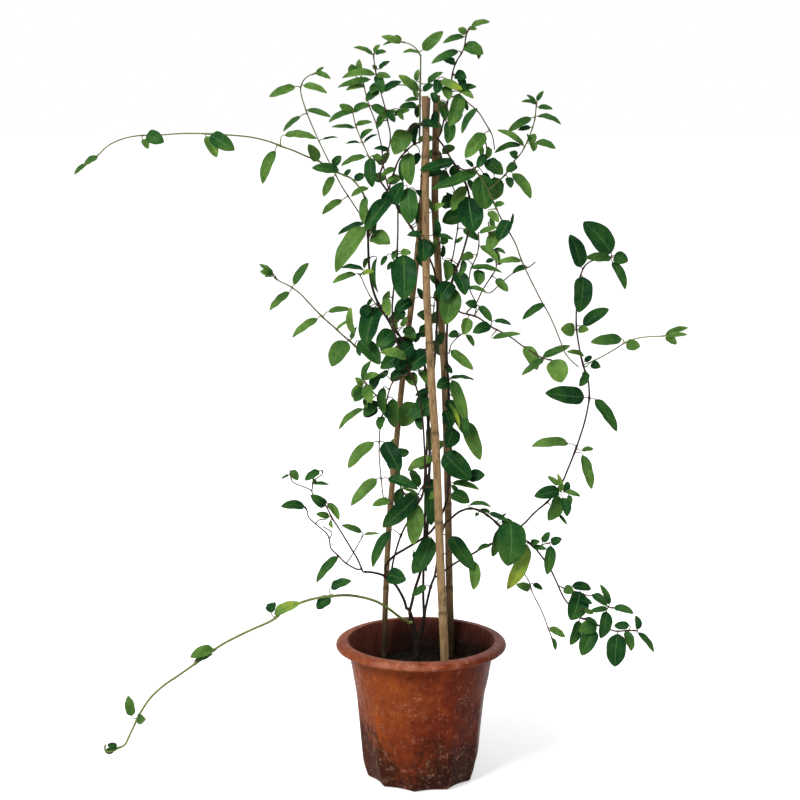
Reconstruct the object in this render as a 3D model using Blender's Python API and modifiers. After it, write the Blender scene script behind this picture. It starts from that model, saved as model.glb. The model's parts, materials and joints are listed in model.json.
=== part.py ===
"""A honeysuckle in a fluted nursery pot, trained up three bamboo stakes.

Metres, +Z up. The origin is the centre of the pot's base, and the front faces -Y.
Each shoot is one solid: its stems with the leaves that grow on them.
"""
import math

import bmesh
import bpy
from mathutils import Vector
from mathutils.bvhtree import BVHTree

MM = 0.001
CM = 0.01
GAP = 0.3 * MM

# The pot: a thin wall with ten flutes that fade out below a thick, rounded rim.
POT_SIDES = 40
FLUTES = 10
FLUTE_TURN = math.radians(10.5)
FLUTE_BLUNTNESS = 0.8
WALL = 2.2 * MM
FLOOR = 3.8 * MM
SOIL_LEVEL = 160 * MM
# Height and radius at the crest of the flutes, from the foot to the neck under the rim.
WALL_PROFILE = [(0, 75.5), (5, 82), (25, 87.3), (60, 90.6), (100, 93.9), (130, 96.6),
                (160, 100.8), (174, 103.3)]
# Radius and height around the rim, from under it outward and over to the inside edge.
RIM_PROFILE = [(107, 195.3), (118.5, 195.8), (123.8, 197), (125, 200.5), (123.5, 203.8),
               (118, 206.6), (109, 207.3)]
# Height and depth of the flutes.
FLUTE_PROFILE = [(0, 8.5), (30, 5), (70, 3.5), (130, 0), (207.3, 0)]
DRAIN_HOLES = 5
DRAIN_DIAMETER = 12 * MM
DRAIN_CIRCLE = 45 * MM
SOIL_MARGIN = 1.2 * MM
SOIL_RINGS = [0.72, 0.4]
SOIL_BUMP = 3 * MM

# Stems and leaves.
STEM_STEP = 25 * MM
STUB = 3 * MM
TIP_REACH = 4 * MM
STAKE_NODE_PITCH = 130 * MM
STAKE_NODE_SWELL = 1.12
STAKE_NODE_HALF = 3 * MM
HOLE_CLEARANCE = 0.35 * MM
THICK_STEM = 2.5
JOINT_MARGIN = 3
STALK = 0.8 * MM
BLADE = 0.9 * MM
BOW = 0.12
LONG_LEAF = 40 * MM
LEAF_CLEARANCE = 0.4 * MM
# How far along a blade its cross-sections stand, and how much of its width each has.
STATIONS = [(0.45, 1)]
LONG_STATIONS = [(0.32, 0.97), (0.68, 0.8)]

# Everything that grows is laid out in centimetres on a front elevation, as an eye at
# (EYE_X, -EYE_DISTANCE, EYE_Z) sees it: u to the right and v up are measured on the plane
# through the pot's axis, and d is the depth behind that plane.
EYE_X = -3.1
EYE_Z = 102.9
EYE_DISTANCE = 268

# Each stake is (thickness at its foot and at its top in millimetres, points (u, v, d)).
STAKES = [
    ("stake_front", 13.0, 10.0, [
        (3.9, 3.0, -6.2), (3.5, 17.5, -5.6), (2.9, 30, -4.9), (2.5, 40, -4.3), (2.05, 50, -3.7),
        (1.5, 58, -3.2), (1.05, 66, -2.8), (0.7, 72, -2.4), (0.55, 80, -1.9), (0.5, 88, -1.4),
        (0.55, 94, -1.1), (0.4, 99.6, -0.8)]),
    ("stake_right", 11.0, 10.0, [
        (4.2, 8, 5.6), (4.4, 18.5, 7.6), (4.1, 30, 6.8), (3.9, 40, 6.0), (3.65, 50, 5.2),
        (3.3, 60, 4.4), (2.9, 66, 3.7), (2.3, 76, 2.8), (1.85, 84, 2.0), (1.9, 92, 1.2),
        (2.05, 99.7, 0.6)]),
    ("stake_left", 8.6, 8.6, [
        (-4.9, 8, 5.3), (-5.4, 18.2, 6.9), (-5.1, 30, 6.2), (-4.8, 36, 5.8), (-4.4, 42, 5.3),
        (-3.6, 50.5, 4.6), (-3.0, 57, 4.1), (-2.1, 65, 3.4), (-1.5, 70, 3.0), (-0.8, 76, 2.5),
        (-0.2, 82, 2.0), (0.2, 88, 1.6), (0.5, 94, 1.3), (0.75, 99.4, 1.2)]),
]

# The crown's trunk and its two forks, in the same form.
CROWN = [
    (11.0, 10.0, [(-0.6, 13, 0.3), (-0.6, 18, 0.3), (-0.55, 20.5, 0.3)]),
    (8.0, 6.0, [(-0.55, 20, 0.3), (-1.1, 22.4, 0.3), (-1.6, 24.6, 0.3)]),
    (7.0, 5.0, [(-0.3, 20.3, 0.3), (0.05, 22, 0.3), (0.5, 24.5, 0.2)]),
]

# How far back each side shoot swings in 10 cm of its way, in centimetres; less than 0 is
# forward. A shoot listed here starts at its parent's depth, and the others where they say.
SWINGS = {
    "shoot_hanging_left": -3.5, "shoot_long_left": 3, "shoot_small_left": -4,
    "shoot_hooked": 4, "shoot_arching_far_left": -3.2, "shoot_top_left_front": -5,
    "shoot_top_left_middle": 1.5, "shoot_top_left_outer": 5, "shoot_leader": 4,
    "shoot_top_right": -4.5, "vine_top_right": -2, "shoot_upper_right": -3.4,
    "vine_long_right": -3, "shoot_outer_right": 4.5, "shoot_inner_right": 4,
    "shoot_centre_right": -5, "shoot_bushy_right": 2, "twig_side_right": -4,
    "vine_hanging_right": 3, "branch_tall_right": 3, "tendril_right": -3,
    "branch_low_right": -4, "twigs_low_left": 5, "runner_low_left": -3,
}

# Each shoot is (name, what it grows from, stems, leaves). A stem is (thickness at its start
# and at its end in millimetres, points (u, v, d)). A leaf is (u and v of its base, u and v
# of its tip, width, roll, depth): roll turns its upper face up and outward in degrees, and
# depth is how far its tip lies behind its stem.
SHOOTS = [
    ("cane_middle", "crown", [
        (4.6, 3.4, [(-1.6, 24.7, 0.3), (-1.3, 26.5, 0.3), (-0.9, 28.3, 0.4), (-0.2, 30.6, 0.6),
             (0.5, 33.5, 0.6), (0.9, 38, 0.6), (1, 43, 0.8), (1.2, 48, 1), (0.9, 54, 1.2),
             (0.6, 60, 1), (0.2, 62.2, 0.8), (-1, 63.6, 0.8), (-2.6, 65, 0.9), (-4.2, 67.2, 0.8),
             (-5.9, 69.8, 0.4), (-6.9, 72.2, 0), (-7.4, 74.8, -0.3), (-7.6, 78, -0.5),
             (-7.6, 81.2, -0.5)]),
    ], [
        (1.5, 36, -1.2, 30.6, 2.7, 15, -2), (-1.1, 33.9, 0.8, 31, 1.6, 20, -3),
        (1.3, 44.8, 1.4, 37.9, 2.4, 15, 1), (1.8, 47.8, -2, 46, 1.6, 40, -1),
        (1, 52.6, 1.2, 48.8, 1.3, 10, 2), (1.7, 56.3, -1.4, 53.9, 2.7, 25, -2),
        (-0.8, 55.9, -2.9, 52.6, 2.9, 15, -0.5), (-0.4, 54.2, 0, 52, 1.3, 20, -1.5),
        (1, 57.9, -0.9, 57, 0.9, 40, -1), (-1.9, 60.2, -0.8, 58.5, 1.9, 15, -1.5),
        (-0.4, 60.6, 1.3, 58, 1.4, 30, -1), (0.8, 63.2, -2.6, 60.9, 2.6, 25, -1.2),
        (-1.2, 64.4, -5.9, 61, 2.6, 25, -1.5), (-4, 66.4, -6.4, 64.1, 2.3, 20, -2),
        (-3.9, 68.2, -3.4, 66.6, 1, 20, -2), (-2.5, 66.8, -0.9, 65.4, 1.6, 25, -1.5),
        (-6.6, 69.9, -8, 64.2, 3, 15, -2), (-7.7, 76.9, -8.2, 75.4, 0.9, 30, -1),
        (-7.2, 80, -4.5, 78.9, 2.4, 25, -2), (-8.2, 81.3, -12.2, 74.9, 3, 35, -2.5),
        (-8.2, 81.8, -11.9, 80.2, 1.3, 50, 1), (-6.4, 76.9, -6.2, 71.9, 1, 45, -0.5),
        (-6.8, 80.3, -6.4, 82.3, 0.8, 15, -0.6), (-7.2, 70, -8.7, 68.6, 1.6, 15, 0.8),
        (-1.3, 64.6, -3.9, 65.1, 1.5, 15, 1.2), (0.6, 57.6, -0.6, 55.6, 1.3, 10, 1),
    ]),
    ("cane_left", "cane_middle", [
        (4.2, 3.4, [(-1.6, 25.2, 0.3), (-2.6, 26.9, 0), (-3.8, 29, -0.5), (-4.6, 29.3, -0.6),
             (-5.4, 30.3, -0.9), (-7, 30.8, -1.2), (-8.2, 30.9, -1.5)]),
    ], [
        (-4.9, 30.5, -2.2, 29.7, 2.5, 20, -2),
    ]),
    ("cane_right", "crown", [
        (3.8, 3, [(0.5, 24.6, 0.2), (1, 27, 0), (1.5, 29, -0.2), (2, 30.4, -0.2), (2.4, 33, 0),
             (2.9, 36, 0.8), (3.4, 38, 1.6), (4.2, 38.8, 1.6), (5.5, 39.9, 1.2), (7, 40.4, 0.6),
             (8.2, 40.2, 0), (9.3, 39.6, -0.4), (10.6, 38.6, -0.6), (12, 37.2, -0.6),
             (13.6, 36.2, -0.6), (15.4, 35.5, -0.4), (16.4, 34.7, -0.2)]),
    ], [
        (0.7, 28.8, -1.4, 27.2, 1.1, 35, -1), (4.3, 36.2, 7.7, 31.2, 2.3, 20, -2),
        (7.5, 32.6, 7.7, 28.2, 1.7, 10, -1), (7, 40.9, 10.2, 40.6, 0.9, 50, -1),
        (8.3, 39.7, 7.9, 39.2, 0.6, 30, -1), (9.9, 39.7, 12.8, 38.3, 1, 45, -1),
        (12.9, 38.6, 12.7, 31.8, 4.1, 10, -2), (11.2, 37.3, 10.4, 33.2, 1.7, 20, 1),
        (15.4, 35, 12.6, 28.3, 2.5, 15, -1), (16, 35.3, 17.3, 35.5, 1, 20, -1),
        (16.3, 34.6, 18.3, 34.3, 0.9, 40, -1), (8.4, 40.1, 10, 39.9, 0.7, 25, 0.5),
        (11.6, 39, 12.4, 39.7, 0.4, 20, -0.4), (11.7, 38.4, 13.2, 38.6, 0.9, 20, -0.8),
    ]),
    ("branch_low_right", "cane_right", [
        (2.8, 2, [(16.4, 34.7, -0.2), (18.2, 32.4, 0), (19.1, 30.9, 0), (19.9, 29.2, 0),
             (20.5, 27.8, 0), (21.3, 26.4, 0), (22.6, 25, 0), (23.3, 24, 0.2), (24.5, 23.6, 0.3),
             (25.8, 22.9, 0.3), (27.4, 22.3, 0.3), (28.7, 21.9, 0.3), (30.2, 22, 0.3),
             (31.8, 22, 0.3)]),
        (1.8, 1.6, [(20.1, 28.8, 0), (21.5, 28.2, 0.6), (23.2, 27.8, 0.8), (24.4, 27.3, 0.8),
             (25.3, 27.2, 0.8), (27.3, 25.7, 0.6), (28.2, 25.4, 0.6)]),
        (1.6, 1.5, [(16.6, 34.4, -0.1), (17.4, 34.9, 0.4), (18.4, 35.2, 0.6), (18.8, 35.3, 0.6)]),
    ], [
        (17.7, 35.4, 18.7, 36.9, 1.1, 20, 0), (18.9, 35.3, 20.5, 35.9, 1.2, 20, -1),
        (18.9, 34.8, 18.4, 30.5, 1.8, 20, -1.5), (20.9, 28.4, 22.4, 27.8, 1.4, 20, -1),
        (22.1, 28.8, 24.9, 28.3, 1.4, 30, 1), (23.3, 27.9, 22, 23.6, 3.1, 10, -2),
        (23.2, 26.7, 25.1, 26.1, 1.1, 30, -1.5), (25.2, 27.5, 27.3, 25.8, 1.2, 20, -1.5),
        (27.6, 26, 26.2, 29, 1.1, 30, 0), (27.3, 25.4, 24.7, 24.9, 0.9, 40, -1),
        (28.3, 25.5, 31.2, 24.6, 1.2, 40, -1), (23.9, 25.2, 25.3, 24.6, 0.8, 30, -1),
        (27.2, 24.9, 26.4, 20.8, 1.9, 15, -1.5), (23.2, 23.5, 22, 19.8, 1.7, 20, -1),
        (25.8, 22.7, 23.1, 22, 2, 20, -1), (24.1, 23.9, 26, 22.6, 0.9, 40, -1),
        (25.4, 22.2, 23.7, 18.2, 2.4, 15, -1.5), (28.9, 21.5, 28.6, 16.5, 2.8, 5, -1),
        (30.1, 21.9, 31, 18.9, 1.6, 20, -1), (30.6, 22.8, 28.4, 22.7, 1.2, 20, 1),
        (31.9, 22.2, 31.5, 24.3, 1.1, 20, 0), (31.9, 21.7, 34.3, 18.7, 1, 35, -1),
    ]),
    ("branch_tall_right", "cane_right", [
        (3.2, 2.3, [(2, 30.2, -0.2), (2.8, 30.7, 0.3), (3.6, 31.2, 0.6), (4.5, 31.9, 0.8),
             (5.6, 32.6, 1), (7.3, 33.5, 1), (8.6, 34.3, 1), (10, 35, 1), (11.4, 35.8, 1),
             (13, 36.8, 1), (14.8, 38, 0.8), (16.6, 39.9, 0.6), (18.7, 41.8, 0.4),
             (20.4, 44.3, 0.2), (21.2, 46.2, 0), (22.1, 48.6, 0), (22.9, 51, 0), (23.6, 53.5, 0),
             (24.1, 56.3, 0), (24.1, 57.8, 0), (23.9, 59.5, 0), (23.3, 61.1, 0), (22.8, 63, 0),
             (22.3, 65.6, 0), (22.1, 67.3, 0.2), (22.1, 70, 0.6), (22.3, 73, 0.6),
             (22.8, 75, 0.4), (23.3, 75.9, 0.2), (24.2, 76.5, 0), (25.6, 76.9, -0.2),
             (27.1, 77, -0.3)]),
    ], [
        (10, 34.9, 8.2, 34.2, 0.8, 40, -1), (20.3, 42.9, 19.7, 45.6, 1, 30, -1),
        (19.9, 43.9, 18.3, 45.2, 0.9, 30, 0.5), (20, 43, 16.4, 42.2, 2, 25, -1.5),
        (20.7, 42.8, 21.3, 44.4, 1.3, 20, 1), (20.9, 43, 23.1, 42.2, 0.9, 40, -1),
        (20, 42.2, 18.5, 38.6, 2.2, 15, -1), (20.5, 42, 21.2, 39.2, 1.5, 15, -2),
        (21.4, 42.4, 21.6, 40.8, 0.9, 20, 0), (19.9, 39.6, 21.2, 38, 0.6, 30, 0),
        (21.2, 50, 15.9, 49.6, 1.9, 48, -1), (23.3, 48.3, 24.7, 43.3, 1.8, 20, -1),
        (23.2, 49, 24.9, 49.2, 0.8, 40, 0.5), (23.4, 56.8, 17.8, 57.4, 2.8, 25, -2),
        (25, 56.5, 28.2, 51.8, 1.9, 25, -1.5), (23.6, 60.6, 22.7, 58.4, 1.6, 20, -1),
        (24.4, 61.8, 25.7, 61.2, 1.4, 10, -1), (23.4, 62, 24.4, 62.8, 0.9, 20, 1),
        (23.2, 62.9, 20.8, 63.4, 1, 40, -1), (21.9, 66.6, 19.9, 66.7, 2, 10, -1),
        (22.4, 66.6, 23.9, 66.6, 1.3, 30, -1), (23.1, 67.3, 26.7, 69.6, 1.9, 25, 1),
        (22.9, 74.2, 22.4, 69.1, 2.9, 5, -2), (22.6, 75.6, 21, 80.2, 2.5, 15, 0.5),
        (26.9, 77.6, 22.9, 82, 3.3, 15, 0.5), (26.8, 76.9, 23.2, 76.9, 1.7, 30, -2),
        (27.3, 77.2, 29.3, 76.4, 1.9, 15, -1), (27.1, 76.3, 29, 72.4, 1.5, 20, -1),
    ]),
    ("tendril_right", "branch_tall_right", [
        (1.8, 1.6, [(23.3, 61.2, 0), (24.2, 61.9, 0.3), (25.4, 62.5, 0.4), (26.7, 63.2, 0.3),
             (28, 64, 0.1), (29.2, 64.8, 0), (30.5, 65.3, 0), (32.4, 65.6, 0), (34.8, 65.7, 0)]),
    ], [
        (28.6, 65.3, 24.2, 64.8, 1.8, 35, -1), (29.3, 64.6, 31.3, 64.2, 1.6, 15, -1),
        (34.9, 65.8, 38.1, 66.9, 1, 30, 0.5), (35, 65.7, 36.5, 64.5, 1.2, 20, -1),
        (35.1, 65.7, 38, 65.9, 0.8, 40, -1),
    ]),
    ("cane_back", "crown", [
        (4, 2.8, [(-0.1, 21.6, 0.5), (0.4, 23.4, 1.6), (0.3, 28, 2.4), (0.4, 34, 3),
             (0.6, 42, 3.4), (0.8, 50, 3), (1.5, 58, 1.7), (2, 64, 0.7), (2.2, 70, 0.3),
             (1.9, 74.5, 0.4), (1.1, 76.8, 0.4), (0, 79, 0.3), (-1, 80.5, 0.2), (-2.6, 82.8, 0),
             (-4, 85, -0.2), (-5.2, 86.8, -0.4), (-6, 88.2, -0.5), (-5.5, 90, -0.5),
             (-4.9, 91.7, -0.5)]),
    ], [
        (-4.9, 85.2, -8, 80.7, 2.4, 25, -2), (-4.2, 84.6, -2.6, 87.6, 2.2, 20, -2),
        (-2, 86.8, -1.6, 81.8, 2.6, 15, -2), (-0.9, 86.5, 1.6, 83.4, 1.2, 45, -2),
        (1.2, 79.3, 0.1, 76.6, 1.9, 20, -2), (0.9, 80.1, -1.8, 80, 0.9, 40, -1),
        (2, 80.1, 4.5, 79.5, 0.9, 40, -1), (3, 78.8, 3.2, 80.4, 1.3, 20, -1),
        (1.6, 83.6, 3.2, 84.6, 1, 25, -1), (2.1, 80, 1.9, 82.6, 1.2, 15, -1),
        (-1.4, 70.9, -3.9, 69.2, 2, 20, -1), (-0.7, 81.7, -0.4, 84.8, 0.6, 15, 0.4),
        (1.7, 78.2, 1.9, 79.8, 0.8, 15, -0.6), (2.4, 73.1, 1.2, 74.5, 1, 15, 0.7),
        (-0.7, 77.4, 0.4, 75.6, 1, 10, 0.8), (2.9, 66.2, 2, 64.3, 1.2, 10, 0.8),
    ]),
    ("cane_crossing", "cane_left", [
        (3.8, 2.8, [(-5.3, 30.5, -0.9), (-5.2, 31.8, -0.9), (-4, 33.3, -0.7), (-2.6, 34.2, -0.5),
             (-0.8, 35.3, -0.5), (0.7, 36.3, -0.5), (1.9, 37.6, 0.2), (3, 39.6, 1.4),
             (3.8, 42, 2.4), (3.9, 44, 2.2), (4.3, 48, 2.2), (4, 53, 2), (3.9, 58, 1.6),
             (3.6, 63, 0.8), (3.7, 68, 0.3), (4.3, 73.5, 0), (5.1, 75.8, 0), (5.6, 77, 0),
             (6.2, 79, 0), (6.6, 80.8, 0.2), (6.8, 83.5, 0.8), (6.5, 86.5, 1), (5.2, 89.3, 0.6),
             (4.3, 90.5, 0.2), (3.2, 92.4, -0.3), (2.3, 93.6, -0.4)]),
    ], [
        (4.4, 42.6, 7, 41.3, 2, 20, -1), (4.5, 44.2, 8.4, 43.2, 1.2, 50, -1),
        (6.9, 45, 9.2, 45.4, 1.8, 20, -1), (3.3, 48.6, 7.2, 44.8, 3.2, 15, -2),
        (4.6, 52.3, 3.6, 49.4, 2.6, 15, -2), (3.4, 54.9, 4.2, 52.2, 2, 20, -1),
        (3.7, 56.4, 6.6, 51, 2.4, 20, -3), (3.4, 56.2, 5.4, 52.2, 0.9, 50, -3.4),
        (6.4, 53.2, 8.5, 47.6, 2.3, 25, -2), (3.9, 59.3, 2.2, 58.2, 1.9, 20, -1),
        (4, 59.6, 7.6, 59.3, 0.9, 60, -1), (4.4, 59.3, 6.5, 53.2, 1.9, 25, -2),
        (4.3, 57.2, 5.3, 56.6, 0.8, 30, -1), (4, 72.8, 3.4, 67.4, 3.2, 10, -2),
        (4.2, 73.4, 2.6, 70.6, 2.4, 15, -2), (4.9, 74.8, 6.2, 71.6, 2.2, 15, -2),
        (3.4, 76.6, 3.6, 73.6, 1.6, 20, 0), (6.6, 85.4, 7.4, 80.6, 3.6, 10, -2),
        (6.1, 87, 4.3, 83.6, 1.7, 20, 0), (7.8, 89.2, 1.4, 86.6, 1.8, 30, -2),
        (4.4, 90.6, -0.3, 89.3, 1.7, 30, -2), (2.8, 89.2, -0.3, 88.4, 1.1, 25, -1.6),
        (6.5, 88, 7.1, 86.4, 0.9, 15, 0.7), (4.4, 72.6, 5.2, 70.1, 1.2, 10, 0.8),
        (3.3, 47.8, 5.7, 45.3, 1.6, 25, 0.5), (5, 45.4, 7.2, 44.6, 1.1, 25, 0.6),
        (4.4, 43.9, 5.4, 42.6, 0.8, 15, 0.5), (3.4, 61.6, 4.4, 60.3, 0.9, 20, 0.6),
    ]),
    ("cane_slender", "cane_left", [
        (3, 2.4, [(-4.5, 29.5, -0.6), (-4.3, 31.2, -0.9), (-3.9, 33.3, -1.3), (-3.1, 36, -1.6),
             (-2.3, 37.8, -1.6), (-1.3, 39.5, -1.4), (-0.6, 41, -1), (0.2, 42.6, -0.8),
             (0.5, 46, -0.8), (0.4, 50, -1), (0, 55, -1), (-1, 59, -1), (-2.4, 62, -1),
             (-3.6, 65, -1.2), (-4.1, 67.5, -1.2), (-4.2, 70, -1.2), (-4, 72.5, -1),
             (-3.7, 75, -0.8), (-3.5, 78, -0.6), (-3.4, 81, -0.6), (-3.4, 82.6, -0.6),
             (-3.4, 84.8, -0.6), (-3.4, 86.6, -0.6)]),
    ], [
        (-0.8, 42.1, -5.6, 37.6, 2.7, 25, -2), (-0.9, 41.2, -1.2, 35, 2.4, 5, -2),
        (-4.6, 37, -7.1, 31.6, 1.6, 30, -1), (-0.5, 42.5, -3.1, 43.5, 0.8, 60, -1),
        (1.9, 43.3, 1.2, 41.8, 0.9, 20, 0), (-2.2, 62.5, -5.9, 63.3, 1.6, 40, -2.5),
        (-2.6, 62.6, -3.7, 60.8, 2, 20, 1), (-5, 71.2, -4.6, 68.6, 1.5, 10, -1),
        (-2.6, 77.3, -2.5, 70.9, 3.5, 5, -2), (-3, 77.8, -1.5, 77.6, 1, 20, -1),
        (-3.8, 77.9, -4.1, 76.6, 0.8, 20, -1), (-4, 76.3, -4.9, 75.2, 0.8, 15, -0.5),
        (-5, 77.2, -5.8, 75.8, 0.8, 15, -0.6), (-3.1, 68.1, -2.4, 69.3, 0.9, 15, 0.6),
        (-2.9, 67.1, -2.1, 68.5, 0.8, 15, -0.5), (-1.9, 61.1, -3.6, 60.1, 1.4, 20, 0.7),
        (-2.8, 60.6, -4.4, 59.3, 1.7, 15, 0.6),
    ]),
    ("shoot_hanging_left", "cane_slender", [
        (2, 1.6, [(-1.7, 60.4, -1), (-3, 59.9, -0.9), (-4, 59.2, -0.8), (-4.6, 58, -0.4),
             (-5.1, 56, 0), (-5.7, 54, 0.3), (-6, 52, 0.5), (-6.1, 50, 0.5), (-6.1, 48, 0.5),
             (-5.9, 45.5, 0.3), (-5.7, 43.5, 0), (-5.5, 42, 0), (-5.2, 41.4, 0)]),
        (1.6, 1.4, [(-5.1, 56.4, 0), (-6.4, 57, -0.2), (-7.7, 58.5, -0.4), (-8.3, 59.3, -0.5)]),
    ], [
        (-6.9, 50.2, -10.6, 46.4, 1.9, 40, -1.5), (-5.4, 50.2, -3.1, 46, 2.5, 10, -2),
        (-6.5, 44.8, -10.2, 40.8, 1.9, 40, -1.5), (-4.8, 44.9, -0.5, 43.2, 1.8, 45, -2),
        (-4.6, 41.6, -7.1, 40.8, 1.4, 45, -2), (-8.4, 55.1, -11.9, 52.1, 1.4, 50, -1),
        (-8.2, 58, -9.7, 56.2, 1.8, 20, -1.5), (-8.5, 58.4, -9.5, 59.7, 1, 30, -1),
        (-7.9, 58.6, -7.2, 56, 1.9, 20, -1.5), (-8.3, 59.2, -7.3, 62.1, 1.2, 40, 1),
        (-8.3, 59.5, -6.2, 60.2, 1.1, 40, -1), (-6, 60.2, -7, 57.9, 1.6, 30, 1),
        (-5.5, 58.2, -5.4, 54.4, 1.5, 20, -2), (-6.4, 56.2, -8.3, 54, 1.7, 30, -1),
        (-5.6, 54, -6, 52, 1.3, 20, -2), (-4.1, 56.6, -3.9, 52.4, 1.8, 10, 1.2),
        (-6.3, 55.1, -8.3, 54, 1.4, 20, 0.6), (-5.3, 56, -4.6, 53.6, 1.3, 10, 0.8),
        (-8, 56.8, -7.9, 55.2, 0.8, 15, -0.5), (-8.6, 58.5, -10, 56.8, 1.5, 15, 0.7),
    ]),
    ("shoot_long_left", "cane_slender", [
        (3, 1.8, [(-2.2, 61.6, -1), (-4, 61.5, -1.4), (-5.8, 61.9, -1.2), (-7.5, 62.7, -1),
             (-8.7, 63.5, -1), (-9.8, 64.5, -1.2), (-10.3, 65, -1.3), (-11.4, 65.9, -1.5),
             (-12.2, 66.7, -1.6), (-13.8, 68.1, -1.8), (-15, 69.3, -2), (-16.3, 70.7, -2.2),
             (-17.2, 71.7, -2.4), (-18.1, 72.4, -2.5), (-19, 73, -2.6), (-20.1, 73.5, -2.8),
             (-21, 74.1, -3)]),
    ], [
        (-21.2, 74.3, -23.1, 76, 0.9, 30, -0.5), (-21.3, 74.4, -23, 75, 1.1, 30, 0.5),
        (-21.2, 74.6, -22.3, 74.2, 1, 40, -1), (-18.2, 73.1, -16.1, 76.2, 1.4, 35, 1),
        (-18.9, 72, -21.7, 69.4, 1.4, 35, -1), (-14.9, 68.2, -18.5, 65.5, 1.5, 40, -1.5),
        (-13.3, 69.2, -9.9, 69.4, 1.2, 50, 1), (-9.6, 66, -10.1, 69.9, 1.2, 30, -1),
        (-10.7, 64.9, -12.9, 61.3, 2.6, 20, -1.5), (-10.1, 65.3, -9.3, 67, 0.9, 50, 1),
        (-12.2, 66.6, -9.7, 68, 0.6, 50, 0.5), (-9.1, 64.2, -8.8, 62.8, 0.8, 20, -1),
        (-9, 65, -6, 61.6, 2.5, 20, -2), (-4.8, 60.7, -6, 59.6, 0.9, 15, 0.5),
    ]),
    ("shoot_small_left", "cane_middle", [
        (1.8, 1.4, [(-6.1, 70.1, 0.3), (-7.2, 71.2, -0.2), (-8, 72.7, -0.6), (-8.6, 74.1, -0.8),
             (-9, 74.7, -1)]),
    ], [
        (-9.4, 74.6, -12.7, 73.3, 1.2, 45, -1), (-8.3, 75.2, -11.4, 75.5, 1.2, 60, -1),
        (-8.4, 74.6, -6.8, 75, 0.8, 30, -1), (-7.1, 71.1, -7.8, 69.9, 0.6, 15, 0.4),
    ]),
    ("shoot_hooked", "cane_middle", [
        (2, 1.5, [(-7.6, 81.2, -0.5), (-8, 82.2, -0.6), (-8.8, 83.2, -0.8), (-10.2, 85.3, -1),
             (-11.3, 87, -1.2), (-12.3, 88.9, -1.2), (-13.9, 92.1, -1.2), (-14.8, 94, -1),
             (-15.9, 96.6, -1), (-16.6, 98.6, -1), (-17, 100.2, -1), (-16.9, 101.2, -1),
             (-16.4, 102, -1), (-15.7, 102.5, -1), (-14.9, 102.7, -1)]),
    ], [
        (-14.8, 102.8, -12.8, 102, 0.9, 30, -1), (-14.8, 102.9, -13.7, 103.6, 0.5, 30, 0),
        (-17.8, 100.9, -21.4, 99.5, 1.4, 30, -1), (-16.6, 101.1, -13.3, 100, 1.2, 35, -1),
        (-16.1, 97.7, -12.8, 96.7, 1, 35, -1), (-17.1, 96.8, -19.5, 94.7, 0.9, 35, -1),
        (-14, 93.6, -11.8, 93.9, 0.5, 50, 0), (-12.5, 88.4, -13.9, 85.6, 1.3, 25, -1),
        (-11.3, 85.1, -14.1, 83.1, 1.2, 35, -1),
    ]),
    ("shoot_arching_far_left", "cane_middle", [
        (2.8, 1.6, [(-7.6, 80.3, -0.5), (-7.5, 82.2, 0.1), (-7.9, 84.6, 0.3), (-8.4, 86.2, 0.4),
             (-9.8, 88, 0.4), (-11, 88.6, 0.3), (-12.6, 89.3, 0.3), (-14.6, 90.6, 0),
             (-16.2, 91.2, -0.3), (-18, 92, -0.6), (-19.7, 92.6, -0.8), (-21.5, 93.3, -1),
             (-24, 93.9, -1), (-27, 94.2, -1), (-31, 94.4, -1), (-34, 94.4, -1), (-37, 94.2, -1),
             (-40, 94.1, -1), (-42.3, 93.6, -1), (-44.2, 92.7, -1), (-45.6, 91.4, -1),
             (-46.8, 90.5, -1), (-48.4, 89.2, -1)]),
    ], [
        (-29.7, 94.2, -26.4, 92.1, 2.2, 15, -1), (-30.4, 94, -28.9, 91.1, 1.6, 15, 0),
        (-38.7, 94.2, -36.3, 93.2, 1.9, 15, -1), (-39.3, 93.6, -38.5, 92.3, 0.9, 15, 0),
        (-45.7, 91.2, -47.6, 90, 1, 30, -1), (-47.4, 90.1, -49, 88.7, 0.8, 30, 0),
        (-20.7, 92, -22.5, 87.4, 1.6, 20, -1), (-19.3, 94.2, -14.8, 93.7, 1.2, 35, -1),
        (-11.8, 89.4, -15.5, 89.6, 1.6, 25, -1), (-12.5, 90, -11.4, 91.3, 1.2, 15, 0),
        (-14.7, 90.6, -16, 92.9, 1.5, 15, -1), (-10.9, 88.6, -10, 89.4, 0.7, 20, 0),
        (-7.6, 86.8, -10, 85.6, 1, 35, -1), (-7.9, 85.5, -8.3, 81.8, 1.4, 30, -1),
        (-9.5, 87.9, -8.1, 88.7, 1.2, 20, 0.7),
    ]),
    ("twig_top", "cane_back", [
        (2.8, 2.2, [(-5, 86.5, -0.4), (-4.4, 87.8, -0.6), (-4.1, 88.5, -0.7), (-3.4, 90.5, -0.7),
             (-2.4, 91.8, -0.6), (-1.3, 92.8, -0.4), (-0.4, 93.2, -0.2)]),
        (2.2, 1.8, [(-2.4, 91.8, -0.6), (-2, 94, -0.4), (-1.7, 95, -0.3), (-0.9, 95.5, -0.2)]),
    ], [
        (-1.9, 91.7, -1.6, 87.2, 2.1, 15, -2), (-3.9, 89.6, -5.7, 88.5, 1, 35, -1),
        (-3.6, 88.4, -4.9, 87.4, 0.8, 35, -1), (-2.2, 94.8, -3.9, 91.5, 2.7, 10, -2),
        (-0.2, 95.8, 2.6, 95.3, 1.3, 20, -3), (-0.7, 95.4, -1, 92.7, 1, 20, 1),
        (-0.5, 95.8, -2, 94.3, 1.3, 15, 0.6), (-2.7, 91, -2.7, 87.6, 0.9, 10, 0.9),
        (-0.4, 91.7, -1.2, 90, 1.1, 10, 0.6),
    ]),
    ("shoot_leader", "twig_top", [
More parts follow.
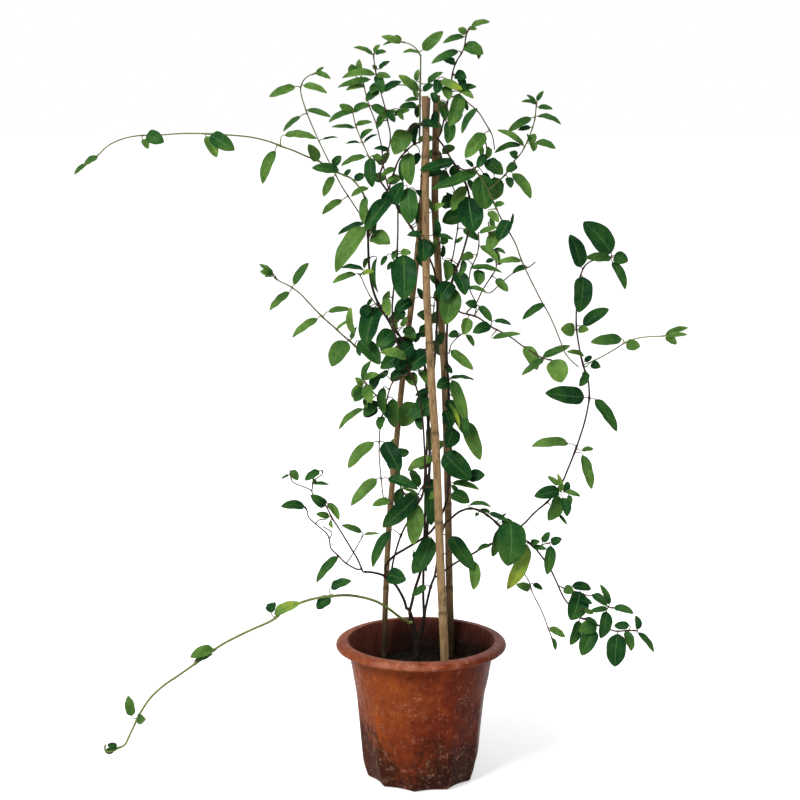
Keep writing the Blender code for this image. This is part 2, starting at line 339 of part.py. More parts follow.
        (2.8, 2.2, [(-0.4, 93.3, -0.2), (-0.35, 94, -0.3), (-0.3, 96, -0.4), (-0.3, 99, -0.4),
             (-0.25, 102, -0.3), (-0.2, 105.2, -0.2)]),
        (1.6, 1.4, [(-0.2, 105.1, -0.2), (-0.8, 106.1, -0.3), (-1.6, 106.7, -0.4),
             (-2.8, 107.1, -0.5)]),
        (1.6, 1.4, [(-0.3, 99.6, -0.4), (-1.1, 100.7, -0.5), (-2.3, 101.1, -0.6),
             (-3.8, 101.1, -0.7), (-5, 100.5, -0.8)]),
    ], [
        (0.1, 106, 2.9, 108.5, 1.6, 15, -1), (-0.4, 105.5, -2.7, 105.6, 0.9, 55, -1),
        (-2.9, 107.1, -5.7, 107.8, 1.1, 20, -1), (-3, 107.1, -3.8, 108, 0.8, 20, 0),
        (-3, 107, -5.5, 106.6, 0.6, 50, -1), (-0.5, 100.4, -3.3, 102.5, 1.4, 25, -1),
        (-0.8, 101.7, -0.5, 103.3, 0.8, 15, 0), (0.8, 101.4, 2.9, 102.9, 1, 30, -1),
        (-0.7, 98.2, -3.2, 98, 1.1, 30, -1), (-0.5, 99.2, -2.4, 98.9, 0.7, 35, -1),
        (0.1, 100.4, 1.6, 101.2, 0.9, 20, -1), (-5.4, 100.3, -2.9, 101.6, 1.3, 30, -1),
        (-0.5, 98.4, -0.7, 96.6, 0.9, 15, 0.5), (-0.7, 99.5, -1.2, 100.6, 0.6, 20, -0.4),
    ]),
    ("shoot_top_left_front", "cane_back", [
        (2.2, 1.6, [(-4.9, 91.7, -0.5), (-4.5, 93.2, -0.7), (-4.5, 94.6, -0.9), (-4.8, 96, -1),
             (-5.2, 98, -1.2), (-5.7, 99.8, -1.4), (-6.2, 101.5, -1.5), (-6.5, 103, -1.5),
             (-6.7, 104.3, -1.5), (-6.8, 105.3, -1.5)]),
    ], [
        (-6.9, 105.3, -9.6, 106.3, 0.9, 40, -1), (-6.7, 105.6, -5.9, 106.7, 0.7, 20, 0),
        (-6.5, 105.5, -5, 105.7, 0.8, 30, -1), (-6, 103.4, -4.5, 104.4, 0.8, 30, -1),
        (-6.5, 103.2, -6.9, 103.9, 0.7, 20, 0), (-6.6, 102.6, -11.2, 102.1, 1.3, 30, -1),
        (-6.4, 102.5, -4.4, 102.2, 1, 30, -1), (-6.1, 100.4, -7.9, 98.9, 1.2, 20, -1),
        (-6.2, 101.2, -7.3, 100, 1.2, 20, 0), (-6.4, 96, -3.6, 97.6, 1.1, 25, -1),
        (-3.9, 97, -1.7, 97.7, 0.9, 25, -1), (-3.2, 97.6, -2.6, 96.3, 0.8, 25, -1),
        (-6.3, 102.6, -5.5, 100, 1.3, 10, -0.8), (-5.4, 96.8, -6.4, 95.1, 1, 20, -0.6),
        (-4.9, 97.7, -3.8, 96, 1, 15, -0.4),
    ]),
    ("shoot_top_left_middle", "cane_back", [
        (2, 1.5, [(-5.5, 90, -0.5), (-5.6, 92, 0.4), (-6, 94, 0.8), (-6.4, 95.6, 1),
             (-7, 97.2, 1.2), (-7.5, 98.5, 1.4), (-7.9, 100, 1.6), (-8.2, 101.2, 1.6),
             (-8.6, 102.3, 1.6)]),
    ], [
        (-7.1, 98.3, -3.7, 96.4, 1.5, 25, -1), (-8.1, 101, -10.7, 100.4, 0.9, 30, -1),
        (-7.3, 101.9, -11.8, 100.8, 1.2, 35, -1), (-9.4, 102.6, -9.9, 104, 1.4, 10, 0),
        (-8.5, 102.6, -8.8, 104.7, 1, 20, 0), (-4.6, 92, -6.8, 92.3, 0.9, 35, -1),
    ]),
    ("shoot_top_left_outer", "cane_back", [
        (2, 1.5, [(-6, 88.2, -0.5), (-7.2, 90.5, -0.6), (-8, 92.3, -0.6), (-8.9, 94.4, -0.5),
             (-9.4, 95.8, -0.5), (-9.7, 97.2, -0.5), (-9.9, 98, -0.5)]),
    ], [
        (-9.9, 97.5, -13.1, 96, 1.1, 35, -1), (-9.6, 97.4, -11.6, 98.4, 1.2, 25, 0),
        (-9.6, 97.5, -7.2, 98.3, 1.3, 30, -1), (-9.5, 95.2, -12.7, 95.3, 0.8, 45, -1),
        (-9.3, 95.6, -7, 96, 0.9, 30, -1), (-8.8, 93.1, -10.7, 93, 0.6, 50, -1),
        (-8.2, 93.1, -6.2, 94.3, 0.5, 40, 0), (-8.6, 93.7, -6.9, 95, 0.9, 30, -1),
        (-8, 91.2, -11.4, 89.9, 1.1, 35, -1), (-7.2, 91, -7, 86.9, 1.7, 10, -1),
        (-6.8, 91.3, -5.6, 90.8, 1, 30, -1),
    ]),
    ("shoot_top_right", "cane_crossing", [
        (2.4, 1.8, [(2.3, 93.6, -0.4), (2.5, 94.2, -0.5), (3, 96, -0.6), (3.6, 99, -0.8),
             (4.1, 101.8, -0.8), (4.4, 103.4, -0.8), (4.9, 104.6, -0.8), (5.3, 105.2, -0.8),
             (5.9, 106.4, -0.8), (6, 107.3, -0.8), (6.2, 108.3, -0.8), (6.6, 108.9, -0.8)]),
    ], [
        (6.8, 109.2, 9.4, 109.8, 1, 40, -1), (6.1, 108.2, 5, 108.9, 1.1, 15, 0),
        (6.6, 108.9, 7.6, 108.8, 0.7, 20, -1), (5.8, 107.8, 2.9, 106.9, 1, 35, -1),
        (5.9, 106.6, 8.5, 105.4, 1.8, 20, -1), (7.5, 106.2, 7.9, 104.7, 0.8, 20, -1),
        (5, 105.8, 1.3, 104.1, 1.2, 30, -1), (4.6, 104.2, 2.9, 104.6, 1.1, 25, -1),
        (4.6, 102.6, 6.2, 102.1, 1.6, 15, -1), (2.6, 101.7, 5.6, 100.5, 1.3, 30, -1),
        (5.3, 99.9, 3.7, 95.4, 2.1, 15, -2), (3.2, 101, 3.8, 99.1, 1.5, 20, -1),
        (2.2, 101.9, 1.9, 99.9, 1.4, 20, -1), (3.8, 96.2, 3.6, 93, 1.7, 15, 0),
        (5.4, 100.5, 7.6, 100.9, 1, 25, -1), (2.6, 98.9, 3.3, 96.3, 1.3, 10, 1.2),
        (2, 98.6, 1.3, 100.1, 1.1, 15, 0.9), (5.3, 102.3, 5.9, 100.4, 1.2, 10, 0.7),
        (4.9, 100.8, 7.2, 99.3, 1.1, 25, -1), (4.9, 96, 5.7, 97.1, 0.5, 20, 0),
        (1.9, 97.6, 1.6, 95.4, 1.2, 10, 1.4),
    ]),
    ("vine_top_right", "shoot_top_right", [
        (1.6, 1.4, [(3.7, 99.6, -0.8), (5.2, 99.8, -1), (6.3, 98.8, -1.2), (7.8, 97.5, -1.4),
             (8.8, 96, -1.4), (9.8, 94.3, -1.4), (10.1, 93, -1.4), (10.2, 92.2, -1.4)]),
    ], [
        (8.8, 94.4, 6.1, 91, 2.2, 20, -1), (7.7, 97.9, 5.6, 94.4, 1.1, 35, -1),
        (5.6, 98.9, 6.4, 97.6, 0.7, 20, 0),
    ]),
    ("shoot_upper_right", "cane_crossing", [
        (2.4, 1.4, [(5, 89.6, 0.5), (5.7, 89.4, 0.2), (6.6, 89.3, 0), (7.4, 89.6, 0),
             (8.3, 90.3, 0), (9, 91.1, 0), (9.1, 92.4, 0), (8.8, 93.6, 0.2)]),
    ], [
        (9, 90.6, 11.4, 88.7, 2, 20, -1), (8.9, 91.5, 7.8, 89.6, 1.3, 20, -1),
        (9.4, 92.5, 9.2, 90.9, 1.1, 20, 0), (8, 92.9, 8.4, 91.2, 0.9, 20, 0),
        (10.2, 88.3, 10.3, 85.1, 2.2, 15, 1), (7.2, 89.8, 6.1, 90.8, 0.7, 20, -0.4),
        (8.6, 88.9, 9.4, 87.6, 1, 15, 0.8),
    ]),
    ("vine_long_right", "shoot_upper_right", [
        (2.4, 1.4, [(7.5, 89.4, 0), (8.4, 88.1, -0.3), (9.2, 86.8, -0.5), (10, 85.1, -0.6),
             (11, 82.9, -0.6), (12.3, 80.7, -0.6), (13.3, 78.9, -0.6), (14, 77, -0.6),
             (14.8, 75.2, -0.6), (16, 72.8, -0.5), (17.2, 70.5, -0.4), (18.2, 68.8, -0.3),
             (19.2, 66.6, 0), (20, 64.6, 0.3), (20.6, 63.2, 0.5), (21.7, 61.9, 0.6),
             (22.5, 61.3, 0.7)]),
    ], [
        (8.3, 88.6, 9, 83.8, 3.2, 10, 1), (12.3, 82.2, 10.8, 79.4, 2.1, 15, -1),
        (12.5, 81.4, 12.9, 83.3, 0.6, 30, 0), (14.1, 76.5, 10.9, 76.3, 1.1, 45, -1),
        (17.5, 70.3, 14.4, 68.1, 1.2, 35, -1), (10.3, 84.5, 11.7, 84.6, 0.9, 30, -1),
        (9.4, 83.4, 10.9, 82, 1.3, 20, -1), (9.9, 85.2, 9.2, 83.9, 0.8, 15, -0.6),
    ]),
    ("shoot_outer_right", "vine_long_right", [
        (2.4, 1.6, [(9.3, 86.6, -0.5), (10.6, 87.6, -0.8), (11.7, 88.6, -1), (12.3, 89.5, -1),
             (13, 90.6, -1), (13.8, 91.5, -1), (14.3, 92.3, -1), (14.9, 93.6, -1),
             (15.4, 94.9, -1), (15.8, 96.3, -1), (15.9, 97.2, -1), (16, 98.2, -1), (16.1, 99, -1)]),
    ], [
        (16.1, 99, 17, 100.3, 0.8, 30, 0), (15.9, 98.5, 13.9, 98.8, 0.8, 40, -1),
        (15.9, 98.5, 14.6, 99.8, 0.7, 30, 0), (16.3, 98.1, 18.3, 97.8, 0.9, 35, -1),
        (15.3, 96.6, 12.1, 94.7, 1.3, 35, -1), (16.2, 96.8, 19.5, 95.7, 1.1, 40, -1),
        (15.2, 95.3, 13.5, 94.9, 0.9, 30, 0), (16, 93.2, 18.8, 92.3, 1.2, 35, -1),
        (15.2, 93, 15.9, 94.4, 1.1, 15, 0), (15.5, 93.2, 15.7, 91.9, 1.1, 15, -1),
        (14.3, 92.7, 10.6, 94.9, 1.1, 40, -1), (13.9, 92.8, 10.2, 91.7, 1.1, 40, -1),
        (13.4, 91.2, 12.3, 91.8, 1.2, 20, -1), (13.2, 90.2, 11.9, 89, 1.3, 20, -1),
        (12.8, 88.8, 15.4, 85.3, 1.6, 25, -1), (12.1, 88.3, 12.6, 86.8, 1.2, 15, -1),
        (15.2, 93.5, 14.7, 94.4, 0.5, 20, -0.4),
    ]),
    ("shoot_inner_right", "cane_back", [
        (2.4, 1.8, [(2.2, 71.3, 0.3), (3.1, 73, -0.5), (3.6, 74, -0.8), (4.1, 76, -1),
             (4.5, 77.5, -1), (4.8, 79.5, -1), (5.1, 81.5, -1), (4.9, 84, -1), (4.4, 86.3, -1)]),
    ], [
        (5.9, 83.2, 2.9, 82, 2.3, 20, -1), (5.9, 81, 8.1, 79.4, 1.3, 30, -1),
        (4.8, 79.1, 5.9, 79.9, 0.6, 20, -0.3), (4.1, 76.1, 5, 74.5, 1, 10, 0.5),
        (2.9, 77, 3.1, 78.7, 0.8, 10, 0.4), (4.4, 84.6, 3.5, 86.2, 0.9, 15, 0.6),
    ]),
    ("shoot_centre_right", "cane_crossing", [
        (2.6, 1.8, [(4, 70.4, -0.2), (5.4, 69.2, -0.8), (6.3, 68.9, -0.9), (8, 68.4, -1),
             (10, 67, -1), (11.4, 66.3, -1), (13.1, 65.3, -1), (14.4, 64.3, -1), (15.7, 63.5, -1),
             (17.2, 62.6, -1), (18.6, 62.2, -1)]),
    ], [
        (14.8, 64.2, 16.6, 60.8, 1.9, 15, -1), (17.5, 62.4, 14.4, 60, 1.1, 40, -1),
        (17.4, 62.7, 21.3, 64.3, 1.2, 35, 0), (18.7, 62.2, 20.2, 59, 2.8, 10, -1),
        (9.8, 67.2, 7.3, 66.2, 1.7, 20, -1), (10.2, 65.4, 14.2, 66, 1, 45, -1),
        (10.4, 67.9, 12.8, 67.3, 0.8, 40, -1), (8.2, 70, 10, 67.8, 1.3, 25, -1),
        (6.6, 68.3, 6, 65.9, 1.8, 15, -1), (7.9, 70.2, 6.2, 70.4, 1.3, 20, -1),
    ]),
    ("shoot_bushy_right", "shoot_centre_right", [
        (2, 1.6, [(6.4, 68.8, -0.9), (7.8, 70.5, -1), (8.6, 72.2, -1), (9.6, 73.8, -1.2),
             (10.6, 75.6, -1.4), (10.2, 77.6, -1.4), (9.6, 79.6, -1.2), (9.4, 82, -1)]),
        (1.6, 1.4, [(8.6, 72.2, -1), (9.7, 71.9, -1), (11, 73, -1.2), (12.8, 74.6, -1.6),
             (15.2, 75.6, -1.8), (16.1, 76.3, -1.8)]),
        (1.6, 1.4, [(7.8, 70.5, -1), (6.8, 72.6, -1.3), (6.9, 75, -1.5), (7.8, 77.2, -1.7),
             (8.1, 79, -1.7), (8, 80.5, -1.7)]),
    ], [
        (8.2, 80.5, 10.7, 81.3, 1, 40, -1), (11.2, 80.6, 9.4, 77.8, 1.9, 20, -1),
        (8.3, 78.6, 10.9, 76.2, 1.1, 30, -1), (10.2, 78.1, 11.9, 77.5, 0.8, 40, -1),
        (7.3, 77.4, 5.6, 76.6, 1.3, 20, -1), (7, 75.5, 11.4, 74.8, 1, 45, -1),
        (8, 75.2, 8.2, 73, 1.7, 15, -1), (10.6, 73.9, 12.3, 72.1, 1.3, 25, -1),
        (6.6, 72.6, 9.2, 72, 0.9, 40, -1), (5.9, 76.6, 5.3, 74.4, 1.1, 20, -1),
        (15, 75.6, 12.9, 74.8, 1.1, 40, 0), (10.2, 76.6, 9.1, 76.3, 0.7, 20, 0.5),
        (10.8, 76, 11.9, 76.8, 0.7, 20, -0.6), (10.1, 81.2, 9.7, 82.6, 0.8, 15, 0.4),
        (10.4, 77.9, 11, 76.4, 0.7, 15, -0.6),
    ]),
    ("twig_side_right", "cane_crossing", [
        (1.8, 1.4, [(3.6, 63.3, 0.8), (4.3, 64.6, 0.3), (5.6, 65.9, 0), (6.3, 66.4, -0.2)]),
    ], [
        (4.2, 63.6, 7.4, 60.8, 1.5, 30, -1), (5.3, 66.1, 3.8, 65.7, 1.1, 20, -1),
        (6.4, 65.9, 7.5, 64.2, 0.9, 20, -1),
    ]),
    ("vine_hanging_right", "cane_right", [
        (1.7, 1.4, [(15.2, 35.4, -0.4), (15.1, 33, 0.8), (15, 31, 0.8), (15.8, 29.4, 0.6),
             (16.3, 27.8, 0.4), (17.3, 25.8, 0.2), (18.1, 24, 0), (18.7, 22.3, 0), (19.2, 21, 0),
             (19.5, 19.8, 0)]),
    ], [
        (15.9, 28.3, 13.9, 29, 1.3, 20, -1), (16.4, 29.1, 17.8, 28.2, 0.9, 30, -1),
        (18.9, 22.4, 21.2, 21, 1.1, 30, -1), (19.4, 20.8, 19.8, 19, 0.8, 20, -1),
    ]),
    ("twigs_low_left", "cane_left", [
        (2.8, 1.6, [(-8.2, 31, -1.5), (-9.3, 32.8, -1.7), (-10.1, 34.2, -1.9),
             (-12.1, 37.6, -2.2), (-13, 39, -2.4), (-13.7, 40.5, -2.6), (-14.5, 41.6, -2.8),
             (-15.8, 42.6, -3), (-15.8, 43.6, -3), (-15.7, 44.5, -3), (-15, 45, -3),
             (-14.3, 45.6, -3), (-14.4, 46.1, -3)]),
        (1.4, 1.3, [(-15.8, 43, -3), (-16.3, 43.3, -3), (-17.5, 43.8, -3), (-18.6, 44.3, -3),
             (-19, 45.3, -3)]),
        (2.6, 1.8, [(-8.5, 31.4, -1.5), (-9.4, 31.3, -1.2), (-11, 32.2, -1), (-12.3, 33.5, -1),
             (-13.2, 34.5, -1), (-13.4, 35.8, -1), (-13.9, 36.8, -1), (-15.4, 38.1, -1),
             (-16.4, 39.1, -1), (-16.6, 40.1, -1), (-17, 40.6, -1)]),
        (1.4, 1.3, [(-11, 32.2, -1), (-10, 33.6, -0.4), (-8.7, 36, 0), (-8.5, 36.5, 0)]),
        (1.4, 1.3, [(-13.4, 35.9, -1), (-13, 36.8, -1), (-14.3, 37.7, -1)]),
        (1.4, 1.3, [(-15.4, 38.1, -1), (-14.9, 38.7, -1), (-13.9, 38.8, -1)]),
    ], [
        (-13.9, 40.9, -16.1, 42.4, 1.7, 15, -1), (-13.6, 41.2, -12, 38.7, 1.2, 30, -1),
        (-13.4, 39.2, -15.3, 39.6, 1.1, 30, -1), (-13.2, 38.6, -12.9, 37.5, 0.8, 30, -1),
        (-15.6, 44.1, -13.4, 43.9, 0.8, 60, -1), (-14.8, 46, -16.9, 44.6, 1.2, 30, -1),
        (-15.3, 44.2, -15.8, 44.9, 0.6, 30, 0), (-18.9, 46, -17.9, 44.6, 1.3, 20, -1),
        (-19.2, 45.4, -20.3, 44.8, 0.5, 40, 0), (-17, 40.7, -20.4, 40.7, 1.4, 35, -1.5),
        (-12.2, 33.2, -15.3, 29.3, 1.6, 40, -1.5), (-8.7, 36.9, -11.6, 37.9, 1.1, 50, -1),
        (-8.3, 36.5, -6.1, 36.6, 0.7, 60, 1),
    ]),
    ("runner_low_left", "crown", [
        (4.2, 2.8, [(-1.4, 23.3, 0.2), (-2, 23.4, -0.3), (-3.2, 24.1, -0.8), (-5, 25.5, -1.4),
             (-7, 26.6, -1.8), (-10, 27.3, -2.2), (-12.5, 27.3, -2.5), (-15.5, 26.9, -2.8),
             (-18, 26.1, -3), (-20.3, 24.9, -3.2), (-22, 23.5, -3.4), (-25, 22.1, -3.6),
             (-28, 20.6, -3.8), (-30, 19.4, -3.8), (-33.5, 16.8, -4), (-36, 15, -4),
             (-38, 13.6, -4), (-40, 11.7, -4), (-41.5, 9.5, -4), (-42.3, 7.9, -4), (-43.2, 6, -4),
             (-44, 4.4, -4), (-45, 3.9, -4), (-46.3, 3.3, -4), (-47, 3.6, -4), (-46.9, 4.3, -4)]),
    ], [
        (-13.2, 28.5, -10.2, 29.5, 1.6, 50, -1), (-13.3, 27, -15.3, 25.3, 1.8, 30, -1),
        (-22, 24.7, -21.6, 26.3, 1.7, 30, 2), (-21.5, 24.7, -17.6, 26.2, 1.6, 40, -1),
        (-30.6, 19.2, -34, 17.9, 1.7, 40, -1.5), (-33.4, 17.2, -30.7, 18.4, 0.9, 50, 1),
        (-42.9, 8.9, -43.3, 12, 1.5, 10, 1), (-42, 8.4, -40.8, 8.4, 1.5, 20, -1),
        (-45.2, 4.1, -46.6, 4.4, 1, 30, -0.5), (-45.6, 3.5, -47, 3.4, 0.9, 30, 0.5),
    ]),
    ("shoot_back_low", "cane_back", [
        (2.4, 1.8, [(0.5, 38, 3.2), (-0.6, 39.6, 4.6), (-2, 41.8, 6), (-3.4, 44.6, 7.6),
             (-4, 47.6, 8.8), (-3.8, 50.4, 9.6)]),
        (2, 1.6, [(-1.6, 41.2, 5.6), (-0.2, 43, 7.4), (1, 45.6, 8.8), (1.6, 48.6, 9.6)]),
    ], [
        (-2.2, 42.6, -0.4, 41, 1.7, 30, 2.6), (-3, 43.4, -3, 40.4, 1.8, 20, 2.4),
        (-3.6, 47.2, -3.2, 43.8, 1.8, 30, 2.8), (-4.2, 48.4, -1.8, 48.8, 1.6, 35, 2),
        (-3.8, 50.8, -3.6, 47.4, 1.5, 25, 2.6), (-0.4, 43.6, -1.6, 46.2, 1.5, 30, 2),
        (0.8, 44.6, 2.8, 43, 1.6, 30, 2.4), (1.4, 47.6, -0.4, 46.4, 1.5, 30, 2.4),
        (1.6, 49, 3.2, 50.4, 1.4, 30, 1.6), (-3.6, 46, -4.9, 47.6, 1.5, 15, 0.6),
        (1.2, 46.6, 0, 47.9, 1.3, 15, 0.6),
    ]),
    ("shoot_front_middle", "cane_back", [
        (1.8, 1.4, [(-1, 80.5, 0.2), (-1.3, 80.5, -0.9), (-1.2, 80.4, -2), (-0.7, 80.3, -2.9),
             (0.3, 80.1, -3.4)]),
    ], [
        (0.3, 79.6, 0.3, 76.4, 2.1, 10, -0.6), (-0.2, 80.3, -2.1, 80.1, 0.9, 35, -0.6),
    ]),
    ("shoot_back_middle", "cane_back", [
        (2.4, 1.8, [(1.5, 57.8, 1.8), (0.6, 59.4, 3.2), (-0.8, 61.4, 5.2), (-2.6, 63.8, 6.8),
             (-4.2, 66.6, 7.8), (-5.2, 69.6, 8.4)]),
        (2, 1.6, [(-0.4, 61, 4.8), (0.6, 63.8, 6.6), (1.4, 67, 7.8), (1.8, 70.4, 8.4)]),
    ], [
        (-1.6, 62, -3, 60.2, 2, 25, 2), (-2.6, 64.6, -0.8, 66, 1.7, 30, 2),
        (-3.8, 65.4, -5.8, 63.4, 2, 25, 2.4), (-4.4, 67.4, -2.8, 69.4, 1.7, 30, 1.6),
        (-5.2, 69.8, -6.8, 68, 1.6, 30, 2), (-5.2, 70, -4.6, 72.2, 1.2, 30, 1),
        (0.4, 63.8, -0.8, 61.8, 1.8, 25, 2.4), (1.2, 64.8, 3, 63, 1.8, 25, 2.4),
        (1.4, 67.6, 3, 69.2, 1.6, 30, 1.8), (1.2, 68, -0.6, 69, 1.6, 30, 2.2),
        (1.9, 70.8, 3.2, 73, 1.4, 30, 1), (0.2, 71, -0.6, 72.6, 1, 10, 0.6),
        (0.4, 67.4, 0.1, 65.5, 1.5, 10, 0.5), (-0.2, 66.2, -1, 64.8, 1, 10, 0.6),
        (-5.9, 69.3, -4.6, 70.6, 1.2, 15, 0.6),
    ]),
    ("shoot_back_top", "cane_crossing", [
        (2.2, 1.7, [(6.6, 81.2, 0.3), (6, 82.8, 2), (5.2, 85, 3.6), (4, 87.8, 5),
             (2.8, 90.8, 5.8), (1.8, 93.4, 6.2)]),
    ], [
        (5.4, 84, 7.4, 85, 1.8, 25, 2), (4.8, 85.4, 2.8, 84.2, 2, 25, 1.8),
        (4.2, 87.8, 6.2, 89, 1.7, 30, 1.6), (3.8, 88.6, 1.8, 88, 1.8, 25, 1.8),
        (2.8, 91.2, 0.4, 91.4, 1.6, 30, 1.6), (2.9, 91.6, 4.6, 92.6, 1.5, 30, 1.2),
        (1.8, 93.8, 2.4, 96, 1.2, 30, 0.6), (1.6, 93.6, -0.6, 93.6, 1.3, 30, 1.4),
        (4.2, 88.4, 5.2, 90, 1.5, 15, 0.6), (3, 90.9, 1.9, 89.6, 1.4, 15, 0.6),
    ]),
    ("shoot_back_left", "cane_back", [
        (2.2, 1.7, [(-2.4, 82.6, 0), (-3, 83.4, 1.8), (-3.8, 84.8, 3.4), (-4.8, 87, 4.8),
             (-5.4, 89.8, 5.6)]),
    ], [
        (-3.6, 84, -1.8, 83.2, 1.8, 25, 2), (-4.2, 85.2, -6, 83.8, 1.9, 25, 1.8),
        (-4.8, 87.4, -3, 88.4, 1.6, 30, 1.6), (-5.2, 88, -7, 88.4, 1.6, 30, 1.6),
        (-5.5, 90.2, -4.6, 91.8, 1.2, 30, 0.8), (-5.6, 90, -7, 91.4, 1.2, 30, 1),
        (-4.4, 86.2, -5.6, 85, 1.3, 15, 0.6), (-3.8, 84.8, -2.8, 86.2, 1.3, 15, 0.6),
    ]),
]


def lift(u, v, d):
    """The place in metres of a point of the elevation."""
    spread = 1 + d / EYE_DISTANCE
    x = EYE_X + (u - EYE_X) * spread
    z = EYE_Z + (v - EYE_Z) * spread
    return Vector((x, d, z)) * CM


def flatten(place):
    """The u, v and d of a place in metres."""
    d = place.y / CM
    spread = 1 + d / EYE_DISTANCE
    u = EYE_X + (place.x / CM - EYE_X) / spread
    v = EYE_Z + (place.z / CM - EYE_Z) / spread
    return Vector((u, v, d))


def between(table, x):
    """The value at x of a line drawn through the table's (x, value) pairs."""
    for (x0, y0), (x1, y1) in zip(table, table[1:]):
        if x <= x1:
            return y0 + (y1 - y0) * (x - x0) / (x1 - x0)
    return table[-1][1]


def curve_point(before, start, end, after, t):
    """A point of the Catmull-Rom curve from start to end."""
    line = 2 * start + (end - before) * t
    square = (2 * before - 5 * start + 4 * end - after) * t ** 2
    cube = (3 * start - before - 3 * end + after) * t ** 3
    return (line + square + cube) / 2


def evenly(points, step):
    """Points about one step apart along a line of points, with both of its ends."""
    travelled = [0]
    for start, end in zip(points, points[1:]):
        travelled.append(travelled[-1] + (end - start).length)
    count = max(2, round(travelled[-1] / step))
    spaced = [points[0]]
    index = 0
    for i in range(1, count):
        wanted = travelled[-1] * i / count
        while travelled[index + 1] < wanted:
            index += 1
        part = (wanted - travelled[index]) / (travelled[index + 1] - travelled[index])
        spaced.append(points[index].lerp(points[index + 1], part))
    return spaced + [points[-1]]


def smooth(points, step):
    """Points about one step apart on a smooth curve through the given ones."""
    padded = [2 * points[0] - points[1], *points, 2 * points[-1] - points[-2]]
    fine = []
    for i in range(len(points) - 1):
        fine += [curve_point(*padded[i:i + 4], k / 8) for k in range(8)]
    return evenly(fine + [points[-1]], step)


class Stem:
    """A tapered round stem: the points of its axis and the radius at each."""

    def __init__(self, points, start_thickness, end_thickness):
        self.points = points
        last = len(points) - 1
        taper = (end_thickness - start_thickness) / last
        self.radii = [(start_thickness + taper * i) * MM / 2 for i in range(last + 1)]

    def places(self):
        """Places along the axis, 1 mm apart, with the direction and radius at each."""
        spans = zip(self.points, self.points[1:], self.radii, self.radii[1:])
        for start, end, radius, next_radius in spans:
            steps = math.ceil((end - start).length / MM)
            direction = (end - start).normalized()
            for i in range(steps + 1):
                part = i / steps
                yield start.lerp(end, part), direction, radius + (next_radius - radius) * part


def nearest(stems, place, margin=0):
    """The place on the stems' axes that looks nearest, with its direction and radius.

    The margin keeps it that far from the stems' ends.
    """
    aim = flatten(place).xy
    closest = None
    closest_distance = math.inf
    for stem in stems:
        for found in list(stem.places())[margin:-1 - margin or None]:
            distance = (flatten(found[0]).xy - aim).length
            if distance < closest_distance:
                closest = found
                closest_distance = distance
    return closest


def rooted(parents, points):
    """A shoot's points, starting with a short stub square to the stem that it grows from."""
    place, direction, radius = nearest(parents, points[0])
    tips = [stem.points[-1] for stem in parents]
    tip = min(tips, key=lambda end: (end - place).length)
    if (tip - place).length < TIP_REACH:
        out = direction
        start = tip + out * GAP
    else:
        ahead = points[1] - place
        out = (ahead - direction * ahead.dot(direction)).normalized()
        start = place + out * (radius + GAP)
    stub = start + out * STUB
    rest = [point for point in points[1:] if (point - stub).length > STUB * 1.5]
    return [start, *smooth([stub, *rest], STEM_STEP)]


def swung(route, parents, swing):
    """The route moved in depth to start on its parent and to swing back along its way."""
    start_u, start_v, start_depth = route[0]
    shift = nearest(parents, lift(*route[0]))[0].y / CM - start_depth
    return [(u, v, d + shift + swing * math.hypot(u - start_u, v - start_v) / 10)
            for u, v, d in route]


def grow_stems(stems, parents, swing=None):
    """The stems of one shoot. The first grows from the parents, the others from the shoot."""
    grown = []
    for start_thickness, end_thickness, route in stems:
        if swing is not None:
            route = swung(route, grown or parents, swing)
        points = [lift(*point) for point in route]
        if parents and not grown:
            axis = rooted(parents, points)
        else:
            if grown:
                points[0] = nearest(grown, points[0])[0]
            axis = smooth(points, STEM_STEP)
        grown.append(Stem(axis, start_thickness, end_thickness))
    return grown


def new_object(name, mesh):
    thing = bpy.data.objects.new(name, mesh)
    bpy.context.scene.collection.objects.link(thing)
    return thing


def weld_caps(mesh):
    """Joins the loose caps of a curve's mesh to its sides."""
    weld = bmesh.new()
    weld.from_mesh(mesh)
    bmesh.ops.remove_doubles(weld, verts=weld.verts, dist=GAP / 100)
    weld.to_mesh(mesh)
    weld.free()


def as_mesh(thing):
    """A mesh object with the shape of a curve or of a modified object, which is removed."""
    evaluated = thing.evaluated_get(bpy.context.evaluated_depsgraph_get())
    mesh = bpy.data.meshes.new_from_object(evaluated)
    if thing.type == "CURVE":
        weld_caps(mesh)
    name = thing.name
    place = thing.matrix_world.copy()
    bpy.data.objects.remove(thing)
    solid = new_object(name, mesh)
    solid.matrix_world = place
    return solid


def tube(name, points, radii, resolution):
    """A round solid along the points, with flat ends."""
    curve = bpy.data.curves.new(name, "CURVE")
    curve.dimensions = "3D"
    curve.bevel_depth = 1
    curve.bevel_resolution = resolution
    curve.use_fill_caps = True
    spline = curve.splines.new("POLY")
    spline.points.add(len(points) - 1)
    for knot, place, radius in zip(spline.points, points, radii):
        knot.co = (*place, 1)
        knot.radius = radius
    return as_mesh(new_object(name, curve))


def combine(body, others, operation, solver="EXACT"):
    """The body after a union with, or a cut by, the other solids, which are used up."""
    group = bpy.data.collections.new("operands")
    bpy.context.scene.collection.children.link(group)
    for other in others:
        group.objects.link(other)
    change = body.modifiers.new("Change", "BOOLEAN")
    change.operation = operation
    change.solver = solver
    change.operand_type = "COLLECTION"
    change.collection = group
    result = as_mesh(body)
    for other in others:
        bpy.data.objects.remove(other)
    bpy.data.collections.remove(group)
    return result


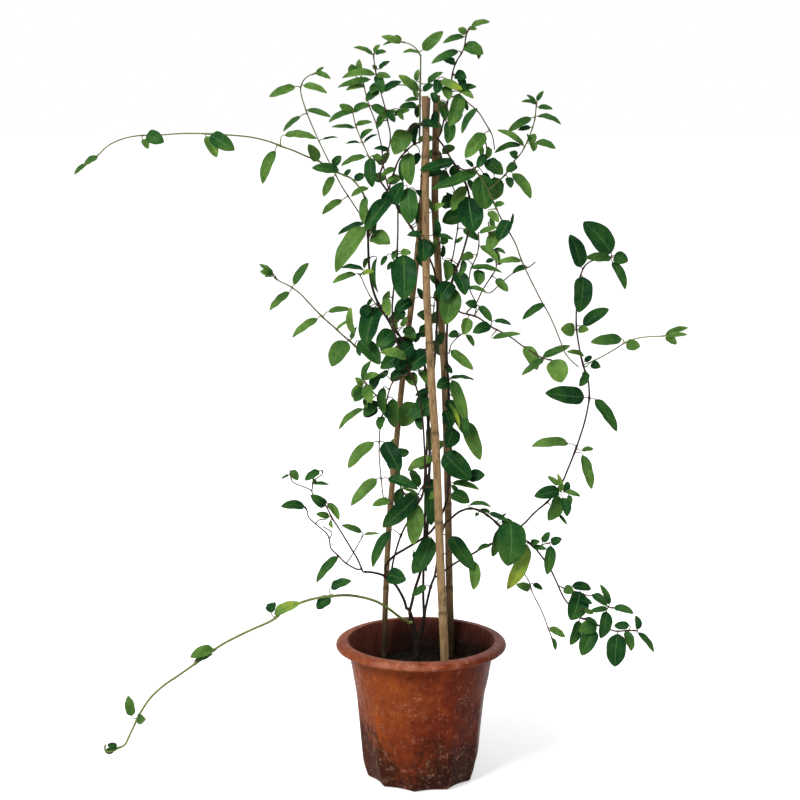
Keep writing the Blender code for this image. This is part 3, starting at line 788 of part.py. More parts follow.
def leaf_loft(leaf, stems, shifts, spare):
    """A leaf's cross-sections from its stem outward, each left, right and under, and its tip.

    The shifts move its base and tip in depth and roll it, to find it room among the others.
    The spare room makes a thicker and wider leaf that stands for its clearance.
    """
    base_u, base_v, tip_u, tip_v, width, roll, depth = leaf
    tip_shift, base_shift, roll_shift = shifts
    joint = nearest(stems, lift(base_u, base_v, 0), JOINT_MARGIN)[0]
    stem_depth = joint.y / CM
    base = lift(base_u, base_v, stem_depth + depth / 4 + base_shift)
    tip = lift(tip_u, tip_v, stem_depth + depth + tip_shift)
    length = (tip - base).length
    along = (tip - base).normalized()
    front = Vector((0, -1, 0))
    facing = (front - along * along.dot(front)).normalized()
    upper_side = along.cross(facing)
    if upper_side.dot(Vector((math.copysign(0.5, base.x), 0, 1))) < 0:
        upper_side.negate()
    turn = math.radians(roll + roll_shift)
    normal = facing * math.cos(turn) + upper_side * math.sin(turn)
    side = along.cross(normal)

    def section(centre, onward, wide):
        edge = (side - onward * side.dot(onward)).normalized()
        over = edge.cross(onward)
        edge *= wide / 2 + spare
        return [centre - edge + over * spare, centre + edge + over * spare,
                centre - over * (BLADE + spare)]

    blade = []
    for part, fullness in LONG_STATIONS if length > LONG_LEAF else STATIONS:
        arch = normal * (BOW * length * 4 * part * (1 - part))
        blade.append(section(base.lerp(tip, part) + arch, along, width * CM * fullness))
    middle = sum(blade[0], Vector()) / 3
    stalk = section(joint, (middle - joint).normalized(), STALK)
    return [stalk, *blade], tip + along * spare


def loft(rings, tip):
    """The vertices and faces of a skin over three-cornered rings, closed at a tip."""
    vertices = [place for ring in rings for place in ring] + [tip]
    end = len(vertices) - 1
    faces = [(2, 1, 0)]
    for start in range(0, end - 3, 3):
        for k in range(3):
            following = start + (k + 1) % 3
            faces.append((start + k, following, following + 3, start + k + 3))
    faces += [(end - 3 + k, end - 3 + (k + 1) % 3, end) for k in range(3)]
    return vertices, faces


class Obstacle:
    """The skin of something already in place, which a leaf keeps clear of."""

    def __init__(self, vertices, faces):
        self.tree = BVHTree.FromPolygons(vertices, faces)
        self.low = [min(place[i] for place in vertices) for i in range(3)]
        self.high = [max(place[i] for place in vertices) for i in range(3)]

    def touches(self, other):
        for i in range(3):
            if self.low[i] > other.high[i] or other.low[i] > self.high[i]:
                return False
        return bool(self.tree.overlap(other.tree))


def skin(thing):
    """A mesh object's skin as an obstacle."""
    mesh = thing.data
    vertices = [thing.matrix_world @ vertex.co for vertex in mesh.vertices]
    return Obstacle(vertices, [tuple(polygon.vertices) for polygon in mesh.polygons])


def leaf_shifts():
    """Shifts in depth (cm) and roll (degrees) for a crowded leaf, the smallest first."""
    tips = [0.3 * i for i in range(-14, 15)]
    bases = [0.25 * i for i in range(-6, 7)]
    rolls = [15 * i for i in range(-3, 4)]
    shifts = [(tip, base, roll) for tip in tips for base in bases for roll in rolls]
    return sorted(shifts, key=lambda s: (abs(s[0]) + 1.5 * abs(s[1]) + abs(s[2]) / 25, s))


def leaf_skins(leaf, stems, shift, spare):
    """The skins of a whole leaf and of its blade without the stalk."""
    rings, tip = leaf_loft(leaf, stems, shift, spare)
    return Obstacle(*loft(rings, tip)), Obstacle(*loft(rings[1:], tip))


def place_leaf(name, leaf, stems, kin, others, shifts):
    """A leaf solid and its skins. It is clear of others and of its kin's blades.

    The kin are the whole and blade skins of the leaves and stems of its own shoot.
    """
    for shift in shifts:
        whole, blade = leaf_skins(leaf, stems, shift, LEAF_CLEARANCE)
        if any(whole.touches(other) for other in others):
            continue
        if any(blade.touches(near_whole) or (near_blade and whole.touches(near_blade))
               for near_whole, near_blade in kin):
            continue
        mesh = bpy.data.meshes.new(name)
        vertices, faces = loft(*leaf_loft(leaf, stems, shift, 0))
        mesh.from_pydata(vertices, [], faces)
        return new_object(name, mesh), leaf_skins(leaf, stems, shift, 0)
    raise ValueError(f"no room for a leaf of {name} at {leaf[:2]}")


def material(name, color, roughness):
    """A plain plastic, earth or plant surface."""
    surface = bpy.data.materials.new(name)
    surface.use_nodes = True
    shader = surface.node_tree.nodes["Principled BSDF"]
    shader.inputs["Base Color"].default_value = (*color, 1)
    shader.inputs["Roughness"].default_value = roughness
    return surface


def finish(thing, surface, collection):
    """Gives a finished part its material and its place in the object's collection."""
    thing.data.materials.clear()
    thing.data.materials.append(surface)
    thing.data.shade_smooth()
    thing.data.set_sharp_from_angle(angle=math.radians(35))
    bpy.context.scene.collection.objects.unlink(thing)
    collection.objects.link(thing)
    return thing


def turned(name, profile):
    """A solid turned from (radius, height) pairs that run up the inside and down the outside."""
    mesh = bpy.data.meshes.new(name)
    places = [(radius, 0, height) for radius, height in profile]
    mesh.from_pydata(places, [(i, i + 1) for i in range(len(places) - 1)], [])
    thing = new_object(name, mesh)
    screw = thing.modifiers.new("Turn", "SCREW")
    screw.steps = POT_SIDES
    screw.render_steps = POT_SIDES
    screw.use_merge_vertices = True
    screw.merge_threshold = 0.0001
    return as_mesh(thing)


def flute(thing):
    """Presses the flutes into a turned shape and turns them to their places."""
    for vertex in thing.data.vertices:
        angle = math.atan2(vertex.co.y, vertex.co.x)
        depth = between(FLUTE_PROFILE, vertex.co.z / MM) * MM
        radius = vertex.co.xy.length
        if radius > DRAIN_CIRCLE + DRAIN_DIAMETER / 2:
            inset = depth * abs(math.sin(angle * FLUTES / 2)) ** FLUTE_BLUNTNESS
            vertex.co.xy *= (radius - inset) / radius
    thing.rotation_euler.z = FLUTE_TURN
    bpy.context.view_layer.update()
    return thing


def wall_inside():
    """Radius and height up the inside of the pot's wall, above its floor."""
    heights = [FLOOR, *(height * MM for height, _ in WALL_PROFILE[2:])]
    return [(between(WALL_PROFILE, height / MM) * MM - WALL, height) for height in heights]


def make_pot():
    inside = [(0, FLOOR), *wall_inside()]
    rim = [(radius * MM, height * MM) for radius, height in reversed(RIM_PROFILE)]
    outside = [(radius * MM, height * MM) for height, radius in reversed(WALL_PROFILE)]
    pot = flute(turned("pot", inside + rim + outside + [(0, 0)]))
    drills = []
    for i in range(DRAIN_HOLES):
        angle = 2 * math.pi * i / DRAIN_HOLES
        x = DRAIN_CIRCLE * math.cos(angle)
        y = DRAIN_CIRCLE * math.sin(angle)
        bpy.ops.mesh.primitive_cylinder_add(
            vertices=12, radius=DRAIN_DIAMETER / 2, depth=FLOOR * 4, location=(x, y, 0))
        drills.append(bpy.context.object)
    return combine(pot, drills, "DIFFERENCE")


def make_soil():
    """The soil: it fills the pot to its level, and its top is a little uneven."""
    inside = [place for place in wall_inside() if place[1] <= SOIL_LEVEL]
    side = [(radius - SOIL_MARGIN, height) for radius, height in inside]
    side[0] = (side[0][0], FLOOR + GAP)
    edge = side[-1][0]
    top = [(edge * part, SOIL_LEVEL) for part in SOIL_RINGS]
    profile = [(0, SOIL_LEVEL), *reversed(top), *reversed(side), (0, FLOOR + GAP)]
    soil = flute(turned("soil", profile))
    for vertex in soil.data.vertices:
        if vertex.co.z > SOIL_LEVEL - GAP and vertex.co.xy.length < edge * 0.9:
            ripple = math.sin(vertex.co.x * 90 + 1) + math.sin(vertex.co.y * 110) + 1
            vertex.co.z += SOIL_BUMP * ripple / 2
    return soil


def stake_axis(route, foot, top):
    """A stake's points and radii, with a swelling at each of the bamboo's nodes."""
    line = smooth([lift(*point) for point in route], STAKE_NODE_HALF)
    reach = (len(line) - 1) * STAKE_NODE_HALF
    points = [line[0]]
    radii = [foot * MM / 2]
    for i in range(int(reach / STAKE_NODE_PITCH)):
        middle = round((i + 0.6) * STAKE_NODE_PITCH / STAKE_NODE_HALF)
        taper = foot + (top - foot) * middle / (len(line) - 1)
        for offset, swell in ((-2, 1), (0, STAKE_NODE_SWELL), (2, 1)):
            points.append(line[middle + offset])
            radii.append(taper * MM / 2 * swell)
    return points + [line[-1]], radii + [top * MM / 2]


def hole_cutter(points, radii):
    """A cutter that clears the buried end of a stake or trunk."""
    buried = [point for point in points if point.z < SOIL_LEVEL]
    count = len(buried) + 1
    foot = points[0] - (points[1] - points[0]).normalized() * HOLE_CLEARANCE
    widened = [radius + HOLE_CLEARANCE for radius in radii[:count]]
    return tube("hole", [foot, *points[1:count]], widened, 1)


def make_stakes():
    """The three stakes, and the cutters of their holes in the soil."""
    stakes = []
    cutters = []
    for name, foot, top, route in STAKES:
        points, radii = stake_axis(route, foot, top)
        stakes.append(tube(name, points, radii, 1))
        cutters.append(hole_cutter(points, radii))
    return stakes, cutters


def make_crown():
    """The woody crown, its stems and the cutter of its hole in the soil."""
    stems = grow_stems(CROWN, [])
    pieces = [tube("crown", stem.points, stem.radii, 1) for stem in stems]
    cutter = hole_cutter(stems[0].points, stems[0].radii)
    return combine(pieces[0], pieces[1:], "UNION"), stems, cutter


def make_shoots(crown_stems, still):
    """Every shoot as one solid. All the stems are placed before the first leaf."""
    grown = {"crown": crown_stems}
    pieces = {}
    skins = {}
    for name, parent, stems, _ in SHOOTS:
        grown[name] = grow_stems(stems, grown[parent], SWINGS.get(name))
        sides = 1 if stems[0][0] > THICK_STEM else 0
        pieces[name] = [tube(name, stem.points, stem.radii, sides) for stem in grown[name]]
        skins[name] = [(skin(piece), None) for piece in pieces[name]]
    shifts = leaf_shifts()
    for name, _, _, leaves in SHOOTS:
        strangers = [whole for key in skins if key != name for whole, _ in skins[key]]
        for leaf in leaves:
            solid, both_skins = place_leaf(
                name, leaf, grown[name], skins[name], still + strangers, shifts)
            pieces[name].append(solid)
            skins[name].append(both_skins)
    return [combine(solids[0], solids[1:], "UNION", "MANIFOLD") for solids in pieces.values()]


def main():
    for thing in list(bpy.data.objects):
        bpy.data.objects.remove(thing)
    plastic = material("terracotta_plastic", (0.22, 0.05, 0.025), 0.4)
    earth = material("potting_soil", (0.012, 0.01, 0.008), 0.95)
    bamboo = material("bamboo", (0.35, 0.22, 0.1), 0.6)
    bark = material("woody_stem", (0.06, 0.035, 0.03), 0.7)
    green = material("leafy_shoot", (0.02, 0.11, 0.03), 0.4)
    collection = bpy.data.collections.new("potted_honeysuckle")
    bpy.context.scene.collection.children.link(collection)
    pot = make_pot()
    stakes, cutters = make_stakes()
    crown, crown_stems, crown_cutter = make_crown()
    soil = combine(make_soil(), [*cutters, crown_cutter], "DIFFERENCE")
    still = [skin(thing) for thing in (pot, soil, crown, *stakes)]
    shoots = make_shoots(crown_stems, still)
    finish(pot, plastic, collection)
    finish(soil, earth, collection)
    for stake in stakes:
        finish(stake, bamboo, collection)
    finish(crown, bark, collection)
    for shoot in shoots:
        finish(shoot, bark if shoot.name == "cane_left" else green, collection)


main()
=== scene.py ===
"""The looks of a potted honeysuckle: a fluted plastic pot, potting soil, bamboo stakes, a woody
crown, twining canes and leafy shoots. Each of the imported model's nodes is replaced by finely
made pieces that stand in the same place."""

import json
import math
import random

import bpy
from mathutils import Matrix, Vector, noise
from mathutils.bvhtree import BVHTree

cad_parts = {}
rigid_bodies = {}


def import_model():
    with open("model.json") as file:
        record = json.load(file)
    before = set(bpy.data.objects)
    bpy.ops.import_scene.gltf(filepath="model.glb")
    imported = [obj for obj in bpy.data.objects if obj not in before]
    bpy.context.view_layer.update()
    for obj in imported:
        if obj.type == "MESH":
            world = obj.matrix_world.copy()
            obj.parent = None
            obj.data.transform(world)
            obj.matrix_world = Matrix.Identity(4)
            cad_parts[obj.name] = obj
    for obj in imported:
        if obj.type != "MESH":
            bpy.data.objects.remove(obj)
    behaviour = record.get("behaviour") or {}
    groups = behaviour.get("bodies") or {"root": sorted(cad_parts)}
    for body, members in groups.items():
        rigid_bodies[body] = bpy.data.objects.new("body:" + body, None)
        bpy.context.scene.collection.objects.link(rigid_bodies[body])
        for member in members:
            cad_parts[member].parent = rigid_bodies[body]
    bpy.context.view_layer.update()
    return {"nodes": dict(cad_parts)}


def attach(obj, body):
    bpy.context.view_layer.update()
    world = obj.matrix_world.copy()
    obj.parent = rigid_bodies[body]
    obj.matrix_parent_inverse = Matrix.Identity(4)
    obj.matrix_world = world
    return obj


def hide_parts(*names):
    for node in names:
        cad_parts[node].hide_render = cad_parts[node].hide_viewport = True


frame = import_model()

MM = 0.001
CM = 0.01

# The camera, level sideways and tilted down a little.
CAMERA_PLACE = (-0.031, -2.679, 1.029)
CAMERA_TILT = math.radians(80.156)
CAMERA_LENS = 85
CAMERA_SENSOR = 36

# The pot as packed, but for flutes that run a little higher and deeper: heights and radii in
# millimetres.
POT_COLUMNS = 240
FLUTES = 10
FLUTE_TURN = math.radians(10.5)
FLUTE_BLUNTNESS = 0.8
CREST_ROUNDING = 0.012
WALL = 2.2
FLOOR = 3.8
SOIL_LEVEL = 160
WALL_PROFILE = [(0, 75.5), (5, 82), (25, 87.3), (60, 90.6), (100, 93.9), (130, 96.6),
                (160, 100.8), (174, 103.3)]
NECK = (106.8, 195)
RIM_PROFILE = [(107.8, 195.6), (112, 195.8), (118.5, 195.8), (122.6, 196.4), (124.7, 198.2),
               (125, 200.9), (123.3, 204.1), (119, 206.4), (113.5, 207.3), (109, 207.2)]
FLUTE_PROFILE = [(0, 8.5), (30, 5.6), (70, 4.2), (128, 2.2), (150, 0), (207.3, 0)]
FOOT_RINGS = (30, 66, 72)
FOOT_CORNER = [(75, 0.4), (80.1, 1.6)]
LIP_EDGE = (107.5, 205.8)
FLOOR_RINGS = (60, 30)
INSIDE_STEP = 7
INSIDE_CORNER = 2
DRAIN_HOLES = 5
DRAIN_RADIUS = 6
DRAIN_CIRCLE = 45
DRAIN_COLUMNS = 24
DRILL_ENDS = (-3, 8)

# The soil, with gaps to the pot in millimetres. Each ripple is (how many to a metre, height,
# which noise).
SOIL_RINGS = 60
SOIL_COLUMNS = 180
SOIL_GAP = 0.3
SOIL_MARGIN = 1.2
SOIL_SIDES = (5, 60, 100, 150)
SOIL_RIPPLES = [(28, 3, 3), (160, 1.5, 7), (420, 0.9, 1)]
SOIL_SETTLING = 1
MOUND_HEIGHT = 4
MOUND_REACH = 0.035
MOUND_X = -0.006
# Each kind of bits is (name, material, how many, sizes in millimetres, flatness).
SOIL_BITS = [
    ("soil_bark_bits", "bark_bits", 420, (1.2, 4.2), 0.5),
    ("soil_perlite", "perlite", 46, (0.8, 1.9), 0.8),
    ("soil_moss", "moss", 150, (1, 2.8), 0.45),
]
BITS_REACH = 94 * MM
LUMP_PROFILE = [(0, -0.5), (0.42, -0.3), (0.5, 0.05), (0.36, 0.36), (0, 0.5)]
LUMP_COLUMNS = 6

# A stake's nodes: ring and groove as parts of the radius, how far they spread, and the steps
# between them. A mark of 1 is as dark as a node.
STAKE_COLUMNS = 20
STAKE_UNEVENNESS = 0.012
STAKE_NODE_PITCH = 130 * MM
STAKE_NODE_HALF = 3 * MM
FIRST_NODE = 0.6
NODE_RING = (0.1, 1.6)
NODE_GROOVE = (0.06, 0.8)
GROOVE_OFFSET = 2
NODE_MARK = 0.9
BORE = 0.62
BORE_DEPTH = 9 * MM
RIM_MARK = 0.6
# The bore's mark is painted shade: the hole is drawn darker than the cut end around it.
BORE_SHADE = 0.9

# Stems and leaves.
CURVE_PARTS = 8
COARSE_STEP = 25 * MM
FINE_STEP = 4 * MM
GAP = 0.3 * MM
STUB = 3 * MM
TIP_REACH = 4 * MM
JOINT_MARGIN = 3
JOINT_SWELL = 0.45
ROOT_SWELL = 0.4
JOINT_SPREAD = 2.5 * MM
THINNEST = 0.85 * MM
THICK_STEM = 2.5
BARK_THICKNESS = 3.4
GREEN_THICKNESS = 1
STEM_UNEVENNESS = 0.04
POINT_LENGTH = 1.5
CROWN_COLUMNS = 14
CROWN_UNEVENNESS = (0.93, 1.1)
STALK = 0.8 * MM
STALK_RADIUS = 0.72 * MM
STALK_TAPER = (1.35, 1.1, 1, 0.95, 0.9, 0.6)
STALK_COLUMNS = 6
STALK_BEND = (0.45, 0.1)
STALK_YOUTH = 0.85
BLADE = 0.9 * MM
LEAF_THICKNESS = 0.35 * MM
FOLD_ALLOWANCE = 1.06
BOW = 0.12
LONG_LEAF = 40 * MM
WIDE_LEAF = 20 * MM
LEAF_CLEARANCE = 0.4 * MM
STATIONS = [(0.45, 1)]
LONG_STATIONS = [(0.32, 0.97), (0.68, 0.8)]
# How wide a leaf is along its length, as parts of its greatest width.
LEAF_OUTLINE = [(0, 0.1), (0.04, 0.42), (0.1, 0.72), (0.18, 0.9), (0.3, 0.99), (0.42, 1),
                (0.55, 0.97), (0.68, 0.88), (0.8, 0.7), (0.9, 0.46), (0.96, 0.26), (1, 0.06)]
LEAF_COLUMNS = 6
# How leaves differ: fold and twist in degrees, arch as a part of BOW, bend as a part of the
# length, an edge's waves and their height as a part of the width, and tone.
FOLDS = (12, 34)
TWISTS = (-14, 14)
TWIST_CENTRE = 0.3
ARCHES = (0.6, 1.35)
BENDS = (-0.05, 0.05)
WAVES = (1.5, 2.8)
WAVE_HEIGHTS = (0.02, 0.065)
WAVE_OFFSET = 1.3
SHADES = (-0.07, 0.07)

# Everything that grows is laid out in centimetres on a front elevation, as an eye at
# (EYE_X, -EYE_DISTANCE, EYE_Z) sees it: u to the right and v up are measured on the plane
# through the pot's axis, and d is the depth behind that plane.
EYE_X = -3.1
EYE_Z = 102.9
EYE_DISTANCE = 268

# How much each shoot's stems are a fresh green and not purplish brown, from 0 to 1.
STEM_GREENS = {
    "runner_low_left": 0.9, "shoot_arching_far_left": 0.7, "tendril_right": 0.9,
    "shoot_hooked": 0.3, "shoot_long_left": 0.4, "shoot_small_left": 0.4,
    "shoot_top_left_outer": 0.4, "shoot_leader": 0.5, "vine_long_right": 0.3,
    "shoot_outer_right": 0.4,
}

# How much the floor glows by the pot and far from it, and between which distances. Each lamp
# is (name, place, aim, size, power).
FLOOR_GLOW = (0.5, 0.85)
FLOOR_DISTANCES = (0.1, 0.9)
FLOOR_REACH = 30
WORLD_LIGHT = 0.36
LAMPS = [
    ("key", (-1.7, -2.3, 2.9), (0, 0, 0.5), 1.3, 125),
    ("fill", (2.6, -2, 1.6), (0, 0, 0.5), 2, 16),
    ("back", (0.8, 2.6, 2.6), (0, 0, 0.6), 1.6, 24),
]

# Each stake is (name, thickness at its foot and at its top in millimetres, points (u, v, d)).
STAKES = [
    ("stake_front", 13, 10, [
        (3.9, 3, -6.2), (3.5, 17.5, -5.6), (2.9, 30, -4.9), (2.5, 40, -4.3), (2.05, 50, -3.7),
        (1.5, 58, -3.2), (1.05, 66, -2.8), (0.7, 72, -2.4), (0.55, 80, -1.9), (0.5, 88, -1.4),
        (0.55, 94, -1.1), (0.4, 99.6, -0.8)]),
    ("stake_right", 11, 10, [
        (4.2, 8, 5.6), (4.4, 18.5, 7.6), (4.1, 30, 6.8), (3.9, 40, 6), (3.65, 50, 5.2),
        (3.3, 60, 4.4), (2.9, 66, 3.7), (2.3, 76, 2.8), (1.85, 84, 2), (1.9, 92, 1.2),
        (2.05, 99.7, 0.6)]),
    ("stake_left", 8.6, 8.6, [
        (-4.9, 8, 5.3), (-5.4, 18.2, 6.9), (-5.1, 30, 6.2), (-4.8, 36, 5.8), (-4.4, 42, 5.3),
        (-3.6, 50.5, 4.6), (-3, 57, 4.1), (-2.1, 65, 3.4), (-1.5, 70, 3), (-0.8, 76, 2.5),
        (-0.2, 82, 2), (0.2, 88, 1.6), (0.5, 94, 1.3), (0.75, 99.4, 1.2)]),
]

# The crown's trunk and its two forks, in the same form but without names.
CROWN = [
    (11, 10, [(-0.6, 13, 0.3), (-0.6, 18, 0.3), (-0.55, 20.5, 0.3)]),
    (8, 6, [(-0.55, 20, 0.3), (-1.1, 22.4, 0.3), (-1.6, 24.6, 0.3)]),
    (7, 5, [(-0.3, 20.3, 0.3), (0.05, 22, 0.3), (0.5, 24.5, 0.2)]),
]

# How far back each side shoot swings in 10 cm of its way, in centimetres; less than 0 is
# forward. A shoot listed here starts at its parent's depth, and the others where they say.
SWINGS = {
    "shoot_hanging_left": -3.5, "shoot_long_left": 3, "shoot_small_left": -4,
    "shoot_hooked": 4, "shoot_arching_far_left": -3.2, "shoot_top_left_front": -5,
    "shoot_top_left_middle": 1.5, "shoot_top_left_outer": 5, "shoot_leader": 4,
    "shoot_top_right": -4.5, "vine_top_right": -2, "shoot_upper_right": -3.4,
    "vine_long_right": -3, "shoot_outer_right": 4.5, "shoot_inner_right": 4,
    "shoot_centre_right": -5, "shoot_bushy_right": 2, "twig_side_right": -4,
    "vine_hanging_right": 3, "branch_tall_right": 3, "tendril_right": -3,
    "branch_low_right": -4, "twigs_low_left": 5, "runner_low_left": -3,
}

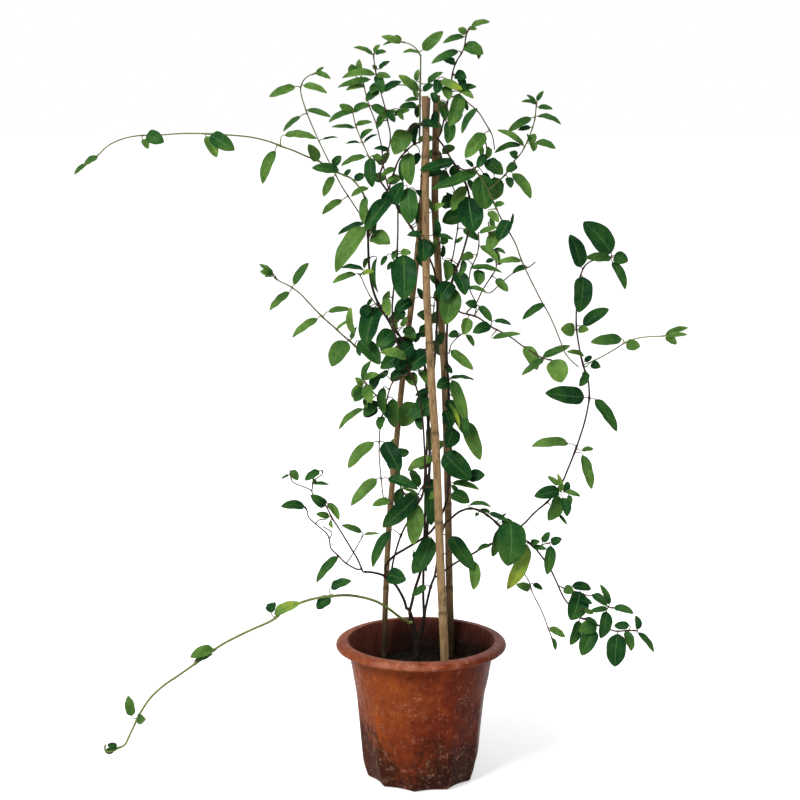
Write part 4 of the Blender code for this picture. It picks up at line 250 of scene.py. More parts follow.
# Each shoot is (name, what it grows from, stems, leaves). A stem is (thickness at its start
# and at its end in millimetres, points (u, v, d)). A leaf is (u and v of its base, u and v
# of its tip, width, roll, depth, tone): roll turns its upper face up and outward in degrees,
# depth is how far its tip lies behind its stem, and tone goes from 0, a dark green, to 1, a
# yellow green.
SHOOTS = [
    ("cane_middle", "crown", [
        (4.6, 3.4, [(-1.6, 24.7, 0.3), (-1.3, 26.5, 0.3), (-0.9, 28.3, 0.4), (-0.2, 30.6, 0.6),
         (0.5, 33.5, 0.6), (0.9, 38, 0.6), (1, 43, 0.8), (1.2, 48, 1), (0.9, 54, 1.2),
         (0.6, 60, 1), (0.2, 62.2, 0.8), (-1, 63.6, 0.8), (-2.6, 65, 0.9), (-4.2, 67.2, 0.8),
         (-5.9, 69.8, 0.4), (-6.9, 72.2, 0), (-7.4, 74.8, -0.3), (-7.6, 78, -0.5),
         (-7.6, 81.2, -0.5)]),
    ], [
        (1.5, 36, -1.2, 30.6, 2.7, 15, -2, 0.2), (-1.1, 33.9, 0.8, 31, 1.6, 20, -3, 0.3),
        (1.3, 44.8, 1.4, 37.9, 2.4, 15, 1, 0.12), (1.8, 47.8, -2, 46, 1.6, 40, -1, 0.65),
        (1, 52.6, 1.2, 48.8, 1.3, 10, 2, 0.7), (1.7, 56.3, -1.4, 53.9, 2.7, 25, -2, 0.2),
        (-0.8, 55.9, -2.9, 52.6, 2.9, 15, -0.5, 0.5), (-0.4, 54.2, 0, 52, 1.3, 20, -1.5, 0.15),
        (1, 57.9, -0.9, 57, 0.9, 40, -1, 0.12), (-1.9, 60.2, -0.8, 58.5, 1.9, 15, -1.5, 0.45),
        (-0.4, 60.6, 1.3, 58, 1.4, 30, -1, 0.6), (0.8, 63.2, -2.6, 60.9, 2.6, 25, -1.2, 0.08),
        (-1.2, 64.4, -5.9, 61, 2.6, 25, -1.5, 0.08), (-4, 66.4, -6.4, 64.1, 2.3, 20, -2, 0.25),
        (-3.9, 68.2, -3.4, 66.6, 1, 20, -2, 0.45), (-2.5, 66.8, -0.9, 65.4, 1.6, 25, -1.5, 0.4),
        (-6.6, 69.9, -8, 64.2, 3, 15, -2, 0.15), (-7.7, 76.9, -8.2, 75.4, 0.9, 30, -1, 0.45),
        (-7.2, 80, -4.5, 78.9, 2.4, 25, -2, 0.6), (-8.2, 81.3, -12.2, 74.9, 3, 35, -2.5, 0.55),
        (-8.2, 81.8, -11.9, 80.2, 1.3, 50, 1, 0.1), (-6.4, 76.9, -6.2, 71.9, 1, 45, -0.5, 0.35),
        (-6.8, 80.3, -6.4, 82.3, 0.8, 15, -0.6, 0.4), (-7.2, 70, -8.7, 68.6, 1.6, 15, 0.8, 0.05),
        (-1.3, 64.6, -3.9, 65.1, 1.5, 15, 1.2, 0.05), (0.6, 57.6, -0.6, 55.6, 1.3, 10, 1, 0.1),
    ]),
    ("cane_left", "cane_middle", [
        (4.2, 3.4, [(-1.6, 25.2, 0.3), (-2.6, 26.9, 0), (-3.8, 29, -0.5), (-4.6, 29.3, -0.6),
         (-5.4, 30.3, -0.9), (-7, 30.8, -1.2), (-8.2, 30.9, -1.5)]),
    ], [
        (-4.9, 30.5, -2.2, 29.7, 2.5, 20, -2, 0.2),
    ]),
    ("cane_right", "crown", [
        (3.8, 3, [(0.5, 24.6, 0.2), (1, 27, 0), (1.5, 29, -0.2), (2, 30.4, -0.2), (2.4, 33, 0),
         (2.9, 36, 0.8), (3.4, 38, 1.6), (4.2, 38.8, 1.6), (5.5, 39.9, 1.2), (7, 40.4, 0.6),
         (8.2, 40.2, 0), (9.3, 39.6, -0.4), (10.6, 38.6, -0.6), (12, 37.2, -0.6),
         (13.6, 36.2, -0.6), (15.4, 35.5, -0.4), (16.4, 34.7, -0.2)]),
    ], [
        (0.7, 28.8, -1.4, 27.2, 1.1, 35, -1, 0.3), (4.3, 36.2, 7.7, 31.2, 2.3, 20, -2, 0.15),
        (7.5, 32.6, 7.7, 28.2, 1.7, 10, -1, 0.65), (7, 40.9, 10.2, 40.6, 0.9, 50, -1, 0.4),
        (8.3, 39.7, 7.9, 39.2, 0.6, 30, -1, 0.15), (9.9, 39.7, 12.8, 38.3, 1, 45, -1, 0.1),
        (12.9, 38.6, 12.7, 31.8, 4.1, 10, -2, 0.25), (11.2, 37.3, 10.4, 33.2, 1.7, 20, 1, 0.55),
        (15.4, 35, 12.6, 28.3, 2.5, 15, -1, 0.95), (16, 35.3, 17.3, 35.5, 1, 20, -1, 0.35),
        (16.3, 34.6, 18.3, 34.3, 0.9, 40, -1, 0.3), (8.4, 40.1, 10, 39.9, 0.7, 25, 0.5, 0.15),
        (11.6, 39, 12.4, 39.7, 0.4, 20, -0.4, 0.05), (11.7, 38.4, 13.2, 38.6, 0.9, 20, -0.8, 0.08),
    ]),
    ("branch_low_right", "cane_right", [
        (2.8, 2, [(16.4, 34.7, -0.2), (18.2, 32.4, 0), (19.1, 30.9, 0), (19.9, 29.2, 0),
         (20.5, 27.8, 0), (21.3, 26.4, 0), (22.6, 25, 0), (23.3, 24, 0.2), (24.5, 23.6, 0.3),
         (25.8, 22.9, 0.3), (27.4, 22.3, 0.3), (28.7, 21.9, 0.3), (30.2, 22, 0.3),
         (31.8, 22, 0.3)]),
        (1.8, 1.6, [(20.1, 28.8, 0), (21.5, 28.2, 0.6), (23.2, 27.8, 0.8), (24.4, 27.3, 0.8),
         (25.3, 27.2, 0.8), (27.3, 25.7, 0.6), (28.2, 25.4, 0.6)]),
        (1.6, 1.5, [(16.6, 34.4, -0.1), (17.4, 34.9, 0.4), (18.4, 35.2, 0.6), (18.8, 35.3, 0.6)]),
    ], [
        (17.7, 35.4, 18.7, 36.9, 1.1, 20, 0, 0.3), (18.9, 35.3, 20.5, 35.9, 1.2, 20, -1, 0.2),
        (18.9, 34.8, 18.4, 30.5, 1.8, 20, -1.5, 0.25), (20.9, 28.4, 22.4, 27.8, 1.4, 20, -1, 0.6),
        (22.1, 28.8, 24.9, 28.3, 1.4, 30, 1, 0.15), (23.3, 27.9, 22, 23.6, 3.1, 10, -2, 0.25),
        (23.2, 26.7, 25.1, 26.1, 1.1, 30, -1.5, 0.15),
        (25.2, 27.5, 27.3, 25.8, 1.2, 20, -1.5, 0.2), (27.6, 26, 26.2, 29, 1.1, 30, 0, 0.3),
        (27.3, 25.4, 24.7, 24.9, 0.9, 40, -1, 0.35), (28.3, 25.5, 31.2, 24.6, 1.2, 40, -1, 0.3),
        (23.9, 25.2, 25.3, 24.6, 0.8, 30, -1, 0.6), (27.2, 24.9, 26.4, 20.8, 1.9, 15, -1.5, 0.25),
        (23.2, 23.5, 22, 19.8, 1.7, 20, -1, 0.3), (25.8, 22.7, 23.1, 22, 2, 20, -1, 0.45),
        (24.1, 23.9, 26, 22.6, 0.9, 40, -1, 0.1), (25.4, 22.2, 23.7, 18.2, 2.4, 15, -1.5, 0.25),
        (28.9, 21.5, 28.6, 16.5, 2.8, 5, -1, 0.2), (30.1, 21.9, 31, 18.9, 1.6, 20, -1, 0.55),
        (30.6, 22.8, 28.4, 22.7, 1.2, 20, 1, 0.2), (31.9, 22.2, 31.5, 24.3, 1.1, 20, 0, 0.2),
        (31.9, 21.7, 34.3, 18.7, 1, 35, -1, 0.3),
    ]),
    ("branch_tall_right", "cane_right", [
        (3.2, 2.3, [(2, 30.2, -0.2), (2.8, 30.7, 0.3), (3.6, 31.2, 0.6), (4.5, 31.9, 0.8),
         (5.6, 32.6, 1), (7.3, 33.5, 1), (8.6, 34.3, 1), (10, 35, 1), (11.4, 35.8, 1),
         (13, 36.8, 1), (14.8, 38, 0.8), (16.6, 39.9, 0.6), (18.7, 41.8, 0.4), (20.4, 44.3, 0.2),
         (21.2, 46.2, 0), (22.1, 48.6, 0), (22.9, 51, 0), (23.6, 53.5, 0), (24.1, 56.3, 0),
         (24.1, 57.8, 0), (23.9, 59.5, 0), (23.3, 61.1, 0), (22.8, 63, 0), (22.3, 65.6, 0),
         (22.1, 67.3, 0.2), (22.1, 70, 0.6), (22.3, 73, 0.6), (22.8, 75, 0.4), (23.3, 75.9, 0.2),
         (24.2, 76.5, 0), (25.6, 76.9, -0.2), (27.1, 77, -0.3)]),
    ], [
        (10, 34.9, 8.2, 34.2, 0.8, 40, -1, 0.5), (20.3, 42.9, 19.7, 45.6, 1, 30, -1, 0.75),
        (19.9, 43.9, 18.3, 45.2, 0.9, 30, 0.5, 0.7), (20, 43, 16.4, 42.2, 2, 25, -1.5, 0.12),
        (20.7, 42.8, 21.3, 44.4, 1.3, 20, 1, 0.15), (20.9, 43, 23.1, 42.2, 0.9, 40, -1, 0.6),
        (20, 42.2, 18.5, 38.6, 2.2, 15, -1, 0.6), (20.5, 42, 21.2, 39.2, 1.5, 15, -2, 0.15),
        (21.4, 42.4, 21.6, 40.8, 0.9, 20, 0, 0.45), (19.9, 39.6, 21.2, 38, 0.6, 30, 0, 0.2),
        (21.2, 50, 15.9, 49.6, 1.9, 48, -1, 0.65), (23.3, 48.3, 24.7, 43.3, 1.8, 20, -1, 0.6),
        (23.2, 49, 24.9, 49.2, 0.8, 40, 0.5, 0.6), (23.4, 56.8, 17.8, 57.4, 2.8, 25, -2, 0.12),
        (25, 56.5, 28.2, 51.8, 1.9, 25, -1.5, 0.35), (23.6, 60.6, 22.7, 58.4, 1.6, 20, -1, 0.35),
        (24.4, 61.8, 25.7, 61.2, 1.4, 10, -1, 0.15), (23.4, 62, 24.4, 62.8, 0.9, 20, 1, 0.15),
        (23.2, 62.9, 20.8, 63.4, 1, 40, -1, 0.6), (21.9, 66.6, 19.9, 66.7, 2, 10, -1, 0.8),
        (22.4, 66.6, 23.9, 66.6, 1.3, 30, -1, 0.8), (23.1, 67.3, 26.7, 69.6, 1.9, 25, 1, 0.12),
        (22.9, 74.2, 22.4, 69.1, 2.9, 5, -2, 0.15), (22.6, 75.6, 21, 80.2, 2.5, 15, 0.5, 0.12),
        (26.9, 77.6, 22.9, 82, 3.3, 15, 0.5, 0.2), (26.8, 76.9, 23.2, 76.9, 1.7, 30, -2, 0.4),
        (27.3, 77.2, 29.3, 76.4, 1.9, 15, -1, 0.25), (27.1, 76.3, 29, 72.4, 1.5, 20, -1, 0.35),
    ]),
    ("tendril_right", "branch_tall_right", [
        (1.8, 1.6, [(23.3, 61.2, 0), (24.2, 61.9, 0.3), (25.4, 62.5, 0.4), (26.7, 63.2, 0.3),
         (28, 64, 0.1), (29.2, 64.8, 0), (30.5, 65.3, 0), (32.4, 65.6, 0), (34.8, 65.7, 0)]),
    ], [
        (28.6, 65.3, 24.2, 64.8, 1.8, 35, -1, 0.4), (29.3, 64.6, 31.3, 64.2, 1.6, 15, -1, 0.55),
        (34.9, 65.8, 38.1, 66.9, 1, 30, 0.5, 0.6), (35, 65.7, 36.5, 64.5, 1.2, 20, -1, 0.6),
        (35.1, 65.7, 38, 65.9, 0.8, 40, -1, 0.65),
    ]),
    ("cane_back", "crown", [
        (4, 2.8, [(-0.1, 21.6, 0.5), (0.4, 23.4, 1.6), (0.3, 28, 2.4), (0.4, 34, 3),
         (0.6, 42, 3.4), (0.8, 50, 3), (1.5, 58, 1.7), (2, 64, 0.7), (2.2, 70, 0.3),
         (1.9, 74.5, 0.4), (1.1, 76.8, 0.4), (0, 79, 0.3), (-1, 80.5, 0.2), (-2.6, 82.8, 0),
         (-4, 85, -0.2), (-5.2, 86.8, -0.4), (-6, 88.2, -0.5), (-5.5, 90, -0.5),
         (-4.9, 91.7, -0.5)]),
    ], [
        (-4.9, 85.2, -8, 80.7, 2.4, 25, -2, 0.15), (-4.2, 84.6, -2.6, 87.6, 2.2, 20, -2, 0.1),
        (-2, 86.8, -1.6, 81.8, 2.6, 15, -2, 0.3), (-0.9, 86.5, 1.6, 83.4, 1.2, 45, -2, 0.35),
        (1.2, 79.3, 0.1, 76.6, 1.9, 20, -2, 0.2), (0.9, 80.1, -1.8, 80, 0.9, 40, -1, 0.15),
        (2, 80.1, 4.5, 79.5, 0.9, 40, -1, 0.15), (3, 78.8, 3.2, 80.4, 1.3, 20, -1, 0.4),
        (1.6, 83.6, 3.2, 84.6, 1, 25, -1, 0.7), (2.1, 80, 1.9, 82.6, 1.2, 15, -1, 0.1),
        (-1.4, 70.9, -3.9, 69.2, 2, 20, -1, 0.08), (-0.7, 81.7, -0.4, 84.8, 0.6, 15, 0.4, 0.1),
        (1.7, 78.2, 1.9, 79.8, 0.8, 15, -0.6, 0.5), (2.4, 73.1, 1.2, 74.5, 1, 15, 0.7, 0.2),
        (-0.7, 77.4, 0.4, 75.6, 1, 10, 0.8, 0.08), (2.9, 66.2, 2, 64.3, 1.2, 10, 0.8, 0.2),
    ]),
    ("cane_crossing", "cane_left", [
        (3.8, 2.8, [(-5.3, 30.5, -0.9), (-5.2, 31.8, -0.9), (-4, 33.3, -0.7), (-2.6, 34.2, -0.5),
         (-0.8, 35.3, -0.5), (0.7, 36.3, -0.5), (1.9, 37.6, 0.2), (3, 39.6, 1.4), (3.8, 42, 2.4),
         (3.9, 44, 2.2), (4.3, 48, 2.2), (4, 53, 2), (3.9, 58, 1.6), (3.6, 63, 0.8),
         (3.7, 68, 0.3), (4.3, 73.5, 0), (5.1, 75.8, 0), (5.6, 77, 0), (6.2, 79, 0),
         (6.6, 80.8, 0.2), (6.8, 83.5, 0.8), (6.5, 86.5, 1), (5.2, 89.3, 0.6), (4.3, 90.5, 0.2),
         (3.2, 92.4, -0.3), (2.3, 93.6, -0.4)]),
    ], [
        (4.4, 42.6, 7, 41.3, 2, 20, -1, 0.3), (4.5, 44.2, 8.4, 43.2, 1.2, 50, -1, 0.4),
        (6.9, 45, 9.2, 45.4, 1.8, 20, -1, 0.08), (3.3, 48.6, 7.2, 44.8, 3.2, 15, -2, 0.15),
        (4.6, 52.3, 3.6, 49.4, 2.6, 15, -2, 0.08), (3.4, 54.9, 4.2, 52.2, 2, 20, -1, 0.12),
        (3.7, 56.4, 6.6, 51, 2.4, 20, -3, 0.2), (3.4, 56.2, 5.4, 52.2, 0.9, 50, -3.4, 0.8),
        (6.4, 53.2, 8.5, 47.6, 2.3, 25, -2, 0.5), (3.9, 59.3, 2.2, 58.2, 1.9, 20, -1, 0.12),
        (4, 59.6, 7.6, 59.3, 0.9, 60, -1, 0.15), (4.4, 59.3, 6.5, 53.2, 1.9, 25, -2, 0.55),
        (4.3, 57.2, 5.3, 56.6, 0.8, 30, -1, 0.15), (4, 72.8, 3.4, 67.4, 3.2, 10, -2, 0.5),
        (4.2, 73.4, 2.6, 70.6, 2.4, 15, -2, 0.1), (4.9, 74.8, 6.2, 71.6, 2.2, 15, -2, 0.1),
        (3.4, 76.6, 3.6, 73.6, 1.6, 20, 0, 0.55), (6.6, 85.4, 7.4, 80.6, 3.6, 10, -2, 0.06),
        (6.1, 87, 4.3, 83.6, 1.7, 20, 0, 0.6), (7.8, 89.2, 1.4, 86.6, 1.8, 30, -2, 0.4),
        (4.4, 90.6, -0.3, 89.3, 1.7, 30, -2, 0.08), (2.8, 89.2, -0.3, 88.4, 1.1, 25, -1.6, 0.05),
        (6.5, 88, 7.1, 86.4, 0.9, 15, 0.7, 0.05), (4.4, 72.6, 5.2, 70.1, 1.2, 10, 0.8, 0.35),
        (3.3, 47.8, 5.7, 45.3, 1.6, 25, 0.5, 0.02), (5, 45.4, 7.2, 44.6, 1.1, 25, 0.6, 0.05),
        (4.4, 43.9, 5.4, 42.6, 0.8, 15, 0.5, 0.3), (3.4, 61.6, 4.4, 60.3, 0.9, 20, 0.6, 0.12),
    ]),
    ("cane_slender", "cane_left", [
        (3, 2.4, [(-4.5, 29.5, -0.6), (-4.3, 31.2, -0.9), (-3.9, 33.3, -1.3), (-3.1, 36, -1.6),
         (-2.3, 37.8, -1.6), (-1.3, 39.5, -1.4), (-0.6, 41, -1), (0.2, 42.6, -0.8),
         (0.5, 46, -0.8), (0.4, 50, -1), (0, 55, -1), (-1, 59, -1), (-2.4, 62, -1),
         (-3.6, 65, -1.2), (-4.1, 67.5, -1.2), (-4.2, 70, -1.2), (-4, 72.5, -1), (-3.7, 75, -0.8),
         (-3.5, 78, -0.6), (-3.4, 81, -0.6), (-3.4, 82.6, -0.6), (-3.4, 84.8, -0.6),
         (-3.4, 86.6, -0.6)]),
    ], [
        (-0.8, 42.1, -5.6, 37.6, 2.7, 25, -2, 0.15), (-0.9, 41.2, -1.2, 35, 2.4, 5, -2, 0.6),
        (-4.6, 37, -7.1, 31.6, 1.6, 30, -1, 0.3), (-0.5, 42.5, -3.1, 43.5, 0.8, 60, -1, 0.8),
        (1.9, 43.3, 1.2, 41.8, 0.9, 20, 0, 0.7), (-2.2, 62.5, -5.9, 63.3, 1.6, 40, -2.5, 0.65),
        (-2.6, 62.6, -3.7, 60.8, 2, 20, 1, 0.15), (-5, 71.2, -4.6, 68.6, 1.5, 10, -1, 0.7),
        (-2.6, 77.3, -2.5, 70.9, 3.5, 5, -2, 0.15), (-3, 77.8, -1.5, 77.6, 1, 20, -1, 0.65),
        (-3.8, 77.9, -4.1, 76.6, 0.8, 20, -1, 0.5), (-4, 76.3, -4.9, 75.2, 0.8, 15, -0.5, 0.05),
        (-5, 77.2, -5.8, 75.8, 0.8, 15, -0.6, 0.3), (-3.1, 68.1, -2.4, 69.3, 0.9, 15, 0.6, 0.1),
        (-2.9, 67.1, -2.1, 68.5, 0.8, 15, -0.5, 0.4), (-1.9, 61.1, -3.6, 60.1, 1.4, 20, 0.7, 0.03),
        (-2.8, 60.6, -4.4, 59.3, 1.7, 15, 0.6, 0.03),
    ]),
    ("shoot_hanging_left", "cane_slender", [
        (2, 1.6, [(-1.7, 60.4, -1), (-3, 59.9, -0.9), (-4, 59.2, -0.8), (-4.6, 58, -0.4),
         (-5.1, 56, 0), (-5.7, 54, 0.3), (-6, 52, 0.5), (-6.1, 50, 0.5), (-6.1, 48, 0.5),
         (-5.9, 45.5, 0.3), (-5.7, 43.5, 0), (-5.5, 42, 0), (-5.2, 41.4, 0)]),
        (1.6, 1.4, [(-5.1, 56.4, 0), (-6.4, 57, -0.2), (-7.7, 58.5, -0.4), (-8.3, 59.3, -0.5)]),
    ], [
        (-6.9, 50.2, -10.6, 46.4, 1.9, 40, -1.5, 0.65), (-5.4, 50.2, -3.1, 46, 2.5, 10, -2, 0.1),
        (-6.5, 44.8, -10.2, 40.8, 1.9, 40, -1.5, 0.65), (-4.8, 44.9, -0.5, 43.2, 1.8, 45, -2, 0.1),
        (-4.6, 41.6, -7.1, 40.8, 1.4, 45, -2, 0.55), (-8.4, 55.1, -11.9, 52.1, 1.4, 50, -1, 0.6),
        (-8.2, 58, -9.7, 56.2, 1.8, 20, -1.5, 0.35), (-8.5, 58.4, -9.5, 59.7, 1, 30, -1, 0.8),
        (-7.9, 58.6, -7.2, 56, 1.9, 20, -1.5, 0.6), (-8.3, 59.2, -7.3, 62.1, 1.2, 40, 1, 0.45),
        (-8.3, 59.5, -6.2, 60.2, 1.1, 40, -1, 0.6), (-6, 60.2, -7, 57.9, 1.6, 30, 1, 0.1),
        (-5.5, 58.2, -5.4, 54.4, 1.5, 20, -2, 0.25), (-6.4, 56.2, -8.3, 54, 1.7, 30, -1, 0.2),
        (-5.6, 54, -6, 52, 1.3, 20, -2, 0.3), (-4.1, 56.6, -3.9, 52.4, 1.8, 10, 1.2, 0.4),
        (-6.3, 55.1, -8.3, 54, 1.4, 20, 0.6, 0.03), (-5.3, 56, -4.6, 53.6, 1.3, 10, 0.8, 0.2),
        (-8, 56.8, -7.9, 55.2, 0.8, 15, -0.5, 0.6), (-8.6, 58.5, -10, 56.8, 1.5, 15, 0.7, 0.55),
    ]),
    ("shoot_long_left", "cane_slender", [
        (3, 1.8, [(-2.2, 61.6, -1), (-4, 61.5, -1.4), (-5.8, 61.9, -1.2), (-7.5, 62.7, -1),
         (-8.7, 63.5, -1), (-9.8, 64.5, -1.2), (-10.3, 65, -1.3), (-11.4, 65.9, -1.5),
         (-12.2, 66.7, -1.6), (-13.8, 68.1, -1.8), (-15, 69.3, -2), (-16.3, 70.7, -2.2),
         (-17.2, 71.7, -2.4), (-18.1, 72.4, -2.5), (-19, 73, -2.6), (-20.1, 73.5, -2.8),
         (-21, 74.1, -3)]),
    ], [
        (-21.2, 74.3, -23.1, 76, 0.9, 30, -0.5, 0.5), (-21.3, 74.4, -23, 75, 1.1, 30, 0.5, 0.6),
        (-21.2, 74.6, -22.3, 74.2, 1, 40, -1, 0.45), (-18.2, 73.1, -16.1, 76.2, 1.4, 35, 1, 0.4),
        (-18.9, 72, -21.7, 69.4, 1.4, 35, -1, 0.5), (-14.9, 68.2, -18.5, 65.5, 1.5, 40, -1.5, 0.6),
        (-13.3, 69.2, -9.9, 69.4, 1.2, 50, 1, 0.6), (-9.6, 66, -10.1, 69.9, 1.2, 30, -1, 0.75),
        (-10.7, 64.9, -12.9, 61.3, 2.6, 20, -1.5, 0.6), (-10.1, 65.3, -9.3, 67, 0.9, 50, 1, 0.4),
        (-12.2, 66.6, -9.7, 68, 0.6, 50, 0.5, 0.75), (-9.1, 64.2, -8.8, 62.8, 0.8, 20, -1, 0.15),
        (-9, 65, -6, 61.6, 2.5, 20, -2, 0.2), (-4.8, 60.7, -6, 59.6, 0.9, 15, 0.5, 0.1),
    ]),
    ("shoot_small_left", "cane_middle", [
        (1.8, 1.4, [(-6.1, 70.1, 0.3), (-7.2, 71.2, -0.2), (-8, 72.7, -0.6), (-8.6, 74.1, -0.8),
         (-9, 74.7, -1)]),
    ], [
        (-9.4, 74.6, -12.7, 73.3, 1.2, 45, -1, 0.65), (-8.3, 75.2, -11.4, 75.5, 1.2, 60, -1, 0.1),
        (-8.4, 74.6, -6.8, 75, 0.8, 30, -1, 0.9), (-7.1, 71.1, -7.8, 69.9, 0.6, 15, 0.4, 0.15),
    ]),
    ("shoot_hooked", "cane_middle", [
        (2, 1.5, [(-7.6, 81.2, -0.5), (-8, 82.2, -0.6), (-8.8, 83.2, -0.8), (-10.2, 85.3, -1),
         (-11.3, 87, -1.2), (-12.3, 88.9, -1.2), (-13.9, 92.1, -1.2), (-14.8, 94, -1),
         (-15.9, 96.6, -1), (-16.6, 98.6, -1), (-17, 100.2, -1), (-16.9, 101.2, -1),
         (-16.4, 102, -1), (-15.7, 102.5, -1), (-14.9, 102.7, -1)]),
    ], [
        (-14.8, 102.8, -12.8, 102, 0.9, 30, -1, 0.6),
        (-14.8, 102.9, -13.7, 103.6, 0.5, 30, 0, 0.5),
        (-17.8, 100.9, -21.4, 99.5, 1.4, 30, -1, 0.55),
        (-16.6, 101.1, -13.3, 100, 1.2, 35, -1, 0.65), (-16.1, 97.7, -12.8, 96.7, 1, 35, -1, 0.6),
        (-17.1, 96.8, -19.5, 94.7, 0.9, 35, -1, 0.4), (-14, 93.6, -11.8, 93.9, 0.5, 50, 0, 0.12),
        (-12.5, 88.4, -13.9, 85.6, 1.3, 25, -1, 0.5),
        (-11.3, 85.1, -14.1, 83.1, 1.2, 35, -1, 0.55),
    ]),
    ("shoot_arching_far_left", "cane_middle", [
        (2.8, 1.6, [(-7.6, 80.3, -0.5), (-7.5, 82.2, 0.1), (-7.9, 84.6, 0.3), (-8.4, 86.2, 0.4),
         (-9.8, 88, 0.4), (-11, 88.6, 0.3), (-12.6, 89.3, 0.3), (-14.6, 90.6, 0),
         (-16.2, 91.2, -0.3), (-18, 92, -0.6), (-19.7, 92.6, -0.8), (-21.5, 93.3, -1),
         (-24, 93.9, -1), (-27, 94.2, -1), (-31, 94.4, -1), (-34, 94.4, -1), (-37, 94.2, -1),
         (-40, 94.1, -1), (-42.3, 93.6, -1), (-44.2, 92.7, -1), (-45.6, 91.4, -1),
         (-46.8, 90.5, -1), (-48.4, 89.2, -1)]),
    ], [
        (-29.7, 94.2, -26.4, 92.1, 2.2, 15, -1, 0.25), (-30.4, 94, -28.9, 91.1, 1.6, 15, 0, 0.8),
        (-38.7, 94.2, -36.3, 93.2, 1.9, 15, -1, 0.35), (-39.3, 93.6, -38.5, 92.3, 0.9, 15, 0, 0.6),
        (-45.7, 91.2, -47.6, 90, 1, 30, -1, 0.5), (-47.4, 90.1, -49, 88.7, 0.8, 30, 0, 0.5),
        (-20.7, 92, -22.5, 87.4, 1.6, 20, -1, 0.5), (-19.3, 94.2, -14.8, 93.7, 1.2, 35, -1, 0.55),
        (-11.8, 89.4, -15.5, 89.6, 1.6, 25, -1, 0.35), (-12.5, 90, -11.4, 91.3, 1.2, 15, 0, 0.2),
        (-14.7, 90.6, -16, 92.9, 1.5, 15, -1, 0.6), (-10.9, 88.6, -10, 89.4, 0.7, 20, 0, 0.12),
        (-7.6, 86.8, -10, 85.6, 1, 35, -1, 0.5), (-7.9, 85.5, -8.3, 81.8, 1.4, 30, -1, 0.5),
        (-9.5, 87.9, -8.1, 88.7, 1.2, 20, 0.7, 0.12),
    ]),
    ("twig_top", "cane_back", [
        (2.8, 2.2, [(-5, 86.5, -0.4), (-4.4, 87.8, -0.6), (-4.1, 88.5, -0.7), (-3.4, 90.5, -0.7),
         (-2.4, 91.8, -0.6), (-1.3, 92.8, -0.4), (-0.4, 93.2, -0.2)]),
        (2.2, 1.8, [(-2.4, 91.8, -0.6), (-2, 94, -0.4), (-1.7, 95, -0.3), (-0.9, 95.5, -0.2)]),
    ], [
        (-1.9, 91.7, -1.6, 87.2, 2.1, 15, -2, 0.45), (-3.9, 89.6, -5.7, 88.5, 1, 35, -1, 0.4),
        (-3.6, 88.4, -4.9, 87.4, 0.8, 35, -1, 0.6), (-2.2, 94.8, -3.9, 91.5, 2.7, 10, -2, 0.5),
        (-0.2, 95.8, 2.6, 95.3, 1.3, 20, -3, 0.08), (-0.7, 95.4, -1, 92.7, 1, 20, 1, 0.1),
        (-0.5, 95.8, -2, 94.3, 1.3, 15, 0.6, 0.02), (-2.7, 91, -2.7, 87.6, 0.9, 10, 0.9, 0.2),
        (-0.4, 91.7, -1.2, 90, 1.1, 10, 0.6, 0.08),
    ]),
    ("shoot_leader", "twig_top", [
        (2.8, 2.2, [(-0.4, 93.3, -0.2), (-0.35, 94, -0.3), (-0.3, 96, -0.4), (-0.3, 99, -0.4),
         (-0.25, 102, -0.3), (-0.2, 105.2, -0.2)]),
        (1.6, 1.4, [(-0.2, 105.1, -0.2), (-0.8, 106.1, -0.3), (-1.6, 106.7, -0.4),
         (-2.8, 107.1, -0.5)]),
        (1.6, 1.4, [(-0.3, 99.6, -0.4), (-1.1, 100.7, -0.5), (-2.3, 101.1, -0.6),
         (-3.8, 101.1, -0.7), (-5, 100.5, -0.8)]),
    ], [
        (0.1, 106, 2.9, 108.5, 1.6, 15, -1, 0.65), (-0.4, 105.5, -2.7, 105.6, 0.9, 55, -1, 0.45),
        (-2.9, 107.1, -5.7, 107.8, 1.1, 20, -1, 0.6), (-3, 107.1, -3.8, 108, 0.8, 20, 0, 0.45),
        (-3, 107, -5.5, 106.6, 0.6, 50, -1, 0.3), (-0.5, 100.4, -3.3, 102.5, 1.4, 25, -1, 0.6),
        (-0.8, 101.7, -0.5, 103.3, 0.8, 15, 0, 0.65), (0.8, 101.4, 2.9, 102.9, 1, 30, -1, 0.35),
        (-0.7, 98.2, -3.2, 98, 1.1, 30, -1, 0.15), (-0.5, 99.2, -2.4, 98.9, 0.7, 35, -1, 0.3),
        (0.1, 100.4, 1.6, 101.2, 0.9, 20, -1, 0.15), (-5.4, 100.3, -2.9, 101.6, 1.3, 30, -1, 0.15),
        (-0.5, 98.4, -0.7, 96.6, 0.9, 15, 0.5, 0.1), (-0.7, 99.5, -1.2, 100.6, 0.6, 20, -0.4, 0.7),
    ]),
    ("shoot_top_left_front", "cane_back", [
        (2.2, 1.6, [(-4.9, 91.7, -0.5), (-4.5, 93.2, -0.7), (-4.5, 94.6, -0.9), (-4.8, 96, -1),
         (-5.2, 98, -1.2), (-5.7, 99.8, -1.4), (-6.2, 101.5, -1.5), (-6.5, 103, -1.5),
         (-6.7, 104.3, -1.5), (-6.8, 105.3, -1.5)]),
    ], [
        (-6.9, 105.3, -9.6, 106.3, 0.9, 40, -1, 0.55), (-6.7, 105.6, -5.9, 106.7, 0.7, 20, 0, 0.6),
        (-6.5, 105.5, -5, 105.7, 0.8, 30, -1, 0.25), (-6, 103.4, -4.5, 104.4, 0.8, 30, -1, 0.12),
        (-6.5, 103.2, -6.9, 103.9, 0.7, 20, 0, 0.5), (-6.6, 102.6, -11.2, 102.1, 1.3, 30, -1, 0.6),
